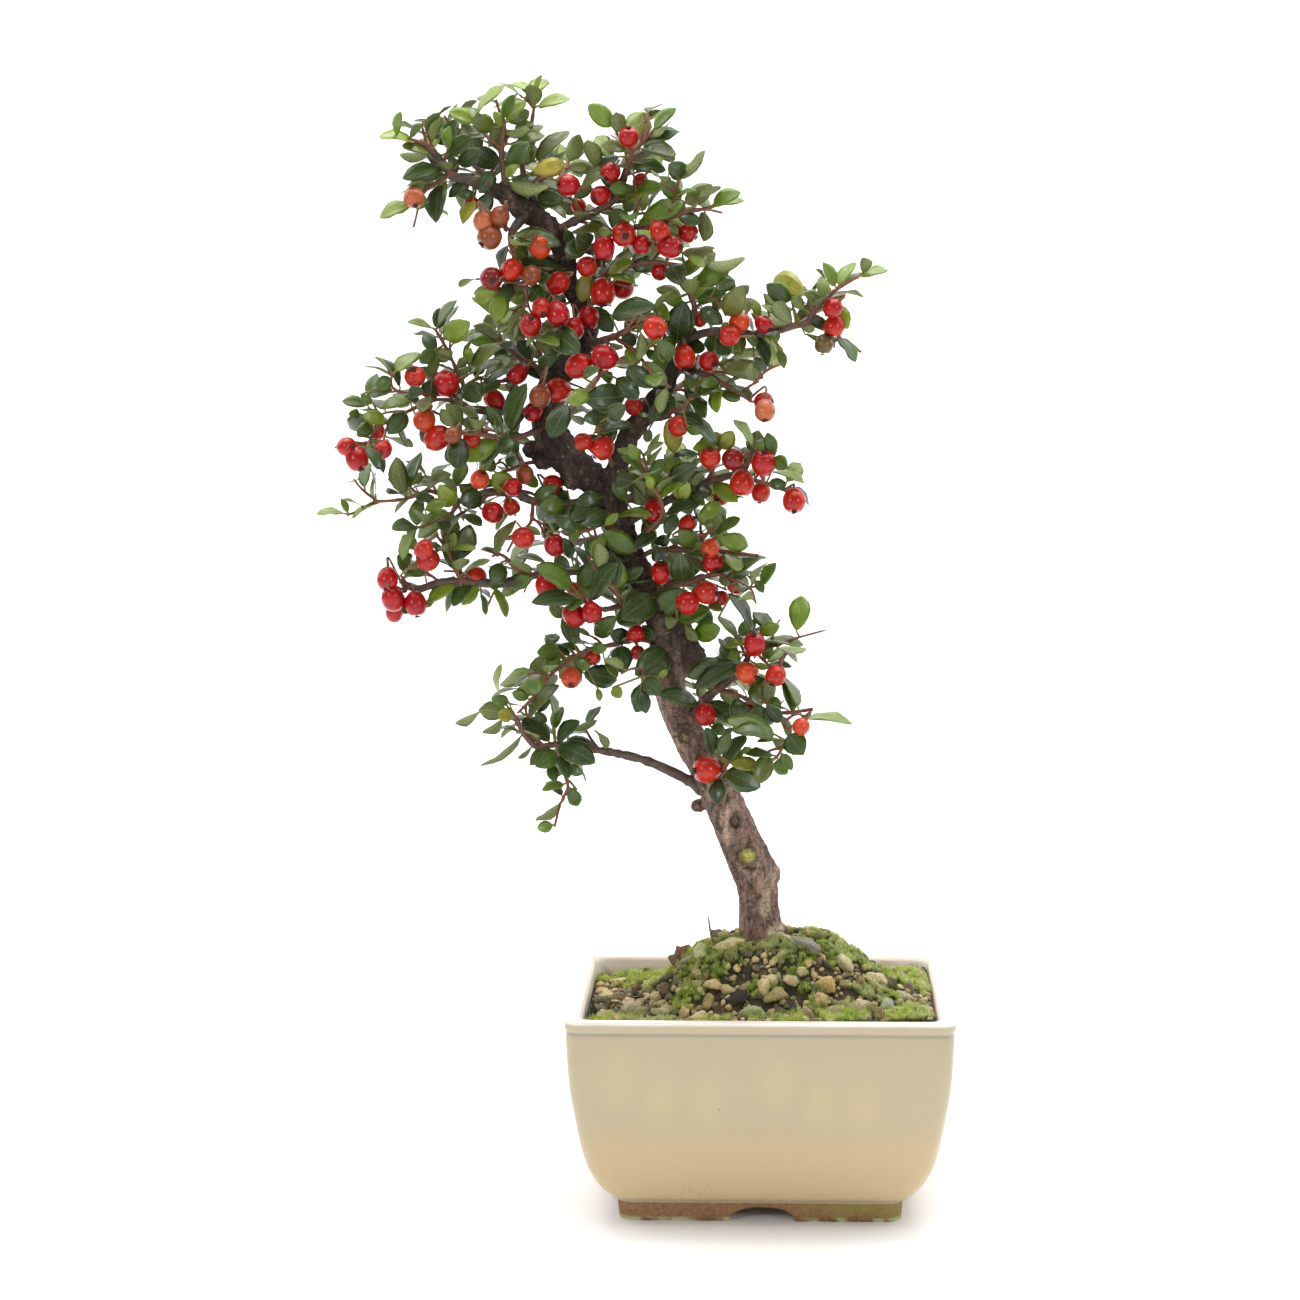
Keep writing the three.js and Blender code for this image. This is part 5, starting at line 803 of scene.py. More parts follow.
def twig_of(row, parent=None):
    """A twig's marks, each with its point, radius and place as seen, the smooth path through them, and
    the places between them where leaves can root."""
    numbers = [0, *row] if parent else row
    start_depth, end_depth = numbers[:2]
    rows = zip(numbers[2::3], numbers[3::3], numbers[4::3])
    marks = [Item(x=x, z=z, radius=radius) for x, z, radius in rows]
    if parent:
        near = nearest_on([parent], marks[0].x, marks[0].z)
        start_depth, marks[0].x, marks[0].z = near.depth, near.x, near.z
    lengths = [0]
    for a, b in zip(marks, marks[1:]):
        lengths.append(lengths[-1] + math.hypot(b.x - a.x, b.z - a.z))
    for mark, length in zip(marks, lengths):
        mark.depth = mix(start_depth, end_depth, length / lengths[-1])
        mark.point = seen(mark.x, mark.z, mark.depth)
    places = []
    for a, b in zip(marks, marks[1:]):
        steps = max(1, math.floor((b.point - a.point).length + 0.5))
        for k in range(steps):
            t = k / steps
            point = a.point.lerp(b.point, t)
            if off_wood(point) > ROOT_CLEAR:
                places.append(Item(x=mix(a.x, b.x, t), z=mix(a.z, b.z, t), point=point, depth=point.y,
                                   radius=mix(a.radius, b.radius, t)))
    path, sizes = smooth_path([mark.point for mark in marks], [mark.radius for mark in marks], 1.6)
    return Item(marks=marks, places=places, path=path, sizes=sizes)


def nearest_on(twigs, x, z):
    """The place on a shoot's twigs that is seen nearest to x z, and its distance."""
    places = (place for twig in twigs for place in twig.places)
    best = min(places, key=lambda place: math.hypot(place.x - x, place.z - z))
    return Item(**vars(best), distance=math.hypot(best.x - x, best.z - z))


def facing(base, tip, width, seen_width, underside):
    """The way a leaf's upper side points, where the leaf is seen as wide as seen_width."""
    along = (tip - base).normalized()
    towards = EYE - base
    towards = (towards - along * towards.dot(along)).normalized()
    side = along.cross(towards)
    turn = math.acos(min(seen_width / width, 1))
    normal = towards * math.cos(turn) + side * (math.sin(turn) if side.z > 0 else -math.sin(turn))
    return -normal if underside else normal


def listed_leaf(row, index, shoot):
    """The ways a leaf read off the photograph may lie, first choice first."""
    draw = draws(index + 1)
    drift = (draw() - 0.5) * 5
    lean = draw()
    away = 1 if draw() < (0.8 if shoot.back else 0.3) else -1
    seen_length = math.hypot(row.x1 - row.x0, row.z1 - row.z0)
    length = max(seen_length, row.width / 0.62) * (1.02 + 0.1 * lean)
    slope = away * math.sqrt(length ** 2 - seen_length ** 2)
    width = max(row.width, min(LEAF_SLENDERNESS * length, WIDEST_LEAF))
    root = nearest_on(shoot.twigs, row.x0, row.z0)
    near = root.distance < root.radius + NEAR_TWIG
    base_depth = root.depth + (0 if near else drift)
    ways = []
    for bend in LEAF_BENDS:
        base = root.point if near else seen(row.x0, row.z0, base_depth)
        tip = seen(row.x1, row.z1, base_depth + slope + bend)
        normal = facing(base, tip, width, row.width, row.underside)
        ways.append(Item(root=root.point, near=near, base=base, tip=tip, normal=normal, width=width,
                         kind=row.kind, twig=None))
    return ways


def more_leaf(row, index, shoot):
    """The ways one of the other leaves may lie: at its twig's depth, or further to the front."""
    first = listed_leaf(row, SEEDS.more_leaves + index, shoot)[0]
    ways = []
    for before in MORE_DEPTHS:
        moved = Item(**vars(first))
        shift = Vector((0, -before, 0))
        moved.base = first.base + shift
        moved.tip = first.tip + shift
        ways.append(moved)
    return ways


def twig_leaves(twigs, seed, spacing, shortest, longest):
    """Leaves set along twigs, each turned from the last by the golden angle."""
    draw = draws(seed)
    angle = draw() * 6
    for twig in twigs:
        for a, b in zip(twig.marks, twig.marks[1:]):
            steps = max(1, math.floor((b.point - a.point).length / spacing + 0.5))
            along = (b.point - a.point).normalized()
            level = along.cross((0, 0, 1)).normalized()
            third = level.cross(along)
            for k in range(steps):
                angle += GOLDEN_ANGLE
                out = level * math.cos(angle) + third * math.sin(angle)
                base = a.point.lerp(b.point, (k + 0.5) / steps)
                length = mix(shortest, longest, draw())
                reach = (out * 0.8 + along * 0.5 + Vector((0, 0, 0.15))).normalized()
                normal = Vector((draw() - 0.5, draw() - 0.5, 0.9)).normalized()
                if off_wood(base) > ROOT_CLEAR:
                    yield Item(root=base, near=True, base=base, tip=base + reach * length, normal=normal,
                               width=LEAF_SLENDERNESS * length, kind=None, twig=twig)


def parse(text):
    """The numbers of each entry, and the letters after its last one."""
    for entry in text.split(","):
        words = entry.split()
        last = words[-1].rstrip(ascii_letters)
        yield [*map(float, words[:-1]), float(last)], words[-1][len(last):]


def leaf_list(text):
    """The leaves of a list, each with the places of its base and its tip as seen."""
    return [Item(x0=x0, z0=z0, x1=round(x0 + across, 1), z1=round(z0 + up, 1), width=width, kind=kind,
                 underside=kind == "S")
            for (x0, z0, across, up, width), kind in parse(text)]


leaf_rows = leaf_list(LEAVES)


def is_covered(point, count=COVER_COUNT):
    """True where leaves seen from the front lie before a point."""
    x, z = flat(point)
    close = sum(math.hypot((row.x0 + row.x1) / 2 - x, (row.z0 + row.z1) / 2 - z) < COVER_RADIUS
                for row in leaf_rows)
    return close >= count


shoots = []
for entry in SHOOTS.split(";"):
    name, numbers = entry.strip().split(": ")
    first, *others = ([*map(float, twig.split())] for twig in numbers.split("/"))
    main = twig_of(first)
    twigs = [main, *(twig_of(row, main) for row in others)]
    shoots.append(Item(name=name, back=name.startswith("back_"), twigs=twigs, leaves=[], berries=[]))
front_shoots = [shoot for shoot in shoots if not shoot.back]


def by_sight(x, z):
    """The front shoot seen nearest to x z."""
    return min(front_shoots, key=lambda shoot: nearest_on(shoot.twigs, x, z).distance)


def corners_of(node):
    """The places of a solid's corners, in millimetres, for finding the nearest."""
    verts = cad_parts[node].data.vertices
    tree = KDTree(len(verts))
    for i, vert in enumerate(verts):
        tree.insert(FROM_FRAME @ vert.co, i)
    tree.balance()
    return tree


own_corners = {shoot.name: corners_of("shoot_" + shoot.name) for shoot in shoots}


# Leaves


# How far along a blade its rows of vertices lie, closer together towards the round ends
LEAF_ROWS = [0, 0.05, 0.18, 0.38, 0.6, 0.79, 0.93, 1]


def leaf_pattern():
    """A blade as a closed shell of two grids that share their border: across in X from -1 to 1, along in Y
    from 0 to 1, and Z 1 on the upper side, -1 on the lower side and 0 along the border."""
    form = new_form()
    bmesh.ops.create_grid(form, x_segments=4, y_segments=len(LEAF_ROWS) - 1, size=1)
    lower = bmesh.ops.duplicate(form, geom=[*form.verts, *form.edges, *form.faces])["geom"]
    lower_faces = [item for item in lower if isinstance(item, bmesh.types.BMFace)]
    bmesh.ops.reverse_faces(form, faces=lower_faces)
    lower_verts = {item for item in lower if isinstance(item, bmesh.types.BMVert)}
    for vert in form.verts:
        border = max(abs(vert.co.x), abs(vert.co.y)) > 0.99
        vert.co.z = 0 if border else -1 if vert in lower_verts else 1
    for face in form.faces:
        face.material_index = 0
    for face in lower_faces:
        face.material_index = UNDERSIDE - UPPER
    bmesh.ops.remove_doubles(form, verts=form.verts, dist=0.01)
    for vert in form.verts:
        vert.co.y = LEAF_ROWS[round((vert.co.y / 2 + 0.5) * (len(LEAF_ROWS) - 1))]
    layer = form.loops.layers.uv["blade"]
    for face in form.faces:
        for loop in face.loops:
            loop[layer].uv = (loop.vert.co.x / 2 + 0.5, loop.vert.co.y)
    return as_mesh(form, "leaf pattern")


LEAF_PATTERN = leaf_pattern()
LEAF_PLACES = [tuple(vert.co) for vert in LEAF_PATTERN.vertices]
LEAF_FACES = [tuple(face.vertices) for face in LEAF_PATTERN.polygons]


def blade_places(leaf):
    """The places of the pattern's vertices on a leaf: an elliptic blade with a short point, which arches,
    bows to one side, folds a little along its rib and waves at its margin."""
    along = leaf.tip - leaf.base
    length = along.length
    along.normalize()
    up = (leaf.normal - along * leaf.normal.dot(along)).normalized()
    side = along.cross(up)
    start = max(0.04, min(0.14, 2 / length)) if leaf.near else 0.04
    places = []
    for u, v, face in LEAF_PLACES:
        s = mix(start, 1, v)
        widest = v ** leaf.skew
        round_half = (4 * widest * (1 - widest)) ** mix(0.55, leaf.point, v)
        half = max(0.5 * leaf.width * round_half, 0.32 if v < 0.5 else 0.1)
        lift = leaf.fold * (abs(u) - 0.35 * u * u) * half
        lift += leaf.wave * u * u * math.sin(leaf.turns * v + leaf.phase * (1 + u))
        curl = -leaf.curl * length * max(0, v - 0.55) ** 2
        rise = leaf.arch * length * 4 * s * (1 - s) + lift * math.sin(math.pi * v) + curl * (1 - v) * 3
        aside = u * half * 0.98 + leaf.bow * length * s * (1 - s)
        places.append(leaf.base + along * (s * length) + up * (rise + 0.13 * face) + side * aside)
    return places


def leaf_character(leaf, draw):
    """Gives a leaf its own fold, waves, curl and outline, by seeded draws."""
    leaf.fold = 0.12 + 0.45 * draw()
    leaf.wave = leaf.width * 0.06 * draw()
    leaf.turns = 7 + 6 * draw()
    leaf.phase = 6 * draw()
    leaf.curl = 0.6 * draw()
    leaf.arch = LEAF_ARCH * mix(0.4, 1.7, draw())
    leaf.bow = 0.22 * (draw() - 0.5)
    leaf.skew = mix(0.85, 1.2, draw())
    leaf.point = mix(0.65, 1.0, draw())


settled = []


def ball_round(places):
    """The middle of a blade's vertices, and how far they reach from it."""
    middle = sum(places, Vector()) / len(places)
    return middle, max((place - middle).length for place in places)


def keep(places):
    """Remembers a blade, so that no later one crosses it."""
    middle, radius = ball_round(places)
    settled.append(Item(middle=middle, radius=radius, tree=BVHTree.FromPolygons(places, LEAF_FACES)))


# The heights between which the photograph shows the wood of the trunk, and of the bough
BARE_TRUNK = [(0, 236), (284, 318), (384, 406)]
BARE_BOUGH = [(0, 312)]


def is_bare(x, z):
    """True where the wood is seen at x z, or just beside it."""
    for rows, bare in ((TRUNK, BARE_TRUNK), (RIGHT_LIMB, BARE_BOUGH)):
        if any(low < z < high for low, high in bare):
            if any(math.hypot(row[0] - x, row[1] - z) < row[2] + 2 for row in rows):
                return True
    return False


def in_box(point):
    """True where a point lies in the box of all the solids, or up to 2 mm outside it."""
    place = TO_FRAME @ point
    return all(low - 0.002 < part < high + 0.002 for low, part, high in zip(cad_box[0], place, cad_box[1]))


def is_free(leaf):
    """True if a leaf crosses no settled one and no berry, and stands before no berry that is seen."""
    places = leaf.places
    middle, radius = ball_round(places)
    for berry in berries:
        if (berry.centre - middle).length < berry.radius + radius:
            if min((berry.centre - place).length for place in places) < berry.radius + 0.3:
                return False
        if not berry.hidden and middle.y < berry.centre.y:
            x, z = flat(middle)
            if math.hypot(x - berry.x, z - berry.z) < berry.radius + leaf.width * 0.2:
                return False
    near = [other for other in settled if (other.middle - middle).length < other.radius + radius]
    tree = BVHTree.FromPolygons(places, LEAF_FACES) if near else None
    return not any(tree.overlap(other.tree) for other in near)


# The greens of each kind of leaf: dark, green, light, olive, yellowing, and one that shows its underside
LEAF_KINDS = {
    kind: [linear(code) for code in codes.split()] for kind, codes in (
        ("D", "#2a400d #34490f #23350b"), ("G", "#465e0f #526b14 #3a510d"), ("L", "#6f8415 #617815 #7c8d20"),
        ("O", "#5a611f #50591d #676b28"), ("Y", "#9a932a #8a8727 #a8962f"))
}
LEAF_KINDS["S"] = LEAF_KINDS["G"]


def leaf_tone(kind, draw):
    """The green of one leaf of a kind."""
    first, second = (LEAF_KINDS[kind][int(draw() * 3)] for _ in range(2))
    return blend(first, second, draw())


def any_kind(leaf, shoot, draw):
    """A kind for a leaf that isn't seen: mostly dark or green, light near the shoot's tip."""
    young = (leaf.base - shoot.twigs[0].marks[-1].point).length < 18
    kinds = "LGLGDO" if young else "DDDGGGDOGS"
    return kinds[int(draw() * len(kinds))]


def grow(shoot, leaf, seed):
    """Lets a shoot bear a leaf."""
    keep(leaf.places)
    draw = draws(seed)
    leaf.tone = leaf_tone(leaf.kind or any_kind(leaf, shoot, draw), draw)
    shoot.leaves.append(leaf)


def ready(leaf, seed):
    """A leaf with its character and the places of its vertices."""
    leaf_character(leaf, draws(seed + SEEDS.character))
    leaf.places = blade_places(leaf)
    return leaf


def clear_of_wood(leaf):
    """True where a leaf stands off from the trunk and the bough."""
    return all(off_wood(leaf.base.lerp(leaf.tip, share)) > 1 for share in (0.3, 0.6, 1))


def grow_first(shoot, ways, seed, must=False):
    """Grows a leaf in the first of these ways that is free, or in the first of all where one must grow."""
    free = next((leaf for leaf in ways if is_free(ready(leaf, seed))), ways[0] if must else None)
    if free:
        grow(shoot, free, seed)


def side_shoots(shoot, order):
    """Short side shoots along a shoot's twigs, on a front shoot all towards the back."""
    draw = draws(SEEDS.side_shoots + order)
    found = []
    for twig in shoot.twigs:
        for a, b in zip(twig.marks, twig.marks[1:]):
            along = (b.point - a.point).normalized()
            steps = max(1, round((b.point - a.point).length / SIDE_SHOOT_SPACING))
            for k in range(steps):
                start = a.point.lerp(b.point, (k + draw()) / steps)
                out = Vector((draw() - 0.5, draw() - 0.5 if shoot.back else 0.9 * draw(), draw() - 0.4))
                out = (out - along * out.dot(along) * 0.6 + along * 0.35).normalized()
                length = mix(7, 15, draw())
                bow = Vector((draw() - 0.5, draw() - 0.5, draw())) * 0.2 * length
                points = [start, start + out * length * 0.5 + bow, start + out * length]
                if off_wood(start) < ROOT_CLEAR or off_wood(points[1]) < 3 or off_wood(points[2]) < 3:
                    continue
                if not is_covered(points[2]) or not in_box(points[2]):
                    continue
                marks = [Item(point=point) for point in points]
                path, sizes = smooth_path(points, [0.75, 0.6, 0.45], 1.6)
                found.append(Item(marks=marks, path=path, sizes=sizes))
    return found


def grow_all():
    """Grows the leaves that the solids have, then the smaller ones round them, then those at the back."""
    waiting = []
    offers = []
    for index, row in enumerate(leaf_rows):
        shoot = by_sight(row.x0, row.z0)
        offers.append((shoot, listed_leaf(row, index, shoot), index, True))
    for order, shoot in enumerate(shoot for shoot in shoots if shoot.back):
        found = twig_leaves(shoot.twigs, SEEDS.back_leaves + order, BACK_SPACING, BACK_SHORTEST, BACK_LONGEST)
        for index, leaf in enumerate(found):
            if is_covered(leaf.base.lerp(leaf.tip, 0.5)) and is_covered(leaf.tip):
                offers.append((shoot, [leaf], SEEDS.back_looks + 100 * order + index, False))
    for shoot, ways, seed, must in offers:
        corners = own_corners[shoot.name]
        own = next((leaf for leaf in ways if corners.find(leaf.tip)[2] < SAME_TIP), None)
        if own:
            grow(shoot, ready(own, seed), seed)
        else:
            waiting.append((shoot, ways, seed, must))
    for shoot, ways, seed, must in waiting:
        grow_first(shoot, ways, seed, must)
    for index, row in enumerate(leaf_list(MORE_LEAVES)):
        shoot = by_sight(row.x0, row.z0)
        ways = [leaf for leaf in more_leaf(row, index, shoot) if clear_of_wood(leaf)]
        grow_first(shoot, ways, SEEDS.more_looks + index)
    for order, shoot in enumerate(shoots):
        shoot.spurs = side_shoots(shoot, order)
        found = [*twig_leaves(shoot.spurs, SEEDS.spur_leaves + order, 3.2, 11, 17),
                 *twig_leaves(shoot.twigs, SEEDS.twig_leaves + order, 3.6, 10, 16)]
        for index, leaf in enumerate(found):
            middle = leaf.base.lerp(leaf.tip, 0.5)
            behind = shoot.back or middle.y > leaf.base.y - 1
            fits = is_covered(leaf.tip, TIP_COVER_COUNT)
            if not behind:
                fits = fits and not is_bare(*flat(middle)) and not is_bare(*flat(leaf.tip))
            if fits and is_covered(middle) and clear_of_wood(leaf) and in_box(leaf.tip):
                grow_first(shoot, [leaf], SEEDS.twig_looks + 400 * order + index)
        bearing = [leaf.twig for leaf in shoot.leaves]
        shoot.spurs = [spur for spur in shoot.spurs if spur in bearing]


# Berries

# The colours of berries. Most go from R to C or F, and the others stand out.
BERRY_KINDS = {
    "R": linear("#ae120a"), "C": linear("#a80d11"), "D": linear("#86100c"), "O": linear("#c8431a"),
    "F": linear("#bb260f"), "P": linear("#b8623c"), "B": linear("#8f4826"), "N": linear("#65522a"),
}
# The ways that a calyx is seen to point: up, down, left, right and to the front
CALYX_WAYS = {
    "u": (0, -0.5, 1), "d": (0, -0.5, -1), "l": (-1, -0.4, 0), "r": (1, -0.4, 0), "f": (0.1, -1, -0.1),
}
DARK_CALYX = linear("#3a2a20")


def berry_tone(letters, draw):
    """The colour of a berry: its own where that stands out, or else a red."""
    for letter in letters:
        if letter in BERRY_KINDS:
            return BERRY_KINDS[letter]
    return blend(BERRY_KINDS["R"], BERRY_KINDS["C" if draw() < 0.5 else "F"], draw())


def calyx_way(letters, along, draw):
    """The way a berry's calyx points: as it is seen to, or else away from the stalk and to some side."""
    for letter in letters:
        if letter in CALYX_WAYS:
            return Vector(CALYX_WAYS[letter]).normalized()
    aside = Vector((draw() - 0.5, 0.7 * draw() - 0.25, draw() - 0.75)).normalized()
    return (along * 0.35 + aside).normalized()


def hangs_clear(centre, radius):
    """True where a berry reaches neither into the wood nor into another berry."""
    return off_wood(centre) > radius - 0.8 and all(
        (centre - other.centre).length > radius + other.radius - 0.4 for other in berries)


def hang(numbers, letters, root, corners, seed):
    """A berry, hung at the depth that the solid has it, or else at the first where it hangs clear."""
    x, z, radius = numbers
    hidden = radius < 0
    radius = abs(radius)
    ways = []
    for bend in BERRY_BENDS:
        centre = seen(x, z, root.depth + (BERRY_BEHIND if hidden else -BERRY_BEFORE) + bend)
        along = (centre - root.point).normalized()
        ways.append(Item(centre=centre, along=along, tip=centre + along * radius))
    best = next((way for way in ways if corners.find(way.tip)[2] < SAME_TIP), None)
    best = best or next((way for way in ways if hangs_clear(way.centre, radius)), ways[0])
    berry = Item(x=x, z=z, radius=radius, hidden=hidden, root=root.point, centre=best.centre)
    draw = draws(seed)
    berry.turn = 6 * draw()
    berry.tone = berry_tone(letters, draw)
    berry.stretch = mix(1.0, 1.22, draw())
    berry.way = calyx_way(letters, best.along, draw)
    berries.append(berry)
    return berry


def berry_pattern():
    """A berry of radius 1 on the Z axis, dimpled at the calyx on top, with the calyx's five dry points."""
    form = new_form()
    bmesh.ops.create_uvsphere(form, u_segments=14, v_segments=10, radius=1)
    for vert in form.verts:
        z = vert.co.z
        vert.co.z = z - (0.13 if z > 0.95 else 0.02 if z > 0.85 else 0)
        vert.co.xy *= 1 + 0.05 * z
    cone = bmesh.ops.create_cone(form, segments=10, radius1=0.3, radius2=0.24, depth=0.1, cap_ends=True)
    star = cone["verts"]
    for vert in star:
        point = round(math.atan2(vert.co.y, vert.co.x) / (math.pi / 5)) % 2 == 0
        vert.co.xy *= 1.0 if point else 0.6
        vert.co.z += 0.92 + (0.05 if point else 0)
    for face in faces_round(star):
        face.material_index = DRY - SKIN
    return as_mesh(form, "berry pattern")


BERRY_PATTERN = berry_pattern()
berries = []
bunches = []
for number, (name, (shoot_name, text)) in enumerate(BUNCHES.items()):
    shoot = next(shoot for shoot in shoots if shoot.name == shoot_name)
    rows = [*parse(text)]
    middle_x = sum(row[0] for row, _ in rows) / len(rows)
    middle_z = sum(row[1] for row, _ in rows) / len(rows)
    place = nearest_on(shoot.twigs, middle_x, middle_z)
    out = (seen(middle_x, middle_z, place.depth - 4) - place.point).normalized()
    hub = Item(point=place.point + out * (place.radius + 0.9), depth=place.depth)
    corners = corners_of(name)
    hung = [hang(*row, hub, corners, SEEDS.bunches + 40 * number + i) for i, row in enumerate(rows)]
    bunches.append(Item(name=name, hub=hub.point, berries=hung))
for index, (numbers, letters) in enumerate([*parse(BERRIES), *parse(MORE_BERRIES)]):
    shoot = by_sight(numbers[0], numbers[1])
    place = nearest_on(shoot.twigs, numbers[0], numbers[1])
    shoot.berries.append(hang(numbers, letters, place, own_corners[shoot.name], SEEDS.berries + index))


def add_berries(form, hung):
    """Adds berries to a form, each on its curved stalk."""
    stalks = []
    for berry in hung:
        turn = berry.way.to_track_quat("Z", "Y").to_matrix() @ Matrix.Rotation(berry.turn, 3, "Z")
        shape = Vector((berry.radius, berry.radius, berry.radius * berry.stretch))
        for vert in stamp(form, BERRY_PATTERN, SKIN):
            calyx = all(face.material_index == DRY for face in vert.link_faces)
            dark = clamp((vert.co.z - 0.78) * 5) * 0.75
            paint(form, [vert], DARK_CALYX if calyx else blend(berry.tone, DARK_CALYX, dark))
            vert.co = berry.centre + turn @ (vert.co * shape)
        near_end = berry.centre - berry.way * shape.z * 0.95
        reach = (near_end - berry.root).length
        before = near_end - berry.way * 0.35 * reach
        stalks.append(smooth_path([berry.root, before, near_end], [0.55, 0.45, 0.6], 1.5))
    if stalks:
        add_stems(form, stalks, 1, TWIG, linear("#7a5a3c"))


# Shoots and bunches

OLD_TWIG = linear("#46362b")
OLD_TWIG_GREY = linear("#5f5047")
TWIG_BROWN = linear("#7c4c36")
STALK_TONE = linear("#74702a")


def twig_stems(shoot):
    """A shoot's twigs as knobbly stems."""
    stems = []
    for twig in [*shoot.twigs, *shoot.spurs]:
        sizes = [size * (0.88 + 0.3 * noise.noise(point * 0.5) + (0.1 if i % 4 == 0 else 0))
                 for i, (point, size) in enumerate(zip(twig.path, twig.sizes))]
        stems.append((twig.path, sizes))
    return stems


def twig_tones(stems):
    """The colour of a shoot's twigs by the place: dark and greyish where thick, reddish where young."""
    sizes = [size for _, radii in stems for size in radii]
    nearest = KDTree(len(sizes))
    for i, point in enumerate(point for path, _ in stems for point in path):
        nearest.insert(point, i)
    nearest.balance()

    def tone(point):
        size = sizes[nearest.find(point)[1]]
        old = blend(OLD_TWIG, OLD_TWIG_GREY, clamp(0.4 + 1.6 * noise.noise(point * 0.5)))
        return blend(old, TWIG_BROWN, clamp((1.6 - size) / 0.9))

    return tone


def leafy_shoot(shoot):
    """One shoot: its twigs, its leaves on their stalks, and the berries that hang singly."""
    form = new_form()
    stems = twig_stems(shoot)
    add_stems(form, stems, 2, TWIG, twig_tones(stems))
    stalks = []
    path = [point for twig in [*shoot.twigs, *shoot.spurs] for point in twig.path]
    for leaf in shoot.leaves:
        verts = stamp(form, LEAF_PATTERN, UPPER)
        for vert, place in zip(verts, leaf.places):
            vert.co = place
        paint(form, verts, leaf.tone)
        root = min(path, key=lambda point: (point - leaf.root).length)
        blade_start = leaf.places[LEAF_START]
        inner = leaf.places[LEAF_INNER]
        bend = blade_start - (inner - blade_start) * 0.5
        points, sizes = smooth_path([root, bend, blade_start, inner], [0.5, 0.42, 0.4, 0.28], 1.5)
        stalks.append((points, sizes))
    add_stems(form, stalks, 0, TWIG, STALK_TONE)
    add_berries(form, shoot.berries)
    finish_piece("leafy_shoot_" + shoot.name, form, PLANT_MATERIALS, "leaf", ["shoot_" + shoot.name])


# The pattern's vertices in the middle of a blade's start, and one row further in on its lower side
LEAF_START = LEAF_PLACES.index(min(LEAF_PLACES, key=lambda place: (place[1], abs(place[0]))))
LEAF_INNER = LEAF_PLACES.index(min((place for place in LEAF_PLACES if place[1] > 0.02 and place[2] < 0),
                                   key=lambda place: (place[1], abs(place[0]))))


def berry_bunch(bunch):
    """Berries whose stalks meet at one bud, which sits on its twig."""
    form = new_form()
    add_berries(form, bunch.berries)
    bud = bmesh.ops.create_icosphere(form, subdivisions=1, radius=1.3)["verts"]
    for vert in bud:
        vert.co += bunch.hub
    paint(form, bud, TWIG_BROWN)
    for face in faces_round(bud):
        face.material_index = TWIG
    name = bunch.name.replace("berries", "berry_bunch")
    finish_piece(name, form, PLANT_MATERIALS, "berry", [bunch.name])


grow_all()
for shoot in shoots:
    leafy_shoot(shoot)
for bunch in bunches:
    berry_bunch(bunch)


# The trunk

LOWER_BARK = linear("#836859")
UPPER_BARK = linear("#35261e")
PALE_BARK = linear("#ab927e")
# Dark bark for the blots, and painted shade for the cracks
DARK_BARK_AND_CRACK_SHADE = linear("#2c211a")
# Colours round a place on the wood: x, z, how far it reaches across and up, and the colour
SCARS = [
    (-5.6, 139, 5, 4.8, linear("#4f392c")), (-5.2, 139, 3.6, 3.1, linear("#a9a65c")),
    (-6.8, 138, 1.2, 1, linear("#8a6a42")),
    (-10.3, 153, 2.6, 3.6, linear("#40312a")), (-10.3, 153, 1.1, 1.8, linear("#7d6a55")),
    (-30.6, 187.2, 2.6, 3, linear("#4a3a2e")), (-30.6, 187.2, 1.5, 1.8, linear("#b09a62")),
    (-89, 318, 3.2, 4.2, linear("#b5733c")), (12.5, 347.5, 2, 2, linear("#b58a55")),
    # The thin dark strip at z 134, just under the cut stub, is painted shadow
    (6, 106, 4, 6, linear("#b7a98f")), (-4.3, 134, 3.4, 0.9, linear("#33271f")),
    (1.7, 117.8, 3.4, 4.6, linear("#9c8c76")), (-28, 219, 5, 6, linear("#3a2b22")),
]
# The sunken faces of cut branches, each with a lip round it: x, z, half width, half height and depth
BARK_HOLLOWS = [(-10.3, 153, 2.2, 3, 0.9), (-5.4, 139, 4, 3.6, 1.1), (-89, 318, 2.6, 3.6, 0.7),
                (-30.6, 187.2, 1.6, 2.2, 0.7)]
# Smaller swellings: [x, z, depth, radius]
FINE_KNOBS = [
    [-30.5, 224, -1.5, 6.2], [-33, 231, -1, 5.4], [-30, 216.5, -1.5, 5.2], [-86, 313, 1.5, 4],
    [-34, 238, -1, 3.4], [-60, 283, -2.5, 4.4], [-86, 298, 3, 4.4], [-91, 302, 3, 3.2], [-74.5, 290, 2, 4.6],
    [-66, 290, -2, 3.6], [-75, 297, -1, 4], [-80.5, 323, 1.5, 3.4], [-48, 252, -3, 3], [-56, 268, -3, 3.2],
    [-39, 236, -3, 3], [-12, 147, -6, 3.4], [-1, 127, -5, 3.6], [-22, 178, -6.5, 2.6], [-35, 207, -5.5, 2.6],
    [-95, 398, -4, 3], [-70, 352, 1, 2.6], [-75, 372, -1, 2.6], [3.9, 131.5, -2, 4.6],
    [-13.5, 152.5, -3, 4.6],
]
# Roots that spread under the soil's surface: the angle at which each leaves the trunk, and how far it goes
ROOTS = [(-160, 17), (-125, 13), (-80, 12), (-35, 15), (10, 17), (60, 13), (115, 14), (165, 15)]


# How fine the wood's skin is, in millimetres
WOOD_GRAIN = 0.62


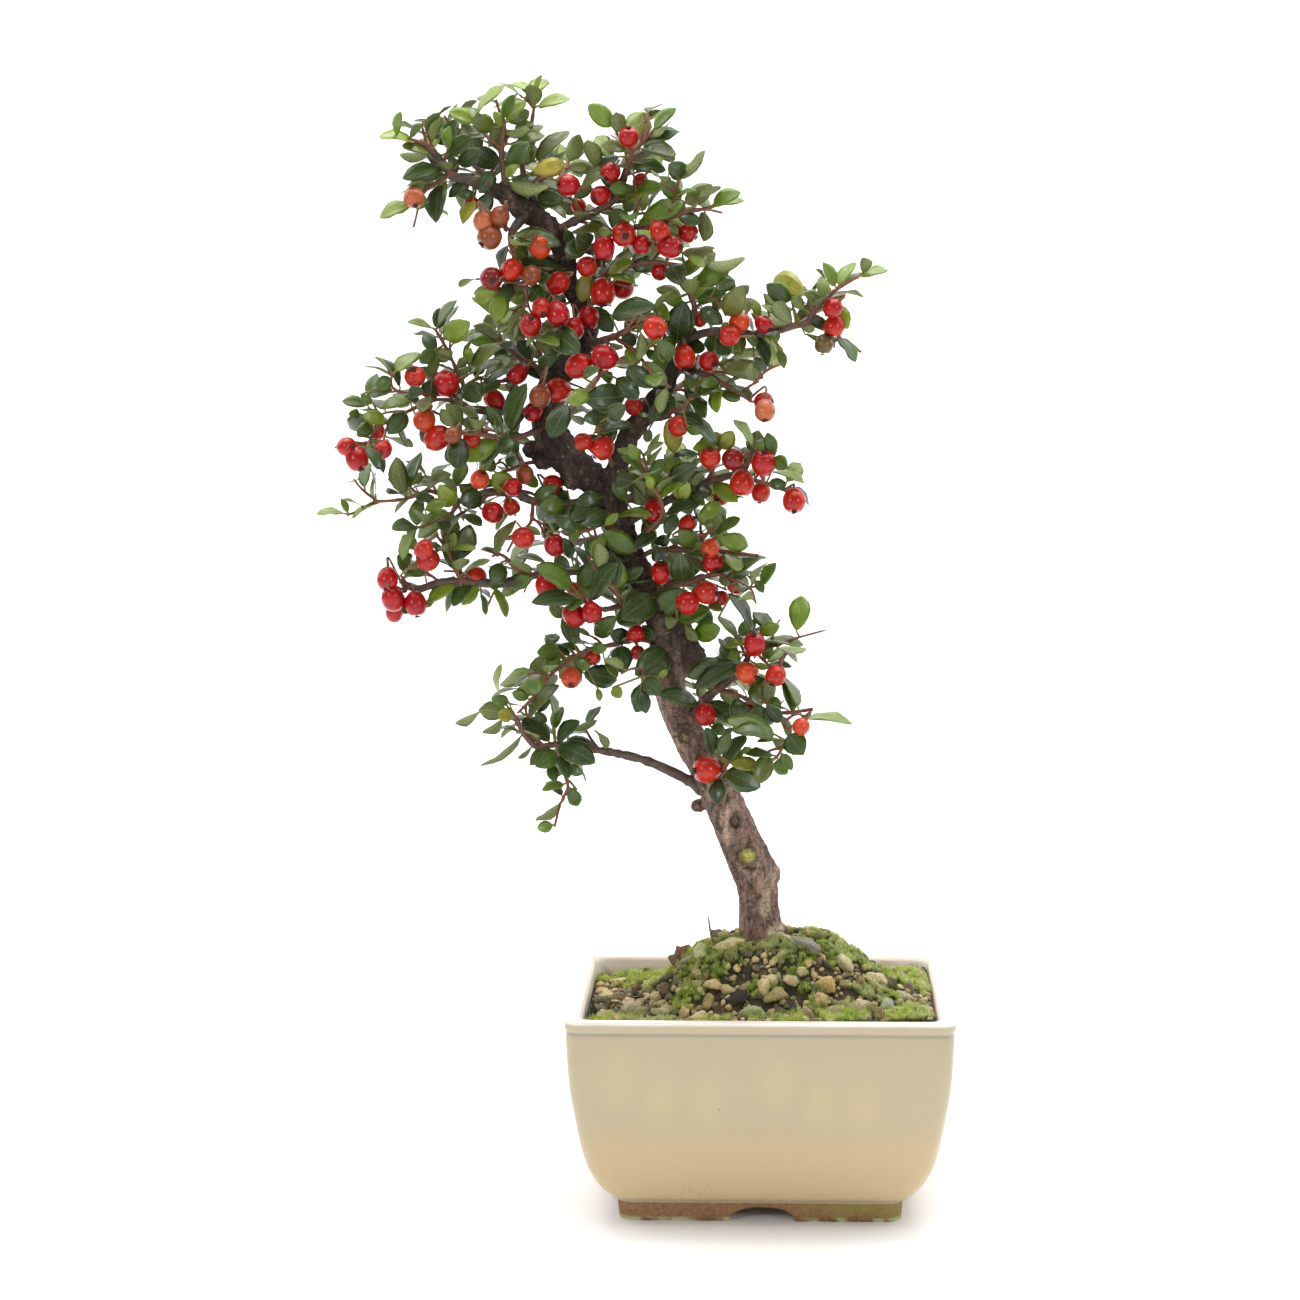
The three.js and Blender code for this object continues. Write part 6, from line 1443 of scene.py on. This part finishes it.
def trunk():
    """Trunk, boughs, burls and the flare of the roots, melted into one skin and then roughened."""
    form = new_form()
    stems = []
    for rows in (TRUNK, RIGHT_LIMB):
        points = [seen(x, z, depth) for x, z, _, depth in rows]
        stems.append(smooth_path(points, [row[2] for row in rows], 2.2))
    foot = seen(0, 97, 0)
    for angle, reach in ROOTS:
        out = Vector((math.cos(math.radians(angle)), math.sin(math.radians(angle)), 0))
        points = [foot + Vector((0, 0, 14)) + out * 3.5, foot + out * 7 + Vector((0, 0, 4)),
                  foot + out * (0.75 * reach) + Vector((0, 0, -3)), foot + out * reach + Vector((0, 0, -11))]
        stems.append(smooth_path(points, [4.6, 4.6, 3.2, 1.6], 2))
    add_stems(form, stems, 8, 0, LOWER_BARK)
    for x, z, depth, radius in KNOBS + FINE_KNOBS:
        knob = bmesh.ops.create_icosphere(form, subdivisions=2, radius=radius)["verts"]
        for vert in knob:
            vert.co += seen(x, z, depth)
    holder = bpy.data.objects.new("wood", as_mesh(form, "wood"))
    bpy.context.scene.collection.objects.link(holder)
    melt = holder.modifiers.new("melt", "REMESH")
    melt.mode = "VOXEL"
    melt.voxel_size = WOOD_GRAIN
    soften = holder.modifiers.new("soften", "SMOOTH")
    soften.factor = 0.5
    soften.iterations = 4
    melted = bpy.data.meshes.new_from_object(holder.evaluated_get(bpy.context.evaluated_depsgraph_get()))
    bpy.data.objects.remove(holder)
    form = new_form()
    form.from_mesh(melted)
    bpy.data.meshes.remove(melted)
    form.normal_update()
    moves = [bark_height(vert.co) * vert.normal for vert in form.verts]
    for vert, move in zip(form.verts, moves):
        vert.co += move
    paint(form, form.verts, bark_tone)
    finish_piece("trunk_and_boughs", form, [BARK], "bark", ["trunk"])


def bark_height(point):
    """How far the bark stands out, in millimetres: long low folds below, rough flakes above."""
    rough = clamp((point.z - 200) / 25)
    folds = noise.noise(Vector((point.x * 0.16, point.y * 0.16, point.z * 0.045)))
    flakes = noise.noise(Vector((point.x * 0.42, point.y * 0.42, point.z * 0.3)))
    fine = noise.noise(point * 0.95)
    cracks = min(0, 0.25 - 5 * off_crack(point))
    height = mix(0.7, 1.0, rough) * folds + mix(0.3, 0.9, rough) * flakes + mix(0.16, 0.35, rough) * fine
    height += mix(0.15, 0.3, rough) * (cracks + 0.8)
    x, z = flat(point)
    for scar_x, scar_z, scar_width, scar_height, sink in BARK_HOLLOWS:
        if point.y < -2:
            off = math.hypot((x - scar_x) / scar_width, (z - scar_z) / scar_height)
            height += -sink if off < 0.75 else 1.1 * max(0, 1 - abs(off - 1.2) / 0.4)
    # The notch over the swelling on the right
    return height - 2.2 * clamp(1 - math.hypot((x - 6.5) / 4, (z - 142) / 4.5))


def off_crack(point):
    """How far a point is from the nearest long upright crack: 0 in it."""
    return abs(noise.noise(Vector((point.x * 0.34, point.y * 0.34, point.z * 0.07))))


def bark_tone(point):
    """The bark's colour: brown-grey below and dark above, with paler patches, cracks darkened with painted
    shade, blots and scars.
    """
    x, z = flat(point)
    dark = clamp((point.z - 209 + 12 * noise.noise(point * 0.12)) / 10)
    tone = blend(LOWER_BARK, UPPER_BARK, dark)
    patch = noise.noise(Vector((point.x * 0.13, point.y * 0.13, point.z * 0.05)) + Vector((7, 3, 1)))
    tone = blend(tone, PALE_BARK, clamp(1.6 * patch) * (1 - 0.75 * dark))
    # Painted shade along the long upright cracks
    tone = blend(tone, DARK_BARK_AND_CRACK_SHADE, clamp(1 - off_crack(point) * 9) * 0.7)
    blots = noise.noise(point * 0.35 + Vector((2, 5, 8)))
    tone = blend(tone, DARK_BARK_AND_CRACK_SHADE, clamp(1.5 * blots - 0.3) * 0.6)
    flecks = noise.noise(point * 0.8 + Vector((4, 1, 6)))
    tone = blend(tone, linear("#b3967d"), clamp(2.2 * flecks - 1.0) * 0.6)
    for scar_x, scar_z, width, height, colour in SCARS:
        off = math.hypot((x - scar_x) / width, (z - scar_z) / height)
        if point.y < 4:
            tone = blend(tone, colour, clamp(2.5 * (1.1 - off)) * 0.95)
    return tone


trunk()


# The pot

CORNER_STEPS = 7
SIDE_STEP = 2.4
# Outside, from the foot to the lip: inset from the solid's rim, height, corner radius. Where the inset is
# negative, the glazed rim stands further out.
POT_OUTSIDE = [
    (18.4, 7.7, 7), (16.4, 9, 8), (14.6, 10.7, 9), (12.2, 13.5, 9.5), (9.6, 17.5, 9.8), (7.4, 22.3, 9.8),
    (5.9, 27, 9.5), (4.6, 32.5, 9), (3.5, 38.5, 8.5), (2.5, 45, 8), (1.6, 50.5, 7.4), (0.8, 56, 6.8),
    (0.2, 63.5, 6.4), (-0.2, 71, 6.2), (-0.45, 79, 6), (-0.15, 80.3, 6), (-0.45, 81.1, 6), (-0.8, 81.7, 6),
    (-0.9, 82.5, 6), (-0.9, 83.6, 6), (-0.5, 84.4, 6), (0.2, 84.9, 5.6), (1.2, 85, 5),
]
# Inside, from the lip to the floor
POT_INSIDE = [
    (4.3, 85, 4.2), (5.2, 84.8, 4.2), (5.8, 84.4, 4.4), (6.2, 83.6, 4.6), (6.2, 75, 6), (7.2, 60, 7),
    (8.7, 45, 7), (13.2, 24, 8), (20, 14, 8), (22.4, 12, 7),
]


def pot_ring(inset, z, radius):
    """Places round a rectangle with rounded corners, anticlockwise seen from above."""
    half_x = POT_WIDTH / 2 - inset
    half_y = POT_DEPTH / 2 - inset
    sides = (round(POT_DEPTH / SIDE_STEP), round(POT_WIDTH / SIDE_STEP))
    places = []
    for corner in range(4):
        centre_x = (half_x - radius) * (1 if corner in (0, 3) else -1)
        centre_y = (half_y - radius) * (1 if corner < 2 else -1)
        for step in range(CORNER_STEPS + 1):
            angle = (corner + step / CORNER_STEPS) * math.pi / 2
            x = centre_x + radius * math.cos(angle)
            y = centre_y + radius * math.sin(angle)
            places.append(Vector((x, y, z)))
    whole = []
    for corner in range(4):
        whole += places[corner * (CORNER_STEPS + 1):(corner + 1) * (CORNER_STEPS + 1)]
        end = places[((corner + 1) * (CORNER_STEPS + 1)) % len(places)]
        count = sides[(corner + 1) % 2]
        whole += [whole[-1].lerp(end, k / count) for k in range(1, count)]
    return whole


def foot_edge(place):
    """How high the foot's lower edge lies: an arch in the middle of each side."""
    on_front = abs(place.y) / POT_DEPTH > abs(place.x) / POT_WIDTH
    off = place.x - 0.9 if on_front else place.y
    arch = math.sqrt(max(0, 1 - (off / (ARCH_WIDTH / 2)) ** 2)) ** 0.8 * ARCH_HEIGHT
    return arch + 0.15 * (1 + noise.noise(place * 0.3))


def plate(form, rings, material):
    """A flat face between an outer ring and the rims of the drain holes in it."""
    edges = []
    for ring in rings:
        edges += [form.edges.get((ring[k - 1], ring[k])) for k in range(len(ring))]
    faces = bmesh.ops.triangle_fill(form, use_beauty=True, use_dissolve=False, edges=edges)["geom"]
    for face in (item for item in faces if isinstance(item, bmesh.types.BMFace)):
        face.material_index = material


def pot():
    """The pot: foot, walls, lip and floor, with the two drain holes."""
    form = new_form()
    foot_inset = POT_OUTSIDE[0][0]
    outer_foot = pot_ring(foot_inset + 0.8, 0, 6.5)
    bottom = [Vector((place.x, place.y, foot_edge(place))) for place in outer_foot]
    first = start_ring(form, bottom)
    ring = first
    for share in (0.35, 0.8):
        level = [low.lerp(Vector((*high.xy, FOOT_HEIGHT)), share)
                 for low, high in zip(bottom, pot_ring(foot_inset + 0.2, 0, 6.5))]
        ring = draw_out(form, ring, level, 1)
    for inset, z, radius in POT_OUTSIDE:
        ring = draw_out(form, ring, pot_ring(inset, z, radius), 0 if z > FOOT_HEIGHT else 1)
    for inset, z, radius in POT_INSIDE:
        ring = draw_out(form, ring, pot_ring(inset, z, radius), 0)
    floor = ring
    inner = [Vector((place.x, place.y, min(foot_edge(outer), FOOT_RECESS)))
             for place, outer in zip(pot_ring(foot_inset + FOOT_RIM, 0, 4), outer_foot)]
    ring = draw_out(form, first, inner, 1)
    underside = draw_out(form, ring, pot_ring(foot_inset + FOOT_RIM + 0.5, FOOT_RECESS + 0.15, 4), 1)
    rims = []
    for side in (-1, 1):
        circle = [Vector((side * DRAIN_X + DRAIN_RADIUS * math.cos(k * math.pi / 16),
                          DRAIN_RADIUS * math.sin(k * math.pi / 16), FOOT_RECESS + 0.15)) for k in range(32)]
        low = start_ring(form, circle)
        high = draw_out(form, low, [Vector((*place.xy, FLOOR_TOP)) for place in circle], 1)
        rims.append((low, high))
    plate(form, [underside, *(low for low, high in rims)], 1)
    plate(form, [floor, *(high for low, high in rims)], 0)
    bmesh.ops.recalc_face_normals(form, faces=form.faces)
    paint(form, form.verts, lip_wear_and_painted_light)
    finish_piece("glazed_pot", form, [GLAZE, CLAY], "glaze", ["pot"])


def lip_wear_and_painted_light(place):
    """How white the glaze has broken on the lip, with the inner walls above the soil whitened as painted
    light; how rusty it is along its inner edge; and how grey along the groove under the lip and just above
    the foot."""
    in_from = min(POT_WIDTH / 2 - abs(place.x), POT_DEPTH / 2 - abs(place.y))
    on_lip = place.z > 84.3
    # Painted light: the inner walls above the soil are painted near white where they stand in shade
    painted_light_wall = place.z > 60 and in_from > 5.7
    white = 1 if on_lip and in_from < 5 else 0.9 if painted_light_wall else 0.12 * clamp((place.z - 81) / 2)
    rust = (0.85 if place.y < 5 - POT_DEPTH / 2 else 0.25) if on_lip and in_from > 5 else 0
    # Grey along the shallow groove under the lip, and in a band just above the foot
    grey_band = 0.75 * clamp(1 - abs(place.z - 80.3) / 0.6) if in_from < 2 else 0
    grey_band = 0.6 if FOOT_HEIGHT < place.z < 9.5 else grey_band
    return white * (0.9 + 0.2 * noise.noise(place * 0.1)), rust, grey_band, 1


pot()
for node in ("drain_mesh_left", "drain_mesh_right"):
    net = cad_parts[node]
    for material_slot in net.material_slots:
        material_slot.link = "OBJECT"
        material_slot.material = NET


# The soil and what lies on it

SOIL_RINGS = 34
# The dark green low in the moss and on the soil under it, partly painted shade
DARK_MOSS_AND_SHADE = linear("#1f2d0b")
MOSS_GREEN = linear("#86a226")
MOSS_TIP = linear("#cfdb60")
MOSS_GREY = linear("#d3d6a8")
SOIL_BROWN = linear("#2a2118")
# Where moss grows thickest: x, y and how far
MOSS_PATCHES = [
    (-58, -45, 13), (-40, -47, 11), (-18, -47, 8), (10, -46, 12), (32, -45, 15), (56, -43, 14), (-50, 36, 18),
    (-28, 38, 11), (-14, -14, 15), (10, -17, 13), (-26, -4, 11), (-28, -26, 9), (32, -4, 15), (24, 12, 13),
    (60, 4, 13), (60, 30, 12), (46, -22, 9), (0, 24, 14), (-40, 8, 8), (20, 36, 12), (2, -32, 6),
    (22, -30, 6),
]


def mossy(x, y):
    """How much moss grows at a place, seen from above."""
    wide = 0.7 * noise.noise(Vector((x * 0.09, y * 0.09, 5)))
    small = 0.5 * noise.noise(Vector((x * 0.2, y * 0.2, 9)))
    return wide + small + max(1.15 * clamp(1.35 - math.hypot(x - moss_x, y - moss_y) / reach)
                      for moss_x, moss_y, reach in MOSS_PATCHES)


def soil_height(x, y):
    """The soil's surface: nearly level under the rim, with a mound round the trunk that falls steeply on
    the left and gently on the right, and with lumps."""
    far = math.hypot(x / (66 if x > 0 else 51), y / (48 if y > 0 else 44))
    t = clamp((far - 0.32) / 0.68)
    rise = 23.5 * (1 - t * t * (3 - 2 * t))
    place = Vector((x, y, 0))
    lumps = 1.5 * noise.noise(place * 0.13) + 1.1 * noise.noise(place * 0.33) + 0.4 * noise.noise(place * 0.8)
    edge = min(1, 0.3 + 0.7 * min(67 - abs(x), 50 - abs(y)) / 12)
    cushion = 1.3 * clamp(2.5 * (mossy(x, y) - 0.5))
    return SOIL_EDGE + 0.4 + 2 * x / 68.5 - 1.5 * y / 51 + rise + (lumps + cushion) * edge


def soil():
    """The soil: a closed block that fills the pot, with a fine rough surface."""
    form = new_form()
    ring = None
    for inset, z, radius in ((22.7, 12.3, 7), (13.5, 24, 8), (9, 45, 7), (6.5, 75, 6)):
        places = pot_ring(inset, z, radius)
        if ring is None:
            ring = start_ring(form, places)
            bottom = ring
        else:
            ring = draw_out(form, ring, places)
    edge = pot_ring(6.5, 0, 5)
    half_x, half_y = POT_WIDTH / 2 - 6.5, POT_DEPTH / 2 - 6.5
    for step in range(SOIL_RINGS):
        inwards = step / SOIL_RINGS
        places = []
        for place in edge:
            u, v = place.x / half_x, place.y / half_y
            share = (1 - inwards) * (1 + (1 / math.hypot(u, v) - 1) * inwards)
            x, y = place.x * share, place.y * share
            places.append(Vector((x, y, soil_height(x, y))))
        ring = draw_out(form, ring, places)
    bmesh.ops.contextual_create(form, geom=bottom)
    bmesh.ops.contextual_create(form, geom=ring)
    bmesh.ops.recalc_face_normals(form, faces=form.faces)
    ground = BVHTree.FromBMesh(form)
    paint(form, form.verts, soil_tone)
    finish_piece("soil_surface", form, [GRIT], "soil", ["soil"])
    return ground


def soil_tone(place):
    """Dark brown between the grains, and dark green under the moss, partly painted shade."""
    brown = blend(SOIL_BROWN, linear("#5b4a33"), clamp(0.4 + 1.2 * noise.noise(place * 0.4)))
    return blend(brown, DARK_MOSS_AND_SHADE, 0.8 * clamp(2 * mossy(place.x, place.y) - 0.5))


def on_ground(ground, x, y):
    """The place on the soil below or above x y, and the way up there."""
    place, up, _, _ = ground.ray_cast(Vector((x, y, 200)), Vector((0, 0, -1)))
    if place is None:
        place, up, _, _ = ground.find_nearest(Vector((x, y, SOIL_EDGE)))
    return place, up


GRAIN_TONES = [linear(code) for code in (
    "#c2a878", "#b29a6a", "#cdb98c", "#9c8a5e", "#8f8a60", "#6b6354", "#4a423b", "#2f2925", "#7d5f46",
    "#5f4c38", "#98936a", "#c0ac7e")]
ALGAE = linear("#6d7a35")
GRAIN_TRIES = 4600
LARGE_GRAINS = 190
MOSS_TUFTS = 2700
DRY_TWIGS = 34


def pebbles(ground):
    """Coarse grit: pumice, clay and lava grains, stained green, some larger stones among them. They lie
    where little moss grows, off the trunk and the rim, and hardly overlap."""
    form = new_form()
    pattern = stone_pattern(2)
    fine_pattern = stone_pattern(3)
    draw = draws(SEEDS.pebbles)
    laid = []
    for x, y, long_way, short_way, thick, angle, code in NOTED_STONES:
        turn = Matrix.Rotation(math.radians(angle), 3, "Z")
        size = Vector((long_way, short_way, thick))
        lay_stone(form, fine_pattern, ground, x, y, turn, size, 0.38, linear(code))
        laid.append((x, y, long_way))
    for number in range(GRAIN_TRIES):
        large = number < LARGE_GRAINS
        size = mix(1.9, 3.3, draw() ** 1.5) if large else mix(0.75, 1.7, draw() ** 1.3)
        x = mix(-67.5, 67.5, draw())
        y = mix(-50, 50, draw())
        shape = Vector((mix(0.8, 1.4, draw()), mix(0.7, 1.1, draw()), mix(0.6, 0.95, draw())))
        turn = Matrix.Rotation(6.3 * draw(), 3, "Z") @ Matrix.Rotation(1.2 * (draw() - 0.5), 3, "X")
        first, second = (GRAIN_TONES[int(draw() * len(GRAIN_TONES))] for _ in range(2))
        tone = blend(first, second, 0.3 * draw())
        if mossy(x, y) > 1.05 or math.hypot(x, y) < 12 or abs(x) + size > 68 or abs(y) + size > 50.5:
            continue
        if any(math.hypot(x - a, y - b) < 0.64 * (size + c) for a, b, c in laid):
            continue
        laid.append((x, y, size))
        lay_stone(form, fine_pattern if large else pattern, ground, x, y, turn, size * shape, 0.25, tone)
    bpy.data.meshes.remove(pattern)
    bpy.data.meshes.remove(fine_pattern)
    finish_piece("pebbles", form, [GRIT], "soil")


# Single stones that stand out: x, y, half sizes, turn and colour
NOTED_STONES = [
    (26, -26, 4, 3.2, 4.2, 20, "#c0a56a"), (17, -14, 7, 2.6, 3.6, -30, "#8d8880"),
    (12, -13, 5.2, 3, 2, 10, "#cdbf9c"), (-13, -12, 6.5, 3.4, 2.2, -8, "#c9b78e"),
    (-23, -9, 4, 3.6, 3, 40, "#b3b184"), (-24, -42, 4.4, 3.2, 3, 40, "#c6b58f"),
    (-2, -40, 5, 3.6, 3.2, -15, "#8f9668"), (-38, -34, 2.6, 3, 4.2, 0, "#a99d74"),
    (-52, -27, 3.2, 3, 4.4, 20, "#b7a88a"), (40, -38, 3.8, 3.4, 4.6, -30, "#b5a583"),
    (50, -36, 3.4, 3, 3.8, 30, "#93957a"), (-64, -20, 6, 2.6, 2, 80, "#5b5a52"),
    (4, -28, 3, 2.6, 2.6, 0, "#b9a87e"), (-8, -33, 4.2, 2.8, 2.4, 10, "#2a2624"),
    (46, -10, 4.6, 3, 2.6, 30, "#bdb08a"), (-20, -30, 3.6, 2.4, 3.4, 50, "#a08c62"),
    (33, -14, 4, 2.4, 3, -40, "#c3b795"), (-32, -44, 3.2, 2.4, 2, 0, "#6a5950"),
    (56, -14, 4.4, 2.6, 2.4, 10, "#a8a07d"), (-57, -2, 4, 3, 2.6, -30, "#6e6048"),
]


def stone_pattern(subdivisions):
    """A round stone of radius 1."""
    form = new_form()
    bmesh.ops.create_icosphere(form, subdivisions=subdivisions, radius=1)
    return as_mesh(form, "stone pattern")


def lay_stone(form, pattern, ground, x, y, turn, size, sunk, tone, rough=0.3):
    """Lays a broken, lumpy stone on the ground, sunk by a share of its thickness."""
    place, up = on_ground(ground, x, y)
    tilt = Vector((0, 0, 1)).rotation_difference(up).to_matrix()
    centre = place + up * size.z * (1 - 2 * sunk)
    # A seed of its own by its place, and above 0
    draw = draws(int(1000 * (x + 70) + 10 * (y + 60)))
    cuts = []
    for _ in range(9):
        way = Vector((draw() - 0.5, draw() - 0.5, draw() - 0.5)).normalized()
        cuts.append((way, mix(0.6, 0.95, draw())))
    verts = stamp(form, pattern)
    for vert in verts:
        chipped = min([far / vert.co.dot(way) for way, far in cuts if vert.co.dot(way) > 0.3], default=1)
        grain = rough * noise.noise(vert.co * 1.7 + centre) + 0.16 * noise.noise(vert.co * 4 + centre)
        lump = min(1.1, chipped) * (1.12 + grain)
        stain = clamp(0.25 + 1.3 * noise.noise(vert.co * 0.8 + centre) - 0.35 * vert.co.z) * 0.75
        vert.co = centre + tilt @ turn @ (vert.co * size * lump)
        paint(form, [vert], blend(tone, ALGAE, stain))


def moss(ground):
    """Cushions of moss: tufts of upright pointed leaves, close together in the damp patches, darker low in
    each tuft, partly with painted shade, and darkened with painted shade near the trunk.
    """
    form = new_form()
    tuft = tuft_pattern()
    heights = [vert.co.z for vert in tuft.vertices]
    draw = draws(SEEDS.moss)
    made = 0
    while made < MOSS_TUFTS:
        x, y, pick = mix(-67.3, 67.3, draw()), mix(-50, 50, draw()), draw()
        if mossy(x, y) < 0.5 + 0.32 * pick or math.hypot(x, y) < 10.5:
            continue
        made += 1
        place, up = on_ground(ground, x, y)
        tilt = Vector((0, 0, 1)).rotation_difference((up + Vector((0, 0, 1))).normalized()).to_matrix()
        turn = tilt @ Matrix.Rotation(6.3 * draw(), 3, "Z")
        size = mix(1.2, 2.1, draw())
        tip = blend(MOSS_GREEN, MOSS_TIP, draw())
        grey = clamp(2 * noise.noise(Vector((x * 0.08, y * 0.08, 3))) + (0.4 if x > 25 else -0.2))
        tip = blend(tip, MOSS_GREY, 0.8 * grey * draw())
        # Painted shade under the tree: tufts near the trunk are darkened by up to a quarter
        shade = 1 - 0.25 * clamp(1.5 - math.hypot(x, y + 4) / 18)
        verts = stamp(form, tuft)
        for vert, height in zip(verts, heights):
            # Darker low in the tuft and lighter at its tip: younger tips, with painted shade at the base
            lit = height * (0.8 + 0.6 * noise.noise(vert.co * 2 + place))
            vert.co = place - up * 0.3 + turn @ (vert.co * size)
            green = blend(DARK_MOSS_AND_SHADE, tip, clamp(1.35 * lit - 0.15))
            paint(form, [vert], (green[0] * shade, green[1] * shade, green[2] * shade, 1))
    bpy.data.meshes.remove(tuft)
    finish_piece("moss_cushions", form, [MOSS], "soil")


TUFT_POINTS = 15


def tuft_pattern():
    """A tuft of three-sided points, upright in its middle and leaning out round it, of uneven height."""
    form = new_form()
    for k in range(TUFT_POINTS):
        reach = math.sqrt((k + 0.3) / TUFT_POINTS)
        angle = k * GOLDEN_ANGLE
        out = Vector((math.cos(angle), math.sin(angle), 0))
        tall = (2.1 - 0.8 * reach) * (0.6 + 0.7 * (k * 0.618 % 1))
        spike = bmesh.ops.create_cone(form, segments=3, radius1=0.12, radius2=0, depth=1, cap_ends=True)
        for vert in spike["verts"]:
            up = vert.co.z + 0.5
            vert.co = Vector((*vert.co.xy, up * tall)) + out * reach * (0.5 + 0.45 * up)
    bmesh.ops.remove_doubles(form, verts=form.verts, dist=0.001)
    return as_mesh(form, "tuft pattern")


# Chips of bark and other litter: x, y, length, width, thickness, turn, tilt and colour
CHIPS_LAID = [
    (-31, 2, 8, 5, 9, 30, 35, "#6d4a3c"), (-28, -6, 9, 4, 3, 15, 15, "#8d7b6a"),
    (-36, -4, 9, 5, 3, -10, 25, "#2e2622"), (46, -44, 8, 4, 4.5, -25, 20, "#70412f"),
    (27, 3, 7, 5, 3, 20, 15, "#705c4e"), (-66, -30, 6, 2, 8, 80, 10, "#2b2521"),
    (20, -46, 5, 3, 2, 10, 20, "#5a3d2c"), (-14, -46, 5.5, 3.4, 2.6, -40, 12, "#4a3328"),
    (12, -36, 6, 4, 3, 70, 20, "#3c302a"), (4, -45, 7, 3, 2.4, -15, 10, "#76665c"),
    (-44, -22, 7, 4, 3, 20, 15, "#5d5048"), (18, 38, 6, 4, 2, -60, 15, "#634734"),
    (-64, 20, 6, 3, 2, 85, 8, "#332a24"), (60, 34, 5, 3, 2, 30, 12, "#59412f"),
    (-60, -10, 8, 4, 2.4, 20, 10, "#4e3d31"), (50, 8, 6, 4, 3, 50, 20, "#4a3b30"),
    (-20, 30, 7, 5, 3, 0, 20, "#5c4030"),
]


def litter(ground):
    """Bark chips and thin dry twigs."""
    form = new_form()
    pattern = stone_pattern(3)
    for x, y, length, width, thick, angle, tilt, code in CHIPS_LAID:
        turn = Matrix.Rotation(math.radians(angle), 3, "Z") @ Matrix.Rotation(math.radians(tilt), 3, "Y")
        size = Vector((length, width, thick)) * 0.55
        lay_stone(form, pattern, ground, x, y, turn, size, 0.35, linear(code), 0.9)
    bpy.data.meshes.remove(pattern)
    stems = []
    draw = draws(SEEDS.litter)
    for _ in range(DRY_TWIGS):
        x, y, angle = mix(-60, 60, draw()), mix(-44, 44, draw()), 6.3 * draw()
        length = mix(3, 9, draw())
        points = []
        for k in range(4):
            off = (k / 3 - 0.5) * length
            bent = angle + 0.25 * (k - 1.5) * (draw() - 0.5)
            place, up = on_ground(ground, x + off * math.cos(bent), y + off * math.sin(bent))
            points.append(place + up * (0.9 + 0.8 * draw()))
        stems.append(smooth_path(points, [0.35, 0.42, 0.36, 0.22], 1.4))
    upright = [seen(-18.5, 102.5, -8), seen(-20, 107, -8), seen(-21, 114, -8)]
    stems.append(smooth_path(upright, [0.6, 0.45, 0.3], 1))
    add_stems(form, stems, 0, 0, linear("#7c6148"))
    finish_piece("bark_chips_and_litter", form, [CHIPS], "soil")


ground = soil()
pebbles(ground)
moss(ground)
litter(ground)


# The sheet of paper it stands on, the light and the camera


# The sheet in millimetres: all its length, the part of it that lies flat, its bend's radius and half width
PAPER_LENGTH = 6800
PAPER_FLAT = 3600
PAPER_BEND = 800
PAPER_HALF = 2600


def stage():
    """A white sheet that curves up behind the pot."""
    form = new_form()
    bmesh.ops.create_grid(form, x_segments=1, y_segments=60, size=1)
    for vert in form.verts:
        vert.co = paper_place(vert.co.x, PAPER_LENGTH * (vert.co.y + 1) / 2)
    sheet = finish_piece("paper_sheet", form, [white_card()], None)


def paper_place(across, along):
    """A place on the sheet, by how far it lies along it from its front edge: flat, bent up, upright."""
    over = clamp((along - PAPER_FLAT) / PAPER_BEND, 0, math.pi / 2)
    rise = max(0, along - PAPER_FLAT - PAPER_BEND * math.pi / 2)
    back = min(along, PAPER_FLAT) + PAPER_BEND * math.sin(over)
    return Vector((across * PAPER_HALF, back - PAPER_HALF, PAPER_BEND - PAPER_BEND * math.cos(over) + rise))


def light(name, place, aim, size, power):
    """A soft white square light, its place and aim in millimetres round the pot."""
    lamp = bpy.data.lights.new(name, "AREA")
    lamp.size = size
    lamp.energy = power
    holder = bpy.data.objects.new(name, lamp)
    bpy.context.scene.collection.objects.link(holder)
    holder.location = TO_FRAME @ Vector(place)
    way = (TO_FRAME @ Vector(aim)) - holder.location
    holder.rotation_euler = way.to_track_quat("-Z", "Y").to_euler()


def camera():
    """The camera, where the photograph was taken from and turned as it was."""
    lens = bpy.data.cameras.new("camera")
    lens.lens = CAMERA_LENS
    lens.sensor_width = 36
    holder = bpy.data.objects.new("camera", lens)
    bpy.context.scene.collection.objects.link(holder)
    forward = Vector((-math.sin(CAMERA_PAN) * math.cos(CAMERA_PITCH),
                      math.cos(CAMERA_PAN) * math.cos(CAMERA_PITCH), -math.sin(CAMERA_PITCH)))
    level = Vector((math.cos(CAMERA_PAN), math.sin(CAMERA_PAN), 0))
    above = level.cross(forward)
    right = level * math.cos(CAMERA_ROLL) + above * math.sin(CAMERA_ROLL)
    up = above * math.cos(CAMERA_ROLL) - level * math.sin(CAMERA_ROLL)
    turn = Matrix((right, up, -forward)).transposed()
    holder.matrix_world = Matrix.Translation(TO_FRAME @ EYE) @ turn.to_4x4()
    lens.clip_start = 0.05
    lens.clip_end = 20
    bpy.context.scene.camera = holder


stage()
# Three soft lights before the tree, two behind it that brighten its edges, one above, and one for the sheet
light("front left", (-1000, -1200, 800), (0, 0, 200), 0.34, 5)
light("front right", (1100, -1200, 700), (0, 0, 200), 0.34, 4.5)
light("low front", (0, -1500, 300), (0, -200, 0), 0.6, 1.9)
light("back left", (-1300, 500, 1050), (0, 0, 250), 1.3, 9.5)
light("back right", (1300, 500, 1050), (0, 0, 250), 1.3, 9.5)
light("above", (0, 50, 1700), (0, 0, 0), 1.6, 23)
light("card", (0, 500, 1500), (0, 1600, 500), 1.6, 26)
world = bpy.data.worlds.new("white room")
world.use_nodes = True
world.node_tree.nodes["Background"].inputs["Color"].default_value = (1, 1, 1, 1)
world.node_tree.nodes["Background"].inputs["Strength"].default_value = 0.22
bpy.context.scene.world = world
bpy.context.scene.view_settings.view_transform = "Standard"
camera()
